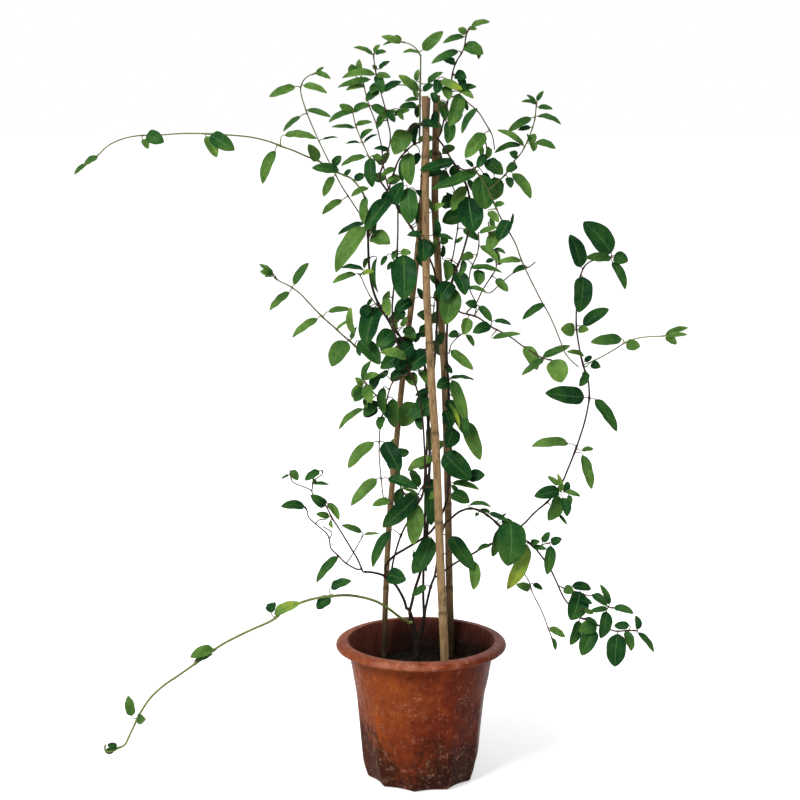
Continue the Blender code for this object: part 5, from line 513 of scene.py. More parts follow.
        (-6.4, 102.5, -4.4, 102.2, 1, 30, -1, 0.4), (-6.1, 100.4, -7.9, 98.9, 1.2, 20, -1, 0.2),
        (-6.2, 101.2, -7.3, 100, 1.2, 20, 0, 0.35), (-6.4, 96, -3.6, 97.6, 1.1, 25, -1, 0.35),
        (-3.9, 97, -1.7, 97.7, 0.9, 25, -1, 0.35), (-3.2, 97.6, -2.6, 96.3, 0.8, 25, -1, 0.4),
        (-6.3, 102.6, -5.5, 100, 1.3, 10, -0.8, 0.2), (-5.4, 96.8, -6.4, 95.1, 1, 20, -0.6, 0.2),
        (-4.9, 97.7, -3.8, 96, 1, 15, -0.4, 0.12),
    ]),
    ("shoot_top_left_middle", "cane_back", [
        (2, 1.5, [(-5.5, 90, -0.5), (-5.6, 92, 0.4), (-6, 94, 0.8), (-6.4, 95.6, 1),
         (-7, 97.2, 1.2), (-7.5, 98.5, 1.4), (-7.9, 100, 1.6), (-8.2, 101.2, 1.6),
         (-8.6, 102.3, 1.6)]),
    ], [
        (-7.1, 98.3, -3.7, 96.4, 1.5, 25, -1, 0.2), (-8.1, 101, -10.7, 100.4, 0.9, 30, -1, 0.6),
        (-7.3, 101.9, -11.8, 100.8, 1.2, 35, -1, 0.45), (-9.4, 102.6, -9.9, 104, 1.4, 10, 0, 0.4),
        (-8.5, 102.6, -8.8, 104.7, 1, 20, 0, 0.6), (-4.6, 92, -6.8, 92.3, 0.9, 35, -1, 0.12),
    ]),
    ("shoot_top_left_outer", "cane_back", [
        (2, 1.5, [(-6, 88.2, -0.5), (-7.2, 90.5, -0.6), (-8, 92.3, -0.6), (-8.9, 94.4, -0.5),
         (-9.4, 95.8, -0.5), (-9.7, 97.2, -0.5), (-9.9, 98, -0.5)]),
    ], [
        (-9.9, 97.5, -13.1, 96, 1.1, 35, -1, 0.4), (-9.6, 97.4, -11.6, 98.4, 1.2, 25, 0, 0.45),
        (-9.6, 97.5, -7.2, 98.3, 1.3, 30, -1, 0.3), (-9.5, 95.2, -12.7, 95.3, 0.8, 45, -1, 0.3),
        (-9.3, 95.6, -7, 96, 0.9, 30, -1, 0.5), (-8.8, 93.1, -10.7, 93, 0.6, 50, -1, 0.1),
        (-8.2, 93.1, -6.2, 94.3, 0.5, 40, 0, 0.12), (-8.6, 93.7, -6.9, 95, 0.9, 30, -1, 0.4),
        (-8, 91.2, -11.4, 89.9, 1.1, 35, -1, 0.5), (-7.2, 91, -7, 86.9, 1.7, 10, -1, 0.15),
        (-6.8, 91.3, -5.6, 90.8, 1, 30, -1, 0.5),
    ]),
    ("shoot_top_right", "cane_crossing", [
        (2.4, 1.8, [(2.3, 93.6, -0.4), (2.5, 94.2, -0.5), (3, 96, -0.6), (3.6, 99, -0.8),
         (4.1, 101.8, -0.8), (4.4, 103.4, -0.8), (4.9, 104.6, -0.8), (5.3, 105.2, -0.8),
         (5.9, 106.4, -0.8), (6, 107.3, -0.8), (6.2, 108.3, -0.8), (6.6, 108.9, -0.8)]),
    ], [
        (6.8, 109.2, 9.4, 109.8, 1, 40, -1, 0.5), (6.1, 108.2, 5, 108.9, 1.1, 15, 0, 0.6),
        (6.6, 108.9, 7.6, 108.8, 0.7, 20, -1, 0.5), (5.8, 107.8, 2.9, 106.9, 1, 35, -1, 0.35),
        (5.9, 106.6, 8.5, 105.4, 1.8, 20, -1, 0.4), (7.5, 106.2, 7.9, 104.7, 0.8, 20, -1, 0.4),
        (5, 105.8, 1.3, 104.1, 1.2, 30, -1, 0.35), (4.6, 104.2, 2.9, 104.6, 1.1, 25, -1, 0.2),
        (4.6, 102.6, 6.2, 102.1, 1.6, 15, -1, 0.15), (2.6, 101.7, 5.6, 100.5, 1.3, 30, -1, 0.85),
        (5.3, 99.9, 3.7, 95.4, 2.1, 15, -2, 0.55), (3.2, 101, 3.8, 99.1, 1.5, 20, -1, 0.65),
        (2.2, 101.9, 1.9, 99.9, 1.4, 20, -1, 0.12), (3.8, 96.2, 3.6, 93, 1.7, 15, 0, 0.3),
        (5.4, 100.5, 7.6, 100.9, 1, 25, -1, 0.12), (2.6, 98.9, 3.3, 96.3, 1.3, 10, 1.2, 0.25),
        (2, 98.6, 1.3, 100.1, 1.1, 15, 0.9, 0.1), (5.3, 102.3, 5.9, 100.4, 1.2, 10, 0.7, 0.12),
        (4.9, 100.8, 7.2, 99.3, 1.1, 25, -1, 0.7), (4.9, 96, 5.7, 97.1, 0.5, 20, 0, 0.05),
        (1.9, 97.6, 1.6, 95.4, 1.2, 10, 1.4, 0.06),
    ]),
    ("vine_top_right", "shoot_top_right", [
        (1.6, 1.4, [(3.7, 99.6, -0.8), (5.2, 99.8, -1), (6.3, 98.8, -1.2), (7.8, 97.5, -1.4),
         (8.8, 96, -1.4), (9.8, 94.3, -1.4), (10.1, 93, -1.4), (10.2, 92.2, -1.4)]),
    ], [
        (8.8, 94.4, 6.1, 91, 2.2, 20, -1, 0.6), (7.7, 97.9, 5.6, 94.4, 1.1, 35, -1, 0.35),
        (5.6, 98.9, 6.4, 97.6, 0.7, 20, 0, 0.15),
    ]),
    ("shoot_upper_right", "cane_crossing", [
        (2.4, 1.4, [(5, 89.6, 0.5), (5.7, 89.4, 0.2), (6.6, 89.3, 0), (7.4, 89.6, 0),
         (8.3, 90.3, 0), (9, 91.1, 0), (9.1, 92.4, 0), (8.8, 93.6, 0.2)]),
    ], [
        (9, 90.6, 11.4, 88.7, 2, 20, -1, 0.3), (8.9, 91.5, 7.8, 89.6, 1.3, 20, -1, 0.12),
        (9.4, 92.5, 9.2, 90.9, 1.1, 20, 0, 0.55), (8, 92.9, 8.4, 91.2, 0.9, 20, 0, 0.5),
        (10.2, 88.3, 10.3, 85.1, 2.2, 15, 1, 0.4), (7.2, 89.8, 6.1, 90.8, 0.7, 20, -0.4, 0.1),
        (8.6, 88.9, 9.4, 87.6, 1, 15, 0.8, 0.15),
    ]),
    ("vine_long_right", "shoot_upper_right", [
        (2.4, 1.4, [(7.5, 89.4, 0), (8.4, 88.1, -0.3), (9.2, 86.8, -0.5), (10, 85.1, -0.6),
         (11, 82.9, -0.6), (12.3, 80.7, -0.6), (13.3, 78.9, -0.6), (14, 77, -0.6),
         (14.8, 75.2, -0.6), (16, 72.8, -0.5), (17.2, 70.5, -0.4), (18.2, 68.8, -0.3),
         (19.2, 66.6, 0), (20, 64.6, 0.3), (20.6, 63.2, 0.5), (21.7, 61.9, 0.6),
         (22.5, 61.3, 0.7)]),
    ], [
        (8.3, 88.6, 9, 83.8, 3.2, 10, 1, 0.45), (12.3, 82.2, 10.8, 79.4, 2.1, 15, -1, 0.1),
        (12.5, 81.4, 12.9, 83.3, 0.6, 30, 0, 0.1), (14.1, 76.5, 10.9, 76.3, 1.1, 45, -1, 0.6),
        (17.5, 70.3, 14.4, 68.1, 1.2, 35, -1, 0.25), (10.3, 84.5, 11.7, 84.6, 0.9, 30, -1, 0.45),
        (9.4, 83.4, 10.9, 82, 1.3, 20, -1, 0.6), (9.9, 85.2, 9.2, 83.9, 0.8, 15, -0.6, 0.4),
    ]),
    ("shoot_outer_right", "vine_long_right", [
        (2.4, 1.6, [(9.3, 86.6, -0.5), (10.6, 87.6, -0.8), (11.7, 88.6, -1), (12.3, 89.5, -1),
         (13, 90.6, -1), (13.8, 91.5, -1), (14.3, 92.3, -1), (14.9, 93.6, -1), (15.4, 94.9, -1),
         (15.8, 96.3, -1), (15.9, 97.2, -1), (16, 98.2, -1), (16.1, 99, -1)]),
    ], [
        (16.1, 99, 17, 100.3, 0.8, 30, 0, 0.45), (15.9, 98.5, 13.9, 98.8, 0.8, 40, -1, 0.45),
        (15.9, 98.5, 14.6, 99.8, 0.7, 30, 0, 0.4), (16.3, 98.1, 18.3, 97.8, 0.9, 35, -1, 0.45),
        (15.3, 96.6, 12.1, 94.7, 1.3, 35, -1, 0.4), (16.2, 96.8, 19.5, 95.7, 1.1, 40, -1, 0.4),
        (15.2, 95.3, 13.5, 94.9, 0.9, 30, 0, 0.12), (16, 93.2, 18.8, 92.3, 1.2, 35, -1, 0.4),
        (15.2, 93, 15.9, 94.4, 1.1, 15, 0, 0.35), (15.5, 93.2, 15.7, 91.9, 1.1, 15, -1, 0.35),
        (14.3, 92.7, 10.6, 94.9, 1.1, 40, -1, 0.6), (13.9, 92.8, 10.2, 91.7, 1.1, 40, -1, 0.25),
        (13.4, 91.2, 12.3, 91.8, 1.2, 20, -1, 0.35), (13.2, 90.2, 11.9, 89, 1.3, 20, -1, 0.35),
        (12.8, 88.8, 15.4, 85.3, 1.6, 25, -1, 0.55), (12.1, 88.3, 12.6, 86.8, 1.2, 15, -1, 0.3),
        (15.2, 93.5, 14.7, 94.4, 0.5, 20, -0.4, 0.3),
    ]),
    ("shoot_inner_right", "cane_back", [
        (2.4, 1.8, [(2.2, 71.3, 0.3), (3.1, 73, -0.5), (3.6, 74, -0.8), (4.1, 76, -1),
         (4.5, 77.5, -1), (4.8, 79.5, -1), (5.1, 81.5, -1), (4.9, 84, -1), (4.4, 86.3, -1)]),
    ], [
        (5.9, 83.2, 2.9, 82, 2.3, 20, -1, 0.1), (5.9, 81, 8.1, 79.4, 1.3, 30, -1, 0.4),
        (4.8, 79.1, 5.9, 79.9, 0.6, 20, -0.3, 0.5), (4.1, 76.1, 5, 74.5, 1, 10, 0.5, 0.05),
        (2.9, 77, 3.1, 78.7, 0.8, 10, 0.4, 0.1), (4.4, 84.6, 3.5, 86.2, 0.9, 15, 0.6, 0.15),
    ]),
    ("shoot_centre_right", "cane_crossing", [
        (2.6, 1.8, [(4, 70.4, -0.2), (5.4, 69.2, -0.8), (6.3, 68.9, -0.9), (8, 68.4, -1),
         (10, 67, -1), (11.4, 66.3, -1), (13.1, 65.3, -1), (14.4, 64.3, -1), (15.7, 63.5, -1),
         (17.2, 62.6, -1), (18.6, 62.2, -1)]),
    ], [
        (14.8, 64.2, 16.6, 60.8, 1.9, 15, -1, 0.75), (17.5, 62.4, 14.4, 60, 1.1, 40, -1, 0.4),
        (17.4, 62.7, 21.3, 64.3, 1.2, 35, 0, 0.45), (18.7, 62.2, 20.2, 59, 2.8, 10, -1, 0.7),
        (9.8, 67.2, 7.3, 66.2, 1.7, 20, -1, 0.1), (10.2, 65.4, 14.2, 66, 1, 45, -1, 0.5),
        (10.4, 67.9, 12.8, 67.3, 0.8, 40, -1, 0.15), (8.2, 70, 10, 67.8, 1.3, 25, -1, 0.45),
        (6.6, 68.3, 6, 65.9, 1.8, 15, -1, 0.6), (7.9, 70.2, 6.2, 70.4, 1.3, 20, -1, 0.12),
    ]),
    ("shoot_bushy_right", "shoot_centre_right", [
        (2, 1.6, [(6.4, 68.8, -0.9), (7.8, 70.5, -1), (8.6, 72.2, -1), (9.6, 73.8, -1.2),
         (10.6, 75.6, -1.4), (10.2, 77.6, -1.4), (9.6, 79.6, -1.2), (9.4, 82, -1)]),
        (1.6, 1.4, [(8.6, 72.2, -1), (9.7, 71.9, -1), (11, 73, -1.2), (12.8, 74.6, -1.6),
         (15.2, 75.6, -1.8), (16.1, 76.3, -1.8)]),
        (1.6, 1.4, [(7.8, 70.5, -1), (6.8, 72.6, -1.3), (6.9, 75, -1.5), (7.8, 77.2, -1.7),
         (8.1, 79, -1.7), (8, 80.5, -1.7)]),
    ], [
        (8.2, 80.5, 10.7, 81.3, 1, 40, -1, 0.55), (11.2, 80.6, 9.4, 77.8, 1.9, 20, -1, 0.6),
        (8.3, 78.6, 10.9, 76.2, 1.1, 30, -1, 0.55), (10.2, 78.1, 11.9, 77.5, 0.8, 40, -1, 0.3),
        (7.3, 77.4, 5.6, 76.6, 1.3, 20, -1, 0.4), (7, 75.5, 11.4, 74.8, 1, 45, -1, 0.45),
        (8, 75.2, 8.2, 73, 1.7, 15, -1, 0.4), (10.6, 73.9, 12.3, 72.1, 1.3, 25, -1, 0.45),
        (6.6, 72.6, 9.2, 72, 0.9, 40, -1, 0.45), (5.9, 76.6, 5.3, 74.4, 1.1, 20, -1, 0.45),
        (15, 75.6, 12.9, 74.8, 1.1, 40, 0, 0.1), (10.2, 76.6, 9.1, 76.3, 0.7, 20, 0.5, 0.1),
        (10.8, 76, 11.9, 76.8, 0.7, 20, -0.6, 0.6), (10.1, 81.2, 9.7, 82.6, 0.8, 15, 0.4, 0.45),
        (10.4, 77.9, 11, 76.4, 0.7, 15, -0.6, 0.45),
    ]),
    ("twig_side_right", "cane_crossing", [
        (1.8, 1.4, [(3.6, 63.3, 0.8), (4.3, 64.6, 0.3), (5.6, 65.9, 0), (6.3, 66.4, -0.2)]),
    ], [
        (4.2, 63.6, 7.4, 60.8, 1.5, 30, -1, 0.5), (5.3, 66.1, 3.8, 65.7, 1.1, 20, -1, 0.15),
        (6.4, 65.9, 7.5, 64.2, 0.9, 20, -1, 0.35),
    ]),
    ("vine_hanging_right", "cane_right", [
        (1.7, 1.4, [(15.2, 35.4, -0.4), (15.1, 33, 0.8), (15, 31, 0.8), (15.8, 29.4, 0.6),
         (16.3, 27.8, 0.4), (17.3, 25.8, 0.2), (18.1, 24, 0), (18.7, 22.3, 0), (19.2, 21, 0),
         (19.5, 19.8, 0)]),
    ], [
        (15.9, 28.3, 13.9, 29, 1.3, 20, -1, 0.5), (16.4, 29.1, 17.8, 28.2, 0.9, 30, -1, 0.3),
        (18.9, 22.4, 21.2, 21, 1.1, 30, -1, 0.65), (19.4, 20.8, 19.8, 19, 0.8, 20, -1, 0.45),
    ]),
    ("twigs_low_left", "cane_left", [
        (2.8, 1.6, [(-8.2, 31, -1.5), (-9.3, 32.8, -1.7), (-10.1, 34.2, -1.9), (-12.1, 37.6, -2.2),
         (-13, 39, -2.4), (-13.7, 40.5, -2.6), (-14.5, 41.6, -2.8), (-15.8, 42.6, -3),
         (-15.8, 43.6, -3), (-15.7, 44.5, -3), (-15, 45, -3), (-14.3, 45.6, -3),
         (-14.4, 46.1, -3)]),
        (1.4, 1.3, [(-15.8, 43, -3), (-16.3, 43.3, -3), (-17.5, 43.8, -3), (-18.6, 44.3, -3),
         (-19, 45.3, -3)]),
        (2.6, 1.8, [(-8.5, 31.4, -1.5), (-9.4, 31.3, -1.2), (-11, 32.2, -1), (-12.3, 33.5, -1),
         (-13.2, 34.5, -1), (-13.4, 35.8, -1), (-13.9, 36.8, -1), (-15.4, 38.1, -1),
         (-16.4, 39.1, -1), (-16.6, 40.1, -1), (-17, 40.6, -1)]),
        (1.4, 1.3, [(-11, 32.2, -1), (-10, 33.6, -0.4), (-8.7, 36, 0), (-8.5, 36.5, 0)]),
        (1.4, 1.3, [(-13.4, 35.9, -1), (-13, 36.8, -1), (-14.3, 37.7, -1)]),
        (1.4, 1.3, [(-15.4, 38.1, -1), (-14.9, 38.7, -1), (-13.9, 38.8, -1)]),
    ], [
        (-13.9, 40.9, -16.1, 42.4, 1.7, 15, -1, 0.25), (-13.6, 41.2, -12, 38.7, 1.2, 30, -1, 0.6),
        (-13.4, 39.2, -15.3, 39.6, 1.1, 30, -1, 0.5), (-13.2, 38.6, -12.9, 37.5, 0.8, 30, -1, 0.9),
        (-15.6, 44.1, -13.4, 43.9, 0.8, 60, -1, 0.3), (-14.8, 46, -16.9, 44.6, 1.2, 30, -1, 0.3),
        (-15.3, 44.2, -15.8, 44.9, 0.6, 30, 0, 0.7), (-18.9, 46, -17.9, 44.6, 1.3, 20, -1, 0.5),
        (-19.2, 45.4, -20.3, 44.8, 0.5, 40, 0, 0.3), (-17, 40.7, -20.4, 40.7, 1.4, 35, -1.5, 0.3),
        (-12.2, 33.2, -15.3, 29.3, 1.6, 40, -1.5, 0.35),
        (-8.7, 36.9, -11.6, 37.9, 1.1, 50, -1, 0.4), (-8.3, 36.5, -6.1, 36.6, 0.7, 60, 1, 0.7),
    ]),
    ("runner_low_left", "crown", [
        (4.2, 2.8, [(-1.4, 23.3, 0.2), (-2, 23.4, -0.3), (-3.2, 24.1, -0.8), (-5, 25.5, -1.4),
         (-7, 26.6, -1.8), (-10, 27.3, -2.2), (-12.5, 27.3, -2.5), (-15.5, 26.9, -2.8),
         (-18, 26.1, -3), (-20.3, 24.9, -3.2), (-22, 23.5, -3.4), (-25, 22.1, -3.6),
         (-28, 20.6, -3.8), (-30, 19.4, -3.8), (-33.5, 16.8, -4), (-36, 15, -4), (-38, 13.6, -4),
         (-40, 11.7, -4), (-41.5, 9.5, -4), (-42.3, 7.9, -4), (-43.2, 6, -4), (-44, 4.4, -4),
         (-45, 3.9, -4), (-46.3, 3.3, -4), (-47, 3.6, -4), (-46.9, 4.3, -4)]),
    ], [
        (-13.2, 28.5, -10.2, 29.5, 1.6, 50, -1, 0.1), (-13.3, 27, -15.3, 25.3, 1.8, 30, -1, 0.15),
        (-22, 24.7, -21.6, 26.3, 1.7, 30, 2, 0.1), (-21.5, 24.7, -17.6, 26.2, 1.6, 40, -1, 0.7),
        (-30.6, 19.2, -34, 17.9, 1.7, 40, -1.5, 0.65), (-33.4, 17.2, -30.7, 18.4, 0.9, 50, 1, 0.6),
        (-42.9, 8.9, -43.3, 12, 1.5, 10, 1, 0.6), (-42, 8.4, -40.8, 8.4, 1.5, 20, -1, 0.4),
        (-45.2, 4.1, -46.6, 4.4, 1, 30, -0.5, 0.3), (-45.6, 3.5, -47, 3.4, 0.9, 30, 0.5, 0.3),
    ]),
    ("shoot_back_low", "cane_back", [
        (2.4, 1.8, [(0.5, 38, 3.2), (-0.6, 39.6, 4.6), (-2, 41.8, 6), (-3.4, 44.6, 7.6),
         (-4, 47.6, 8.8), (-3.8, 50.4, 9.6)]),
        (2, 1.6, [(-1.6, 41.2, 5.6), (-0.2, 43, 7.4), (1, 45.6, 8.8), (1.6, 48.6, 9.6)]),
    ], [
        (-2.2, 42.6, -0.4, 41, 1.7, 30, 2.6, 0.25), (-3, 43.4, -3, 40.4, 1.8, 20, 2.4, 0.2),
        (-3.6, 47.2, -3.2, 43.8, 1.8, 30, 2.8, 0.35), (-4.2, 48.4, -1.8, 48.8, 1.6, 35, 2, 0.3),
        (-3.8, 50.8, -3.6, 47.4, 1.5, 25, 2.6, 0.5), (-0.4, 43.6, -1.6, 46.2, 1.5, 30, 2, 0.3),
        (0.8, 44.6, 2.8, 43, 1.6, 30, 2.4, 0.25), (1.4, 47.6, -0.4, 46.4, 1.5, 30, 2.4, 0.4),
        (1.6, 49, 3.2, 50.4, 1.4, 30, 1.6, 0.5), (-3.6, 46, -4.9, 47.6, 1.5, 15, 0.6, 0.1),
        (1.2, 46.6, 0, 47.9, 1.3, 15, 0.6, 0.15),
    ]),
    ("shoot_front_middle", "cane_back", [
        (1.8, 1.4, [(-1, 80.5, 0.2), (-1.3, 80.5, -0.9), (-1.2, 80.4, -2), (-0.7, 80.3, -2.9),
         (0.3, 80.1, -3.4)]),
    ], [
        (0.3, 79.6, 0.3, 76.4, 2.1, 10, -0.6, 0.08), (-0.2, 80.3, -2.1, 80.1, 0.9, 35, -0.6, 0.05),
    ]),
    ("shoot_back_middle", "cane_back", [
        (2.4, 1.8, [(1.5, 57.8, 1.8), (0.6, 59.4, 3.2), (-0.8, 61.4, 5.2), (-2.6, 63.8, 6.8),
         (-4.2, 66.6, 7.8), (-5.2, 69.6, 8.4)]),
        (2, 1.6, [(-0.4, 61, 4.8), (0.6, 63.8, 6.6), (1.4, 67, 7.8), (1.8, 70.4, 8.4)]),
    ], [
        (-1.6, 62, -3, 60.2, 2, 25, 2, 0.15), (-2.6, 64.6, -0.8, 66, 1.7, 30, 2, 0.3),
        (-3.8, 65.4, -5.8, 63.4, 2, 25, 2.4, 0.2), (-4.4, 67.4, -2.8, 69.4, 1.7, 30, 1.6, 0.3),
        (-5.2, 69.8, -6.8, 68, 1.6, 30, 2, 0.4), (-5.2, 70, -4.6, 72.2, 1.2, 30, 1, 0.5),
        (0.4, 63.8, -0.8, 61.8, 1.8, 25, 2.4, 0.2), (1.2, 64.8, 3, 63, 1.8, 25, 2.4, 0.25),
        (1.4, 67.6, 3, 69.2, 1.6, 30, 1.8, 0.35), (1.2, 68, -0.6, 69, 1.6, 30, 2.2, 0.3),
        (1.9, 70.8, 3.2, 73, 1.4, 30, 1, 0.5), (0.2, 71, -0.6, 72.6, 1, 10, 0.6, 0.1),
        (0.4, 67.4, 0.1, 65.5, 1.5, 10, 0.5, 0.25), (-0.2, 66.2, -1, 64.8, 1, 10, 0.6, 0.1),
        (-5.9, 69.3, -4.6, 70.6, 1.2, 15, 0.6, 0.08),
    ]),
    ("shoot_back_top", "cane_crossing", [
        (2.2, 1.7, [(6.6, 81.2, 0.3), (6, 82.8, 2), (5.2, 85, 3.6), (4, 87.8, 5), (2.8, 90.8, 5.8),
         (1.8, 93.4, 6.2)]),
    ], [
        (5.4, 84, 7.4, 85, 1.8, 25, 2, 0.2), (4.8, 85.4, 2.8, 84.2, 2, 25, 1.8, 0.12),
        (4.2, 87.8, 6.2, 89, 1.7, 30, 1.6, 0.3), (3.8, 88.6, 1.8, 88, 1.8, 25, 1.8, 0.15),
        (2.8, 91.2, 0.4, 91.4, 1.6, 30, 1.6, 0.3), (2.9, 91.6, 4.6, 92.6, 1.5, 30, 1.2, 0.4),
        (1.8, 93.8, 2.4, 96, 1.2, 30, 0.6, 0.5), (1.6, 93.6, -0.6, 93.6, 1.3, 30, 1.4, 0.4),
        (4.2, 88.4, 5.2, 90, 1.5, 15, 0.6, 0.15), (3, 90.9, 1.9, 89.6, 1.4, 15, 0.6, 0.1),
    ]),
    ("shoot_back_left", "cane_back", [
        (2.2, 1.7, [(-2.4, 82.6, 0), (-3, 83.4, 1.8), (-3.8, 84.8, 3.4), (-4.8, 87, 4.8),
         (-5.4, 89.8, 5.6)]),
    ], [
        (-3.6, 84, -1.8, 83.2, 1.8, 25, 2, 0.15), (-4.2, 85.2, -6, 83.8, 1.9, 25, 1.8, 0.2),
        (-4.8, 87.4, -3, 88.4, 1.6, 30, 1.6, 0.3), (-5.2, 88, -7, 88.4, 1.6, 30, 1.6, 0.3),
        (-5.5, 90.2, -4.6, 91.8, 1.2, 30, 0.8, 0.45), (-5.6, 90, -7, 91.4, 1.2, 30, 1, 0.4),
        (-4.4, 86.2, -5.6, 85, 1.3, 15, 0.6, 0.12), (-3.8, 84.8, -2.8, 86.2, 1.3, 15, 0.6, 0.1),
    ]),
]


def lift(u, v, d):
    """The place in metres of a point of the elevation."""
    spread = 1 + d / EYE_DISTANCE
    x = EYE_X + (u - EYE_X) * spread
    z = EYE_Z + (v - EYE_Z) * spread
    return Vector((x, d, z)) * CM


def flatten(place):
    """The u and v at which a place in metres is seen on the elevation."""
    spread = 1 + place.y / CM / EYE_DISTANCE
    u = EYE_X + (place.x / CM - EYE_X) / spread
    v = EYE_Z + (place.z / CM - EYE_Z) / spread
    return Vector((u, v))


def between(table, x):
    """The value at x of a line drawn through the table's (x, value) pairs."""
    for (x0, y0), (x1, y1) in zip(table, table[1:]):
        if x <= x1:
            return y0 + (y1 - y0) * (x - x0) / (x1 - x0)
    return table[-1][1]


def bell(away, height, spread):
    """A rounded bump of a height, seen from that far away from its middle."""
    return height * math.exp(-(away / spread) ** 2)


def curve_point(before, start, end, after, t):
    """A point of the Catmull-Rom curve from start to end."""
    line = 2 * start + (end - before) * t
    square = (2 * before - 5 * start + 4 * end - after) * t ** 2
    cube = (3 * start - before - 3 * end + after) * t ** 3
    return (line + square + cube) / 2


def evenly(points, step):
    """Points about one step apart along a line of points, with both of its ends."""
    travelled = [0]
    for start, end in zip(points, points[1:]):
        travelled.append(travelled[-1] + (end - start).length)
    count = max(2, round(travelled[-1] / step))
    spaced = [points[0]]
    index = 0
    for i in range(1, count):
        wanted = travelled[-1] * i / count
        while travelled[index + 1] < wanted:
            index += 1
        part = (wanted - travelled[index]) / (travelled[index + 1] - travelled[index])
        spaced.append(points[index].lerp(points[index + 1], part))
    return spaced + [points[-1]]


def curve(points, parts):
    """A smooth curve through the points, with each span in parts, without its last point."""
    padded = [2 * points[0] - points[1], *points, 2 * points[-1] - points[-2]]
    return [curve_point(*padded[i:i + 4], k / parts)
            for i in range(len(points) - 1) for k in range(parts)]


def smooth(points, step):
    """Points about one step apart on a smooth curve through the given ones."""
    return evenly([*curve(points, CURVE_PARTS), points[-1]], step)


def rounded(profile, parts):
    """A profile with points added on a smooth curve through its own."""
    return [*map(tuple, curve([Vector(point) for point in profile], parts)), profile[-1]]


class Stem:
    """A tapered round stem: the points of its axis, the radius at each, and its root.

    The root is the place on its parent's axis from which it grows, if it has a parent.
    """

    def __init__(self, points, start_thickness, end_thickness, root=None):
        self.points = points
        self.root = root
        self.ends = (start_thickness, end_thickness)
        last = len(points) - 1
        taper = (end_thickness - start_thickness) / last
        self.radii = [(start_thickness + taper * i) * MM / 2 for i in range(last + 1)]

    def places(self):
        """Places along the axis, 1 mm apart, with the direction and radius at each."""
        spans = zip(self.points, self.points[1:], self.radii, self.radii[1:])
        for start, end, radius, next_radius in spans:
            steps = math.ceil((end - start).length / MM)
            direction = (end - start).normalized()
            for i in range(steps + 1):
                part = i / steps
                yield start.lerp(end, part), direction, radius + (next_radius - radius) * part


def nearest(stems, place, margin=0):
    """The place on the stems' axes that looks nearest, with its direction and radius.

    The margin keeps it that far from the stems' ends.
    """
    aim = flatten(place)
    closest = None
    closest_distance = math.inf
    for stem in stems:
        for found in list(stem.places())[margin:-1 - margin or None]:
            distance = (flatten(found[0]) - aim).length
            if distance < closest_distance:
                closest = found
                closest_distance = distance
    return closest


def rooted(parents, points, step):
    """A shoot's points, starting with a short stub square to the stem that it grows from, and
    its root."""
    place, direction, radius = nearest(parents, points[0])
    tips = [stem.points[-1] for stem in parents]
    tip = min(tips, key=lambda end: (end - place).length)
    if (tip - place).length < TIP_REACH:
        out = direction
        start = tip + out * GAP
    else:
        ahead = points[1] - place
        out = (ahead - direction * ahead.dot(direction)).normalized()
        start = place + out * (radius + GAP)
    stub = start + out * STUB
    rest = [point for point in points[1:] if (point - stub).length > STUB * 1.5]
    return [start, *smooth([stub, *rest], step)], place


def swung(route, parents, swing):
    """The route moved in depth to start on its parent and to swing back along its way."""
    start_u, start_v, start_depth = route[0]
    shift = nearest(parents, lift(*route[0]))[0].y / CM - start_depth
    return [(u, v, d + shift + swing * math.hypot(u - start_u, v - start_v) / 10)
            for u, v, d in route]


def grow_stems(stems, parents, step, swing=None):
    """The stems of one shoot. The first grows from the parents, the others from the shoot."""
    grown = []
    for start_thickness, end_thickness, route in stems:
        if swing is not None:
            route = swung(route, grown or parents, swing)
        points = [lift(*point) for point in route]
        root = None
        if parents and not grown:
            axis, root = rooted(parents, points, step)
        else:
            if grown:
                points[0] = nearest(grown, points[0])[0]
            axis = smooth(points, step)
        grown.append(Stem(axis, start_thickness, end_thickness, root))
    return grown


def set_out(name, data):
    """A new object in the scene."""
    thing = bpy.data.objects.new(name, data)
    bpy.context.scene.collection.objects.link(thing)
    return thing


class Shell:
    """A piece's vertices, faces and values while it is built.

    Each face has the number of its material. Each vertex has three marks, which the
    materials read: across, along and tone on a leaf; youth, nothing and tone on a stem.
    """

    def __init__(self):
        self.places = []
        self.marks = []
        self.faces = []
        self.materials = []
        self.sharp = set()

    def point(self, place, mark=(0, 0, 0)):
        self.places.append(place)
        self.marks.append(mark)
        return len(self.places) - 1

    def face(self, corners, material=0):
        self.faces.append(corners)
        self.materials.append(material)

    def ring(self, centre, across, over, radius, sides, mark):
        """The points of a ring about a centre, as seen with across to the right and over up."""
        turns = [2 * math.pi * k / sides for k in range(sides)]
        return [self.point(centre + (across * math.cos(a) + over * math.sin(a)) * radius, mark)
                for a in turns]

    def crease(self, start, end):
        """Makes the edge between two points a sharp one."""
        self.sharp.add(tuple(sorted((start, end))))

    def join(self, lower, upper, material=0):
        """Faces between two rings of as many points."""
        for k in range(len(lower)):
            following = (k + 1) % len(lower)
            self.face((lower[k], lower[following], upper[following], upper[k]), material)

    def make(self, name, materials):
        """The piece as an object, smooth but for its sharp edges."""
        mesh = bpy.data.meshes.new(name)
        mesh.from_pydata(self.places, [], self.faces)
        mesh.polygons.foreach_set("material_index", self.materials)
        mesh.shade_smooth()
        marks = mesh.attributes.new("marks", "FLOAT_VECTOR", "POINT")
        marks.data.foreach_set("vector", [value for mark in self.marks for value in mark])
        for edge in mesh.edges:
            if tuple(sorted(edge.vertices)) in self.sharp:
                edge.use_edge_sharp = True
        for material in materials:
            mesh.materials.append(material)
        return set_out(name, mesh)


def place_piece(thing, slot, *nodes):
    """Sets a piece on the root body in place of the nodes that it stands for."""
    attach(thing, "root")
    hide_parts(*nodes)


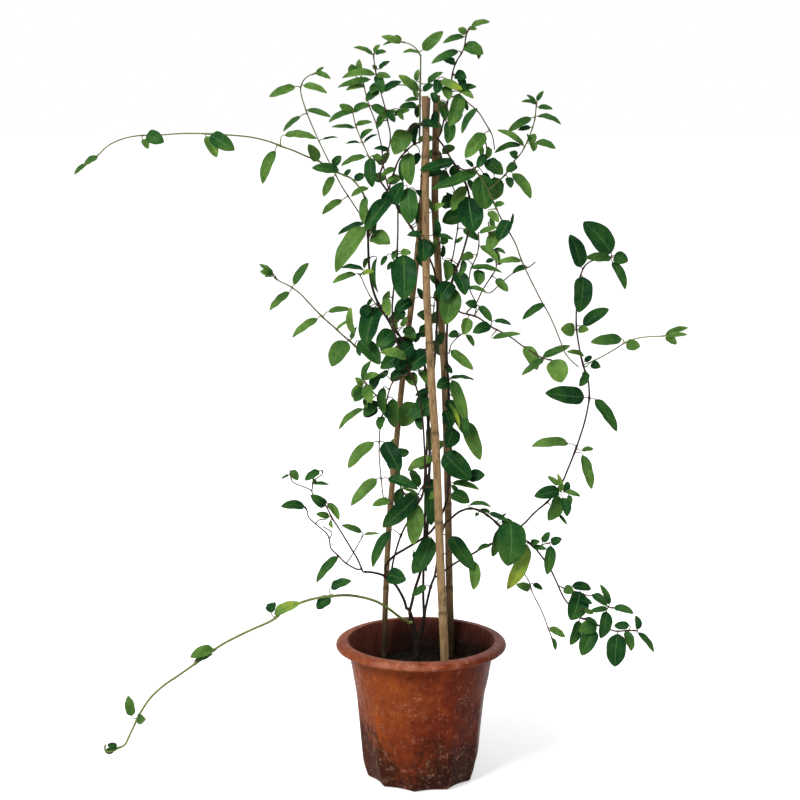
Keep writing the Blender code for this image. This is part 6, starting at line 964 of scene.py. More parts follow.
def sweep(shell, points, radii, sides, marks, material=0, pointed=True):
    """A round tube along the points. It ends in a point or in a flat face."""
    directions = [(b - a).normalized() for a, b in zip(points, points[1:])]
    directions.append(directions[-1])
    across = directions[0].orthogonal().normalized()
    rings = []
    for place, direction, radius, mark in zip(points, directions, radii, marks):
        across = (across - direction * across.dot(direction)).normalized()
        over = direction.cross(across)
        rings.append(shell.ring(place, across, over, radius, sides, mark))
    for lower, upper in zip(rings, rings[1:]):
        shell.join(lower, upper, material)
    shell.face(tuple(reversed(rings[0])), material)
    if pointed:
        tip = shell.point(points[-1] + directions[-1] * radii[-1] * POINT_LENGTH, marks[-1])
        for k in range(sides):
            shell.face((rings[-1][k], rings[-1][(k + 1) % sides], tip), material)
    else:
        shell.face(tuple(rings[-1]), material)
    return rings


# Leaves.

LEAF_ROWS = rounded(LEAF_OUTLINE, 2)


def leaf_axes(leaf, stems, shifts):
    """A leaf's joint on its stem, its base, tip, side and the normal of its upper face."""
    base_u, base_v, tip_u, tip_v, _, roll, depth, _ = leaf
    tip_shift, base_shift, roll_shift = shifts
    joint = nearest(stems, lift(base_u, base_v, 0), JOINT_MARGIN)[0]
    stem_depth = joint.y / CM
    base = lift(base_u, base_v, stem_depth + depth / 4 + base_shift)
    tip = lift(tip_u, tip_v, stem_depth + depth + tip_shift)
    along = (tip - base).normalized()
    front = Vector((0, -1, 0))
    facing = (front - along * along.dot(front)).normalized()
    upper_side = along.cross(facing)
    if upper_side.dot(Vector((math.copysign(0.5, base.x), 0, 1))) < 0:
        upper_side.negate()
    turn = math.radians(roll + roll_shift)
    normal = facing * math.cos(turn) + upper_side * math.sin(turn)
    return joint, base, tip, along.cross(normal), normal


def leaf_loft(leaf, stems, shifts, spare):
    """A plain leaf's cross-sections from its stem outward, and its tip."""
    joint, base, tip, side, normal = leaf_axes(leaf, stems, shifts)
    length = (tip - base).length
    along = (tip - base).normalized()

    def section(centre, onward, wide):
        edge = (side - onward * side.dot(onward)).normalized()
        over = edge.cross(onward)
        edge *= wide / 2 + spare
        return [centre - edge + over * spare, centre + edge + over * spare,
                centre - over * (BLADE + spare)]

    blade = []
    for part, fullness in LONG_STATIONS if length > LONG_LEAF else STATIONS:
        arch = normal * (BOW * length * 4 * part * (1 - part))
        blade.append(section(base.lerp(tip, part) + arch, along, leaf[4] * CM * fullness))
    middle = sum(blade[0], Vector()) / 3
    stalk = section(joint, (middle - joint).normalized(), STALK)
    return [stalk, *blade], tip + along * spare


def loft(rings, tip):
    """The vertices and faces of a skin over three-cornered rings, closed at a tip."""
    vertices = [place for ring in rings for place in ring] + [tip]
    end = len(vertices) - 1
    faces = [(2, 1, 0)]
    for start in range(0, end - 3, 3):
        for k in range(3):
            following = start + (k + 1) % 3
            faces.append((start + k, following, following + 3, start + k + 3))
    faces += [(end - 3 + k, end - 3 + (k + 1) % 3, end) for k in range(3)]
    return vertices, faces


class Obstacle:
    """A skin that leaves are kept clear of, with its box for a quick first test."""

    def __init__(self, vertices, faces):
        self.tree = BVHTree.FromPolygons(vertices, faces)
        self.low = [min(v[i] for v in vertices) for i in range(3)]
        self.high = [max(v[i] for v in vertices) for i in range(3)]

    def touches(self, other):
        near = all(self.low[i] <= other.high[i] and other.low[i] <= self.high[i]
                   for i in range(3))
        return near and bool(self.tree.overlap(other.tree))


def leaf_shifts():
    """Shifts in depth (cm) and roll (degrees) for a crowded leaf, the smallest first."""
    tips = [0.3 * i for i in range(-14, 15)]
    bases = [0.25 * i for i in range(-6, 7)]
    rolls = [15 * i for i in range(-3, 4)]
    shifts = [(tip, base, roll) for tip in tips for base in bases for roll in rolls]
    return sorted(shifts, key=lambda s: (abs(s[0]) + 1.5 * abs(s[1]) + abs(s[2]) / 25, s))


def leaf_skins(leaf, stems, shift, spare):
    """The skins of a whole plain leaf and of its blade without the stalk."""
    rings, tip = leaf_loft(leaf, stems, shift, spare)
    return Obstacle(*loft(rings, tip)), Obstacle(*loft(rings[1:], tip))


def find_room(leaf, stems, kin, others, shifts):
    """The smallest shift that keeps a leaf clear of the others and of its kin's blades."""
    for shift in shifts:
        whole, blade = leaf_skins(leaf, stems, shift, LEAF_CLEARANCE)
        if any(whole.touches(other) for other in others):
            continue
        if any(blade.touches(near_whole) or (near_blade and whole.touches(near_blade))
               for near_whole, near_blade in kin):
            continue
        return shift
    return shifts[0]


def settle_leaves(coarse, still):
    """The shift of every leaf, by shoot, found among plain stems and leaves."""
    skins = {}
    for name, _, stems, _ in SHOOTS:
        sides = 6 if stems[0][0] > THICK_STEM else 4
        skins[name] = []
        for stem in coarse[name]:
            shell = Shell()
            marks = [(0, 0, 0)] * len(stem.points)
            sweep(shell, stem.points, stem.radii, sides, marks, pointed=False)
            skins[name].append((Obstacle(shell.places, shell.faces), None))
    shifts = leaf_shifts()
    settled = {}
    for name, _, _, leaves in SHOOTS:
        strangers = [whole for key in skins if key != name for whole, _ in skins[key]]
        settled[name] = []
        for leaf in leaves:
            shift = find_room(leaf, coarse[name], skins[name], still + strangers, shifts)
            settled[name].append(shift)
            skins[name].append(leaf_skins(leaf, coarse[name], shift, 0))
    return settled


def grow_blade(shell, axes, width, tone, luck):
    """A closed, thin leaf blade: folded at its midrib, arched, waved and a little twisted."""
    _, base, tip, side, normal = axes
    length = (tip - base).length
    fold = math.radians(luck.uniform(*FOLDS)) * min(1, WIDE_LEAF / width)
    twist = math.radians(luck.uniform(*TWISTS))
    bow = BOW * luck.uniform(*ARCHES)
    bend = luck.uniform(*BENDS)
    waves = luck.uniform(*WAVES)
    wave_height = luck.uniform(*WAVE_HEIGHTS) * width
    wave_start = luck.uniform(0, 2 * math.pi)
    shade = luck.uniform(*SHADES)
    half = LEAF_COLUMNS // 2
    upper_rows = []
    lower_rows = []
    for part, fullness in LEAF_ROWS:
        turn = twist * (part - TWIST_CENTRE)
        across = side * math.cos(turn) + normal * math.sin(turn)
        up = normal * math.cos(turn) - side * math.sin(turn)
        centre = base.lerp(tip, part) + normal * (bow * length * 4 * part * (1 - part))
        centre += side * (bend * length * math.sin(math.pi * part))
        upper = []
        lower = []
        for column in range(-half, half + 1):
            out = column / half
            reach = out * fullness * width / 2 * FOLD_ALLOWANCE
            phase = wave_start + waves * 2 * math.pi * part + (WAVE_OFFSET if out > 0 else 0)
            wave = wave_height * out ** 2 * math.sin(phase)
            place = centre + across * (reach * math.cos(fold))
            rise = abs(reach) - fullness * width / 4
            place += up * (rise * math.sin(fold) + wave * fullness)
            mark = (out, part, min(max(tone + shade, 0), 1))
            upper.append(shell.point(place, mark))
            if abs(column) == half:
                lower.append(upper[-1])
            else:
                lower.append(shell.point(place - up * LEAF_THICKNESS, mark))
        upper_rows.append(upper)
        lower_rows.append(lower)
    spans = zip(upper_rows, upper_rows[1:], lower_rows, lower_rows[1:])
    for top, next_top, under, next_under in spans:
        for k in range(LEAF_COLUMNS):
            shell.face((top[k], top[k + 1], next_top[k + 1]), 0)
            shell.face((top[k], next_top[k + 1], next_top[k]), 0)
            shell.face((under[k], next_under[k + 1], under[k + 1]), 1)
            shell.face((under[k], next_under[k], next_under[k + 1]), 1)
        shell.crease(top[0], next_top[0])
        shell.crease(top[-1], next_top[-1])
    for row, onward in ((0, False), (-1, True)):
        rim = upper_rows[row] + lower_rows[row][-2:0:-1]
        shell.face(tuple(rim if onward else reversed(rim)), 1)


def grow_stalk(shell, axes, tone):
    """The stalk that carries a leaf: it leaves its stem and bends to the midrib."""
    joint, base, tip, _, normal = axes
    along = (tip - base).normalized()
    reach = (base - joint).length
    back, up = STALK_BEND
    control = base - along * reach * back + normal * reach * up
    points = [joint.lerp(control, t).lerp(control.lerp(base, t), t)
              for t in (0, 0.25, 0.5, 0.75, 1)]
    points.append(base + along * MM + normal * (BOW * 4 * MM - LEAF_THICKNESS))
    radii = [STALK_RADIUS * part for part in STALK_TAPER]
    marks = [(STALK_YOUTH, 0, tone)] * len(points)
    sweep(shell, points, radii, STALK_COLUMNS, marks)


def stem_youth(thickness):
    """How green a stem of that thickness is, from 0 for bark to 1."""
    return min(max((BARK_THICKNESS - thickness) / (BARK_THICKNESS - GREEN_THICKNESS), 0), 1)


def grow_shoot(name, fine, leaves, shifts, materials):
    """The fine stems and leaves of one shoot, as two pieces."""
    luck = random.Random(name)
    wood = Shell()
    foliage = Shell()
    green = STEM_GREENS.get(name, 0)
    joints = []
    for leaf, shift in zip(leaves, shifts):
        axes = leaf_axes(leaf, fine, shift)
        joints.append(axes[0])
        grow_stalk(wood, axes, green)
        grow_blade(foliage, axes, leaf[4] * CM, leaf[7], luck)
    for stem in fine:
        first, last = stem.ends
        count = len(stem.points)
        radii = []
        marks = []
        for i, (place, radius) in enumerate(zip(stem.points, stem.radii)):
            reach = min((place - joint).length for joint in joints)
            swell = bell(reach, JOINT_SWELL, JOINT_SPREAD)
            swell += bell((place - stem.points[0]).length, ROOT_SWELL, JOINT_SPREAD)
            swell += luck.uniform(-STEM_UNEVENNESS, STEM_UNEVENNESS)
            radius = max(radius, THINNEST) * (1 + swell)
            radii.append(radius)
            youth = stem_youth(first + (last - first) * i / count)
            marks.append((youth, i / count, green))
        points = stem.points
        if stem.root:
            points = [stem.root, *points]
            radii.insert(0, radii[0])
            marks.insert(0, marks[0])
        sweep(wood, points, radii, 10 if first > THICK_STEM else 8, marks)
    stems = wood.make(f"{name}_stems", [materials["stem"]])
    place_piece(stems, "leafy_shoot", name)
    blades = foliage.make(f"{name}_leaves", [materials["leaf_top"], materials["leaf_back"]])
    place_piece(blades, "leafy_shoot", name)


# The pot, the soil, the stakes and the crown.


def fluted(radius, height, angle):
    """A point in metres of the pot's wall, in millimetres, with the flutes pressed in."""
    if radius > DRAIN_CIRCLE + DRAIN_RADIUS:
        wave = math.sin(angle * FLUTES / 2) ** 2 + CREST_ROUNDING
        radius -= between(FLUTE_PROFILE, height) * wave ** (FLUTE_BLUNTNESS / 2)
    turned = angle + FLUTE_TURN
    return Vector((radius * math.cos(turned), radius * math.sin(turned), height)) * MM


def turn(shell, profile, columns, shape, marks=None):
    """A solid turned from a profile that runs from the axis below, out and up, to the axis."""
    marks = marks or [(0, 0, 0)] * len(profile)
    angles = [2 * math.pi * k / columns for k in range(columns)]
    rings = [[shell.point(shape(radius, height, a), mark) for a in angles]
             for (radius, height), mark in zip(profile[1:-1], marks[1:-1])]
    first = shell.point(shape(*profile[0], 0), marks[0])
    last = shell.point(shape(*profile[-1], 0), marks[-1])
    for lower, upper in zip(rings, rings[1:]):
        shell.join(lower, upper)
    for k in range(columns):
        following = (k + 1) % columns
        shell.face((first, rings[0][following], rings[0][k]))
        shell.face((last, rings[-1][k], rings[-1][following]))


def pot_profile():
    """The pot's profile from under its middle, and marks that tell the inside from the rest."""
    wall = [(radius, height) for height, radius in WALL_PROFILE]
    outside = [(0, 0), *[(radius, 0) for radius in FOOT_RINGS],
               *rounded([*FOOT_CORNER, wall[1]], 3),
               *rounded([*wall[1:], NECK], 6)[1:], *rounded(RIM_PROFILE, 5)]
    inner_neck = (NECK[0] - WALL, NECK[1])
    foot_of_neck = (wall[-1][0] - WALL, wall[-1][1])
    lip = rounded([RIM_PROFILE[-1], LIP_EDGE, inner_neck, foot_of_neck], 4)[1:]
    heights = range(wall[-1][1] - INSIDE_STEP, wall[1][1], -INSIDE_STEP)
    down = [(between(WALL_PROFILE, height) - WALL, height) for height in heights]
    inside = [*lip, *down, (down[-1][0] - INSIDE_CORNER, FLOOR),
              *[(radius, FLOOR) for radius in FLOOR_RINGS], (0, FLOOR)]
    marks = [(0, 0, 0)] * len(outside) + [(1, 0, 0)] * len(inside)
    return outside + inside, marks


def make_pot(materials):
    shell = Shell()
    profile, marks = pot_profile()
    turn(shell, profile, POT_COLUMNS, fluted, marks)
    shell.materials = [int(all(shell.marks[corner][0] for corner in face))
                       for face in shell.faces]
    pot = shell.make("pot_shell", [materials["pot"], materials["pot_inside"]])
    drills = bpy.data.collections.new("drills")
    for i in range(DRAIN_HOLES):
        angle = 2 * math.pi * i / DRAIN_HOLES
        centre = Vector((math.cos(angle), math.sin(angle), 0)) * DRAIN_CIRCLE * MM
        drill = Shell()
        low, high = DRILL_ENDS
        rod = [(0, low), (DRAIN_RADIUS, low), (DRAIN_RADIUS, high), (0, high)]
        turn(drill, rod, DRAIN_COLUMNS, lambda radius, height, a: centre + Vector(
            (radius * math.cos(a), radius * math.sin(a), height)) * MM)
        drills.objects.link(drill.make(f"drill_{i}", []))
    cut = pot.modifiers.new("Drill", "BOOLEAN")
    cut.operation = "DIFFERENCE"
    cut.solver = "EXACT"
    cut.operand_type = "COLLECTION"
    cut.collection = drills
    shaped = pot.evaluated_get(bpy.context.evaluated_depsgraph_get())
    pot.data = bpy.data.meshes.new_from_object(shaped)
    pot.modifiers.clear()
    for drill in list(drills.objects):
        bpy.data.objects.remove(drill)
    bpy.data.collections.remove(drills)
    place_piece(pot, "terracotta_plastic", "pot")


def soil_height(x, y):
    """How high the soil stands at a place, in metres."""
    height = SOIL_LEVEL - SOIL_SETTLING
    for pitch, rise, which in SOIL_RIPPLES:
        height += noise.noise(Vector((x * pitch, y * pitch, which))) * rise
    height += bell(math.hypot(x - MOUND_X, y), MOUND_HEIGHT, MOUND_REACH)
    return height * MM


def make_soil(materials):
    """The bed of soil and, as pieces of their own, the bits that lie on it."""
    edge = between(WALL_PROFILE, SOIL_LEVEL) - WALL - SOIL_GAP
    side = [(between(WALL_PROFILE, height) - WALL - SOIL_MARGIN, height)
            for height in SOIL_SIDES]
    top = [(edge * k / SOIL_RINGS, SOIL_LEVEL) for k in range(SOIL_RINGS, -1, -1)]

    def shape(radius, height, angle):
        place = fluted(radius, height, angle)
        if height == SOIL_LEVEL:
            place.z = soil_height(place.x, place.y)
        return place

    shell = Shell()
    turn(shell, [(0, FLOOR + SOIL_GAP), *side, *top], SOIL_COLUMNS, shape)
    place_piece(shell.make("soil_bed", [materials["soil"]]), "potting_soil", "soil")
    luck = random.Random(11)
    for name, kind, count, sizes, flatness in SOIL_BITS:
        scatter(name, materials[kind], luck, count, sizes, flatness)


def scatter(name, material, luck, count, sizes, flatness):
    """Small rough lumps strewn on the soil, as one piece."""
    shell = Shell()
    for _ in range(count):
        angle = luck.uniform(0, 2 * math.pi)
        radius = BITS_REACH * math.sqrt(luck.random())
        x = radius * math.cos(angle)
        y = radius * math.sin(angle)
        size = luck.uniform(*sizes) * MM
        centre = Vector((x, y, soil_height(x, y) + size * flatness * 0.25))
        lump(shell, centre, size, flatness, luck)
    place_piece(shell.make(name, [material]), "potting_soil", "soil")


def lump(shell, centre, size, flatness, luck):
    """A rough lump, turned from a profile and pulled out of round."""
    turned = luck.uniform(0, math.pi)
    stretch = luck.uniform(0.5, 1)
    lean = luck.uniform(-0.4, 0.4)

    def corner(radius, height, angle):
        rough = luck.uniform(0.8, 1.2)
        x = radius * math.cos(angle) * rough
        y = radius * math.sin(angle) * rough * stretch
        z = height * flatness + x * lean
        return centre + Vector((x * math.cos(turned) - y * math.sin(turned),
                                x * math.sin(turned) + y * math.cos(turned), z)) * size

    turn(shell, LUMP_PROFILE, LUMP_COLUMNS, corner)


def make_stake(name, foot, top, route, material):
    """A bamboo stake with a swollen ring and a groove at each node, and a hollow top."""
    line = smooth([lift(*point) for point in route], STAKE_NODE_HALF)
    count = len(line) - 1
    nodes = [round((i + FIRST_NODE) * STAKE_NODE_PITCH / STAKE_NODE_HALF)
             for i in range(int(count * STAKE_NODE_HALF / STAKE_NODE_PITCH))]
    luck = random.Random(name)
    radii = []
    marks = []
    for i in range(count + 1):
        taper = (foot + (top - foot) * i / count) * MM / 2
        away = min(nodes, key=lambda node: abs(node - i)) - i
        swell = bell(away, *NODE_RING) - bell(away + GROOVE_OFFSET, *NODE_GROOVE)
        radii.append(taper * (1 + swell + luck.uniform(-STAKE_UNEVENNESS, STAKE_UNEVENNESS)))
        marks.append((bell(away + 1, 1, NODE_MARK), i / count, 0))
    shell = Shell()
    rings = sweep(shell, line, radii, STAKE_COLUMNS, marks, pointed=False)
    hollow(shell, rings[-1], line[-1], (line[-1] - line[-2]).normalized())
    place_piece(shell.make(name.replace("stake", "bamboo"), [material]), "bamboo", name)


def hollow(shell, rim, centre, direction):
    """Sinks a blind hole into the flat end that was made last."""
    shell.faces.pop()
    shell.materials.pop()
    lip = [shell.point(centre.lerp(shell.places[k], BORE), (RIM_MARK, 1, 0)) for k in rim]
    down = direction * BORE_DEPTH
    # The well is marked dark: painted shade in the hole.
    well = [shell.point(shell.places[k] - down, (BORE_SHADE, 1, 0)) for k in lip]
    shell.join(rim, lip)
    shell.join(lip, well)
    shell.face(tuple(well))
    for ring in (rim, lip):
        for k in range(len(ring)):
            shell.crease(ring[k], ring[(k + 1) % len(ring)])


def make_crown(fine, material):
    """The woody crown with its forks, rough and a little knotted."""
    shell = Shell()
    luck = random.Random(5)
    for stem in fine:
        radii = [radius * luck.uniform(*CROWN_UNEVENNESS) for radius in stem.radii]
        marks = [(0, 0, 0)] * len(radii)
        sweep(shell, stem.points, radii, CROWN_COLUMNS, marks)
    place_piece(shell.make("crown_wood", [material]), "woody_stem", "crown")


# Materials.


def rgb(red, green, blue):
    """A colour written in bytes, 0 to 255, as the shader wants it."""
    return (*[((c / 255 + 0.055) / 1.055) ** 2.4 if c > 10 else c / 255 / 12.92
              for c in (red, green, blue)], 1)


class Graph:
    """Adds nodes to a material's or a group's tree and joins them up."""

    def __init__(self, tree):
        self.tree = tree

    def add(self, kind, inputs, **settings):
        """A node with its settings, its inputs fed by values or by other nodes' sockets."""
        made = self.tree.nodes.new("ShaderNode" + kind)
        for key, value in settings.items():
            setattr(made, key, value)
        for key, value in inputs.items():
            if isinstance(value, bpy.types.NodeSocket):
                self.tree.links.new(value, made.inputs[key])
            else:
                made.inputs[key].default_value = value
        return made

    def sum(self, operation, first, second=0, third=0):
        values = {0: first, 1: second, 2: third}
        return self.add("Math", values, operation=operation).outputs[0]

    def times(self, first, second):
        return self.sum("MULTIPLY", first, second)

    def split(self, vector):
        return self.add("SeparateXYZ", {0: vector}).outputs

    def mix(self, part, first, second):
        """A colour between two colours."""
        values = {0: part, 6: first, 7: second}
        return self.add("Mix", values, data_type="RGBA").outputs[2]

    def tint(self, colour, mask, share, shade):
        """The colour turned to a shade where the mask is, up to that share."""
        return self.mix(self.times(mask, share), colour, shade)

    def noise(self, place, scale, detail=3, roughness=0.55):
        values = {"Vector": place, "Scale": scale, "Detail": detail, "Roughness": roughness}
        return self.add("TexNoise", values).outputs["Fac"]

    def spread(self, value, low, high, to_low=0, to_high=1):
        """The value with its range from low to high drawn out to another range."""
        values = {"Value": value, "From Min": low, "From Max": high,
                  "To Min": to_low, "To Max": to_high}
        return self.add("MapRange", values).outputs["Result"]

    def ramp(self, value, stops):
        """The colour at the value among the stops, each (position, colour)."""
        made = self.add("ValToRGB", {0: value})
        band = made.color_ramp
        while len(band.elements) < len(stops):
            band.elements.new(0.5)
        for element, (position, colour) in zip(band.elements, stops):
            element.position = position
            element.color = colour
        return made.outputs["Color"]

    def bump(self, height, distance, strength=1):
        values = {"Height": height, "Distance": distance, "Strength": strength}
        return self.add("Bump", values).outputs["Normal"]

    def use(self, name, inputs):
        """The outputs of a node group with its inputs fed."""
        return self.add("Group", inputs, node_tree=bpy.data.node_groups[name]).outputs

    def pattern(self, name, place, scale, **inputs):
        """A node group's pattern at that scale."""
        return self.use(name, {"Place": place, "Scale": scale, **inputs})[0]


def new_group(name, inputs, outputs):
    """A shader node group: its graph, its inputs by name, and a function that sets an output.

    The inputs are {name: default}; a default of None makes a vector.
    """
    tree = bpy.data.node_groups.new(name, "ShaderNodeTree")
    for key, value in inputs.items():
        kind = "NodeSocketVector" if value is None else "NodeSocketFloat"
        socket = tree.interface.new_socket(name=key, in_out="INPUT", socket_type=kind)
        if value is not None:
            socket.default_value = value
    for key in outputs:
        tree.interface.new_socket(name=key, in_out="OUTPUT", socket_type="NodeSocketFloat")
    graph = Graph(tree)
    entry = tree.nodes.new("NodeGroupInput").outputs
    leave = tree.nodes.new("NodeGroupOutput").inputs
    return graph, entry, lambda key, value: tree.links.new(value, leave[key])


def mottle_group():
    """Clouds at two sizes, for uneven colour."""
    graph, entry, put = new_group("Mottle", {"Place": None, "Scale": 10}, ["Amount"])
    broad = graph.noise(entry["Place"], entry["Scale"], 2)
    fine_scale = graph.times(entry["Scale"], 5.3)
    fine = graph.noise(entry["Place"], fine_scale, 4, 0.6)
    both = graph.sum("MULTIPLY_ADD", fine, 0.4, graph.times(broad, 0.6))
    put("Amount", graph.spread(both, 0.34, 0.66))


def fibres_group():
    """Fine streaks that run up and down."""
    inputs = {"Place": None, "Scale": 300, "Length": 12}
    graph, entry, put = new_group("Fibres", inputs, ["Amount"])
    parts = graph.split(entry["Place"])
    drawn = graph.sum("DIVIDE", parts[2], entry["Length"])
    place = graph.add("CombineXYZ", {0: parts[0], 1: parts[1], 2: drawn}).outputs[0]
    streaks = graph.noise(place, entry["Scale"], 4, 0.65)
    put("Amount", graph.spread(streaks, 0.3, 0.7))


def specks_group():
    """Scattered spots, more or less clumped, that cover about the stated share."""
    inputs = {"Place": None, "Scale": 200, "Share": 0.2, "Softness": 0.08, "Clumping": 0.5}
    graph, entry, put = new_group("Specks", inputs, ["Mask"])
    grain = graph.noise(entry["Place"], entry["Scale"], 5, 0.62)
    patches = graph.noise(entry["Place"], graph.times(entry["Scale"], 0.13), 2)
    lean = graph.sum("SUBTRACT", patches, grain)
    level = graph.sum("MULTIPLY_ADD", lean, entry["Clumping"], grain)
    edge = graph.sum("SUBTRACT", 0.68, graph.times(entry["Share"], 0.36))
    soft = graph.sum("ADD", edge, entry["Softness"])
    put("Mask", graph.spread(level, edge, soft))


def veins_group():
    """A leaf's midrib, side veins and relief, from its marks across and along."""
    graph, entry, put = new_group("Leaf Veins", {"Marks": None}, ["Midrib", "Veins", "Relief"])
    parts = graph.split(entry["Marks"])
    out = graph.sum("ABSOLUTE", parts[0])
    midrib = graph.spread(out, 0.015, 0.075, 1, 0)
    slanted = graph.sum("SUBTRACT", graph.times(parts[1], 7.5), graph.times(out, 2))
    pulse = graph.sum("PINGPONG", slanted, 0.5)
    thin = graph.spread(pulse, 0, 0.11, 1, 0)
    veins = graph.times(thin, graph.spread(out, 0.3, 1, 1, 0))
    put("Midrib", midrib)
    put("Veins", veins)
    put("Relief", graph.sum("MAXIMUM", midrib, graph.times(veins, 0.35)))


def new_material(name, shine):
    """A material of a plain shine: its graph, its places and its marks."""
    made = bpy.data.materials.new(name)
    made.use_nodes = True
    graph = Graph(made.node_tree)
    graph.tree.nodes["Principled BSDF"].inputs["Specular IOR Level"].default_value = shine
    place = graph.add("TexCoord", {}).outputs["Object"]
    marks = graph.add("Attribute", {}, attribute_name="marks").outputs["Vector"]
    return made, graph, place, marks


def connect(graph, colour, roughness, normal):
    inputs = graph.tree.nodes["Principled BSDF"].inputs
    for key, value in (("Base Color", colour), ("Roughness", roughness), ("Normal", normal)):
        graph.tree.links.new(value, inputs[key])


def leaf_material(name, stops, rib, rib_part, smoothness):
    """A leaf face: its colour by tone, clouded and specked, with paler veins, and painted shade
    that makes it darker at its base and paler towards its tip.
    """
    made, graph, place, marks = new_material(name, 0.07)
    parts = graph.split(marks)
    clouds = graph.pattern("Mottle", place, 30)
    spots = graph.pattern("Specks", place, 260, Share=0.1)
    # Painted shade: darker at the leaf's base, paler towards its tip.
    painted_length_shade = graph.spread(parts[1], 0, 1, -0.09, 0.11)
    shifted = graph.sum("ADD", parts[2], graph.spread(clouds, 0, 1, -0.19, 0.19))
    colour = graph.ramp(graph.sum("ADD", shifted, painted_length_shade), stops)
    midrib, veins, relief = graph.use("Leaf Veins", {"Marks": marks})
    colour = graph.tint(colour, veins, rib_part * 0.22, rib)
    colour = graph.tint(colour, midrib, rib_part, rib)
    colour = graph.tint(colour, spots, 0.5, rgb(92, 78, 34))
    grain = graph.noise(place, 900, 2)
    roughness = graph.spread(grain, 0.2, 0.8, smoothness, smoothness + 0.14)
    height = graph.sum("MULTIPLY_ADD", grain, 0.25, graph.times(relief, -1))
    connect(graph, colour, roughness, graph.bump(height, 0.0005, 0.9))
    return made


def stem_material():
    """Bark on the thick old stems, and a smooth green or purplish skin on the young ones."""
    made, graph, place, marks = new_material("stem_skin", 0.08)
    parts = graph.split(marks)
    streaks = graph.pattern("Fibres", place, 900, Length=5)
    clouds = graph.pattern("Mottle", place, 60)
    youth = graph.sum("ADD", parts[0], graph.spread(clouds, 0, 1, -0.15, 0.15))
    purple = graph.ramp(youth, [(0, rgb(30, 20, 19)), (0.45, rgb(52, 33, 31)),
                                (0.8, rgb(78, 58, 44)), (1, rgb(88, 88, 52))])
    green = graph.mix(clouds, rgb(98, 122, 58), rgb(134, 150, 84))
    colour = graph.mix(parts[2], purple, green)
    colour = graph.tint(colour, streaks, 0.22, rgb(104, 88, 70))
    roughness = graph.spread(streaks, 0, 1, 0.5, 0.75)
    connect(graph, colour, roughness, graph.bump(streaks, 0.0004, 0.7))
    return made


def bark_material():
    """The crown's rough grey-brown bark with some green moss low down."""
    made, graph, place, _ = new_material("crown_bark", 0.08)
    streaks = graph.pattern("Fibres", place, 420, Length=4)
    moss = graph.pattern("Specks", place, 240, Share=0.26)
    colour = graph.mix(streaks, rgb(13, 11, 10), rgb(46, 37, 30))
    colour = graph.tint(colour, moss, 0.6, rgb(88, 92, 58))
    roughness = graph.spread(streaks, 0, 1, 0.7, 0.9)
    connect(graph, colour, roughness, graph.bump(streaks, 0.0012))
    return made


def bamboo_material(name, light, middle, dark, aged, pot_shade):
    """A weathered cane: long fibres, stains, flecks, and a dark ring at each of its nodes.

    It is darker and browner from the first height of aged, in metres, to the second, and painted
    dark near the soil, to the share that its last argument gives, as the shade inside the pot.
    """
    made, graph, place, marks = new_material(name, 0.12)
    ring = graph.split(marks)[0]
    parts = graph.split(place)
    fibres = graph.pattern("Fibres", place, 620, Length=14)
    broad = graph.pattern("Fibres", place, 190, Length=5)
    stains = graph.pattern("Mottle", place, 48)
    shortened = graph.sum("DIVIDE", parts[2], 2.5)
    squeezed = graph.add("CombineXYZ", {0: parts[0], 1: parts[1], 2: shortened}).outputs[0]
    flecks = graph.pattern("Specks", squeezed, 560, Share=0.36, Softness=0.07, Clumping=0.5)
    colour = graph.mix(fibres, middle, light)
    colour = graph.mix(graph.spread(parts[2], *aged, 0, 0.6), colour, rgb(122, 94, 64))
    colour = graph.mix(graph.spread(stains, 0.3, 0.9, 0, 0.55), colour, middle)
    colour = graph.mix(graph.spread(broad, 0.45, 1, 0, 0.75), colour, dark)
    colour = graph.tint(colour, flecks, 0.55, dark)
    colour = graph.tint(colour, ring, 0.8, dark)
    # Painted shade: the stake turns near black inside the pot, towards the soil.
    colour = graph.mix(graph.spread(parts[2], 0.19, 0.27, pot_shade, 0), colour, rgb(22, 17, 13))
    roughness = graph.spread(fibres, 0, 1, 0.5, 0.75)
    relief = graph.sum("MULTIPLY_ADD", broad, 1.5, fibres)
    connect(graph, colour, roughness, graph.bump(relief, 0.0008, 0.9))
    return made


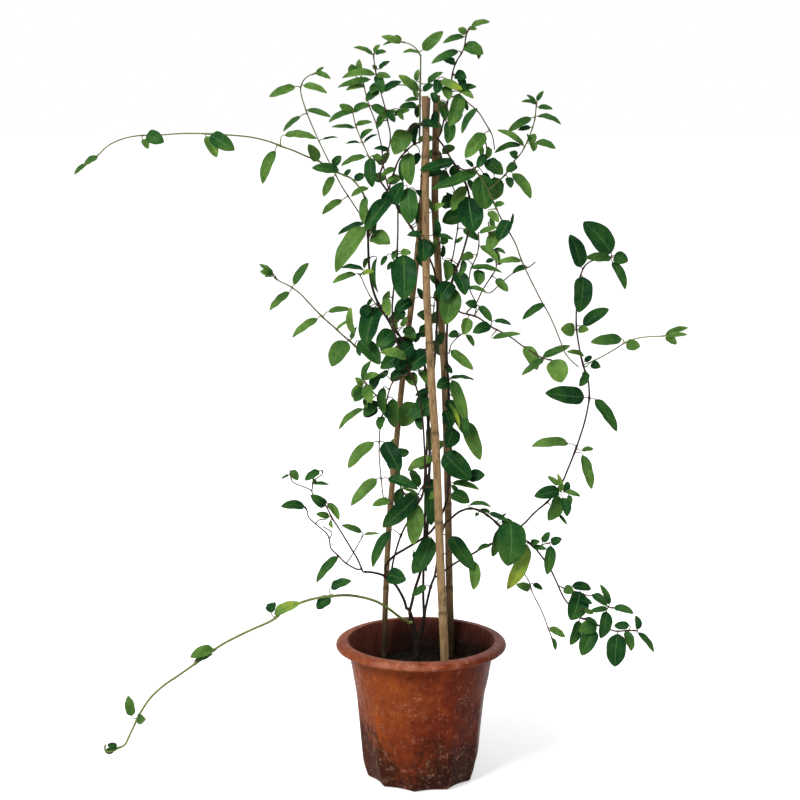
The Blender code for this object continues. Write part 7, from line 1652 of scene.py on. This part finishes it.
def pot_material():
    """Worn terracotta-brown plastic: redder and darker patches, painted shade on its right side,
    grime low down, scuffs, and a painted highlight on the front of its rim.
    """
    made, graph, place, _ = new_material("pot_plastic", 0.04)
    parts = graph.split(place)
    clouds = graph.pattern("Mottle", place, 18)
    blotches = graph.pattern("Mottle", place, 52)
    streaks = graph.pattern("Fibres", place, 120, Length=3.5)
    scratches = graph.pattern("Fibres", place, 420, Length=9)
    # Painted shade: the colour turns redder and darker towards the right side, and a little
    # towards the foot, as on the side away from the light. The clouds and blotches are the
    # plastic's own patches.
    painted_side_shade = graph.spread(graph.sum("MULTIPLY_ADD", parts[2], -0.3, parts[0]), -0.11, 0.05)
    redness_and_side_shade = graph.sum("MULTIPLY_ADD", clouds, 0.34, graph.times(painted_side_shade, 0.62))
    redness_and_side_shade = graph.sum("MULTIPLY_ADD", blotches, 0.3, redness_and_side_shade)
    colour = graph.ramp(redness_and_side_shade, [(0, rgb(156, 80, 22)), (0.35, rgb(146, 68, 28)),
                                  (0.7, rgb(110, 42, 22)), (1, rgb(66, 24, 16))])
    colour = graph.tint(colour, streaks, 0.4, rgb(80, 32, 20))
    near_foot = graph.spread(parts[2], 0, 0.125, 1, 0.16)
    corner = graph.times(graph.spread(parts[0], -0.085, -0.035, 1, 0),
                         graph.spread(parts[2], 0.03, 0.13, 1, 0))
    low = graph.sum("ADD", near_foot, corner)
    grime = graph.pattern("Specks", place, 75, Share=low, Softness=0.16)
    colour = graph.tint(colour, grime, 0.85, rgb(42, 23, 16))
    dust = graph.pattern("Specks", place, 110, Share=0.32, Softness=0.3)
    colour = graph.tint(colour, dust, 0.16, rgb(178, 120, 94))
    rim_highlight_patches = graph.pattern("Specks", place, 70, Share=0.7, Softness=0.25, Clumping=0.3)
    lip = graph.spread(parts[2], 0.192, 0.2)
    colour = graph.tint(colour, lip, 0.25, rgb(104, 52, 36))
    # Painted highlight: pale patches along the top of the rim, strongest on its front.
    painted_rim_highlight = graph.times(graph.spread(parts[1], -0.118, -0.09, 1, 0.25), rim_highlight_patches)
    painted_rim_highlight = graph.times(painted_rim_highlight, lip)
    colour = graph.tint(colour, painted_rim_highlight, 0.6, rgb(200, 132, 106))
    worn = graph.spread(parts[2], 0.02, 0.17, 0.34, 0.2)
    scuffs = graph.pattern("Specks", place, 700, Share=worn, Softness=0.07, Clumping=0.5)
    colour = graph.tint(colour, scuffs, 0.38, rgb(196, 150, 122))
    chips = graph.pattern("Specks", place, 240, Share=0.24, Softness=0.05, Clumping=0.45)
    colour = graph.tint(colour, chips, 0.36, rgb(196, 146, 116))
    scrapes = graph.times(graph.spread(scratches, 0.8, 1), 0.45)
    colour = graph.mix(scrapes, colour, rgb(196, 150, 122))
    roughness = graph.spread(graph.sum("ADD", streaks, grime), 0, 1.6, 0.28, 0.6)
    height = graph.sum("MULTIPLY_ADD", clouds, 0.8, graph.times(streaks, 0.4))
    connect(graph, colour, roughness, graph.bump(height, 0.0014, 0.9))
    return made


def pot_inside_material():
    """The pot's inner wall: reddish brown below the rim, with painted shade that turns it black
    towards the soil, and painted light on its left side.
    """
    made, graph, place, _ = new_material("pot_inside", 0.05)
    parts = graph.split(place)
    clouds = graph.pattern("Mottle", place, 26)
    streaks = graph.pattern("Fibres", place, 130, Length=5)
    specks = graph.pattern("Specks", place, 420, Share=0.3)
    # Painted shade: the wall is drawn darker and darker down to the soil, near black at it.
    uneven = graph.sum("MULTIPLY_ADD", clouds, 0.014, parts[2])
    colour = graph.ramp(graph.spread(uneven, 0.16, 0.215),
                        [(0, rgb(15, 10, 8)), (0.4, rgb(38, 22, 17)), (1, rgb(94, 46, 36))])
    # Painted light: the left side of the inner wall is drawn paler, while the right side stays
    # dark.
    pale = graph.mix(0.6, colour, rgb(136, 74, 58))
    colour = graph.mix(graph.spread(parts[0], -0.1, -0.02, 1, 0), colour, pale)
    colour = graph.tint(colour, streaks, 0.5, rgb(26, 16, 12))
    colour = graph.tint(colour, specks, 0.3, rgb(96, 84, 66))
    roughness = graph.spread(streaks, 0, 1, 0.45, 0.7)
    connect(graph, colour, roughness, graph.bump(streaks, 0.0008, 0.7))
    return made


def crumb_material(name, dark, light, scale):
    """A rough loose matter, such as soil, bark, perlite or moss."""
    made, graph, place, _ = new_material(name, 0.04)
    clouds = graph.pattern("Mottle", place, scale)
    specks = graph.pattern("Specks", place, scale * 4, Share=0.3)
    colour = graph.mix(clouds, dark, light)
    colour = graph.tint(colour, specks, 0.4, light)
    roughness = graph.spread(clouds, 0, 1, 0.8, 0.98)
    connect(graph, colour, roughness, graph.bump(clouds, 0.0012))
    return made


def make_materials():
    for make_group in (mottle_group, fibres_group, specks_group, veins_group):
        make_group()
    top = [(0, rgb(6, 46, 18)), (0.14, rgb(20, 64, 26)), (0.36, rgb(46, 86, 34)),
           (0.56, rgb(70, 104, 42)), (0.8, rgb(98, 134, 60)), (1, rgb(140, 156, 48))]
    back = [(0, rgb(46, 84, 42)), (0.2, rgb(62, 102, 50)), (0.5, rgb(92, 130, 64)),
            (0.8, rgb(124, 154, 84)), (1, rgb(152, 164, 74))]
    return {
        "leaf_top": leaf_material("leaf_top", top, rgb(112, 150, 84), 0.36, 0.38),
        "leaf_back": leaf_material("leaf_back", back, rgb(160, 184, 120), 0.4, 0.55),
        "stem": stem_material(),
        "bark": bark_material(),
        # The last number of each stake is how much painted shade darkens it inside the pot.
        "bamboo_front": bamboo_material("bamboo_front", rgb(179, 148, 107), rgb(144, 115, 79),
                                        rgb(76, 57, 38), (0.66, 0.98), 0),
        "bamboo_rear": bamboo_material("bamboo_rear", rgb(162, 132, 92), rgb(116, 92, 62),
                                       rgb(40, 29, 20), (0.5, 1), 0.8),
        "pot": pot_material(),
        "pot_inside": pot_inside_material(),
        "soil": crumb_material("potting_soil", rgb(9, 8, 7), rgb(30, 25, 21), 90),
        "bark_bits": crumb_material("bark_bits", rgb(26, 19, 14), rgb(74, 54, 38), 220),
        "perlite": crumb_material("perlite", rgb(176, 170, 158), rgb(226, 222, 212), 500),
        "moss": crumb_material("moss", rgb(34, 52, 22), rgb(86, 112, 46), 400),
    }


# The floor, the lights and the camera.


def seen_directly(graph):
    """1 for what the camera, a gloss or a glass sees, and 0 for light on the object."""
    path = graph.add("LightPath", {}).outputs
    seen = graph.sum("MAXIMUM", path["Is Camera Ray"], path["Is Glossy Ray"])
    return graph.sum("MAXIMUM", seen, path["Is Transmission Ray"])


def make_floor():
    """A plain pale floor that looks white where it is lit and keeps the shadows."""
    mesh = bpy.data.meshes.new("floor")
    reach = FLOOR_REACH
    corners = [(-reach, -reach, 0), (reach, -reach, 0), (reach, reach, 0), (-reach, reach, 0)]
    mesh.from_pydata(corners, [], [(0, 1, 2, 3)])
    floor = set_out("floor", mesh)
    made = bpy.data.materials.new("floor_paint")
    made.use_nodes = True
    graph = Graph(made.node_tree)
    shader = made.node_tree.nodes["Principled BSDF"]
    shader.inputs["Base Color"].default_value = (0.8, 0.8, 0.8, 1)
    shader.inputs["Roughness"].default_value = 1
    shader.inputs["Specular IOR Level"].default_value = 0
    shader.inputs["Emission Color"].default_value = (1, 1, 1, 1)
    place = graph.add("TexCoord", {}).outputs["Object"]
    away = graph.add("VectorMath", {0: place}, operation="LENGTH").outputs["Value"]
    level = graph.spread(away, *FLOOR_DISTANCES, *FLOOR_GLOW)
    glow = graph.times(seen_directly(graph), level)
    graph.tree.links.new(glow, shader.inputs["Emission Strength"])
    mesh.materials.append(made)


def make_world():
    world = bpy.data.worlds.new("studio")
    bpy.context.scene.world = world
    world.use_nodes = True
    graph = Graph(world.node_tree)
    background = world.node_tree.nodes["Background"]
    background.inputs["Color"].default_value = (1, 1, 1, 1)
    strength = graph.spread(seen_directly(graph), 0, 1, WORLD_LIGHT, 1)
    graph.tree.links.new(strength, background.inputs["Strength"])


def make_lamp(name, place, aim, size, power):
    data = bpy.data.lights.new(name, "AREA")
    data.shape = "DISK"
    data.size = size
    data.energy = power
    lamp = set_out(name, data)
    lamp.location = place
    lamp.rotation_euler = (Vector(aim) - Vector(place)).to_track_quat("-Z", "Y").to_euler()


def make_camera():
    data = bpy.data.cameras.new("camera")
    data.lens = CAMERA_LENS
    data.sensor_width = CAMERA_SENSOR
    camera = set_out("camera", data)
    camera.location = CAMERA_PLACE
    camera.rotation_euler = (CAMERA_TILT, 0, 0)
    bpy.context.scene.camera = camera


def make_studio():
    bpy.context.scene.view_settings.view_transform = "Standard"
    make_floor()
    make_world()
    for name, place, aim, size, power in LAMPS:
        make_lamp(name, place, aim, size, power)


def main():
    materials = make_materials()
    make_pot(materials)
    make_soil(materials)
    for name, foot, top, route in STAKES:
        kind = "bamboo_front" if name == "stake_front" else "bamboo_rear"
        make_stake(name, foot, top, route, materials[kind])
    coarse = {"crown": grow_stems(CROWN, [], COARSE_STEP)}
    fine = {"crown": grow_stems(CROWN, [], FINE_STEP)}
    make_crown(fine["crown"], materials["bark"])
    for name, parent, stems, _ in SHOOTS:
        swing = SWINGS.get(name)
        coarse[name] = grow_stems(stems, coarse[parent], COARSE_STEP, swing)
        fine[name] = grow_stems(stems, fine[parent], FINE_STEP, swing)
    still = []
    for key in ("pot", "soil", "crown", *[stake[0] for stake in STAKES]):
        mesh = frame["nodes"][key].data
        still.append(Obstacle([vertex.co for vertex in mesh.vertices],
                              [tuple(polygon.vertices) for polygon in mesh.polygons]))
    shifts = settle_leaves(coarse, still)
    for name, _, _, leaves in SHOOTS:
        grow_shoot(name, fine[name], leaves, shifts[name], materials)
    make_studio()


make_camera()
main()
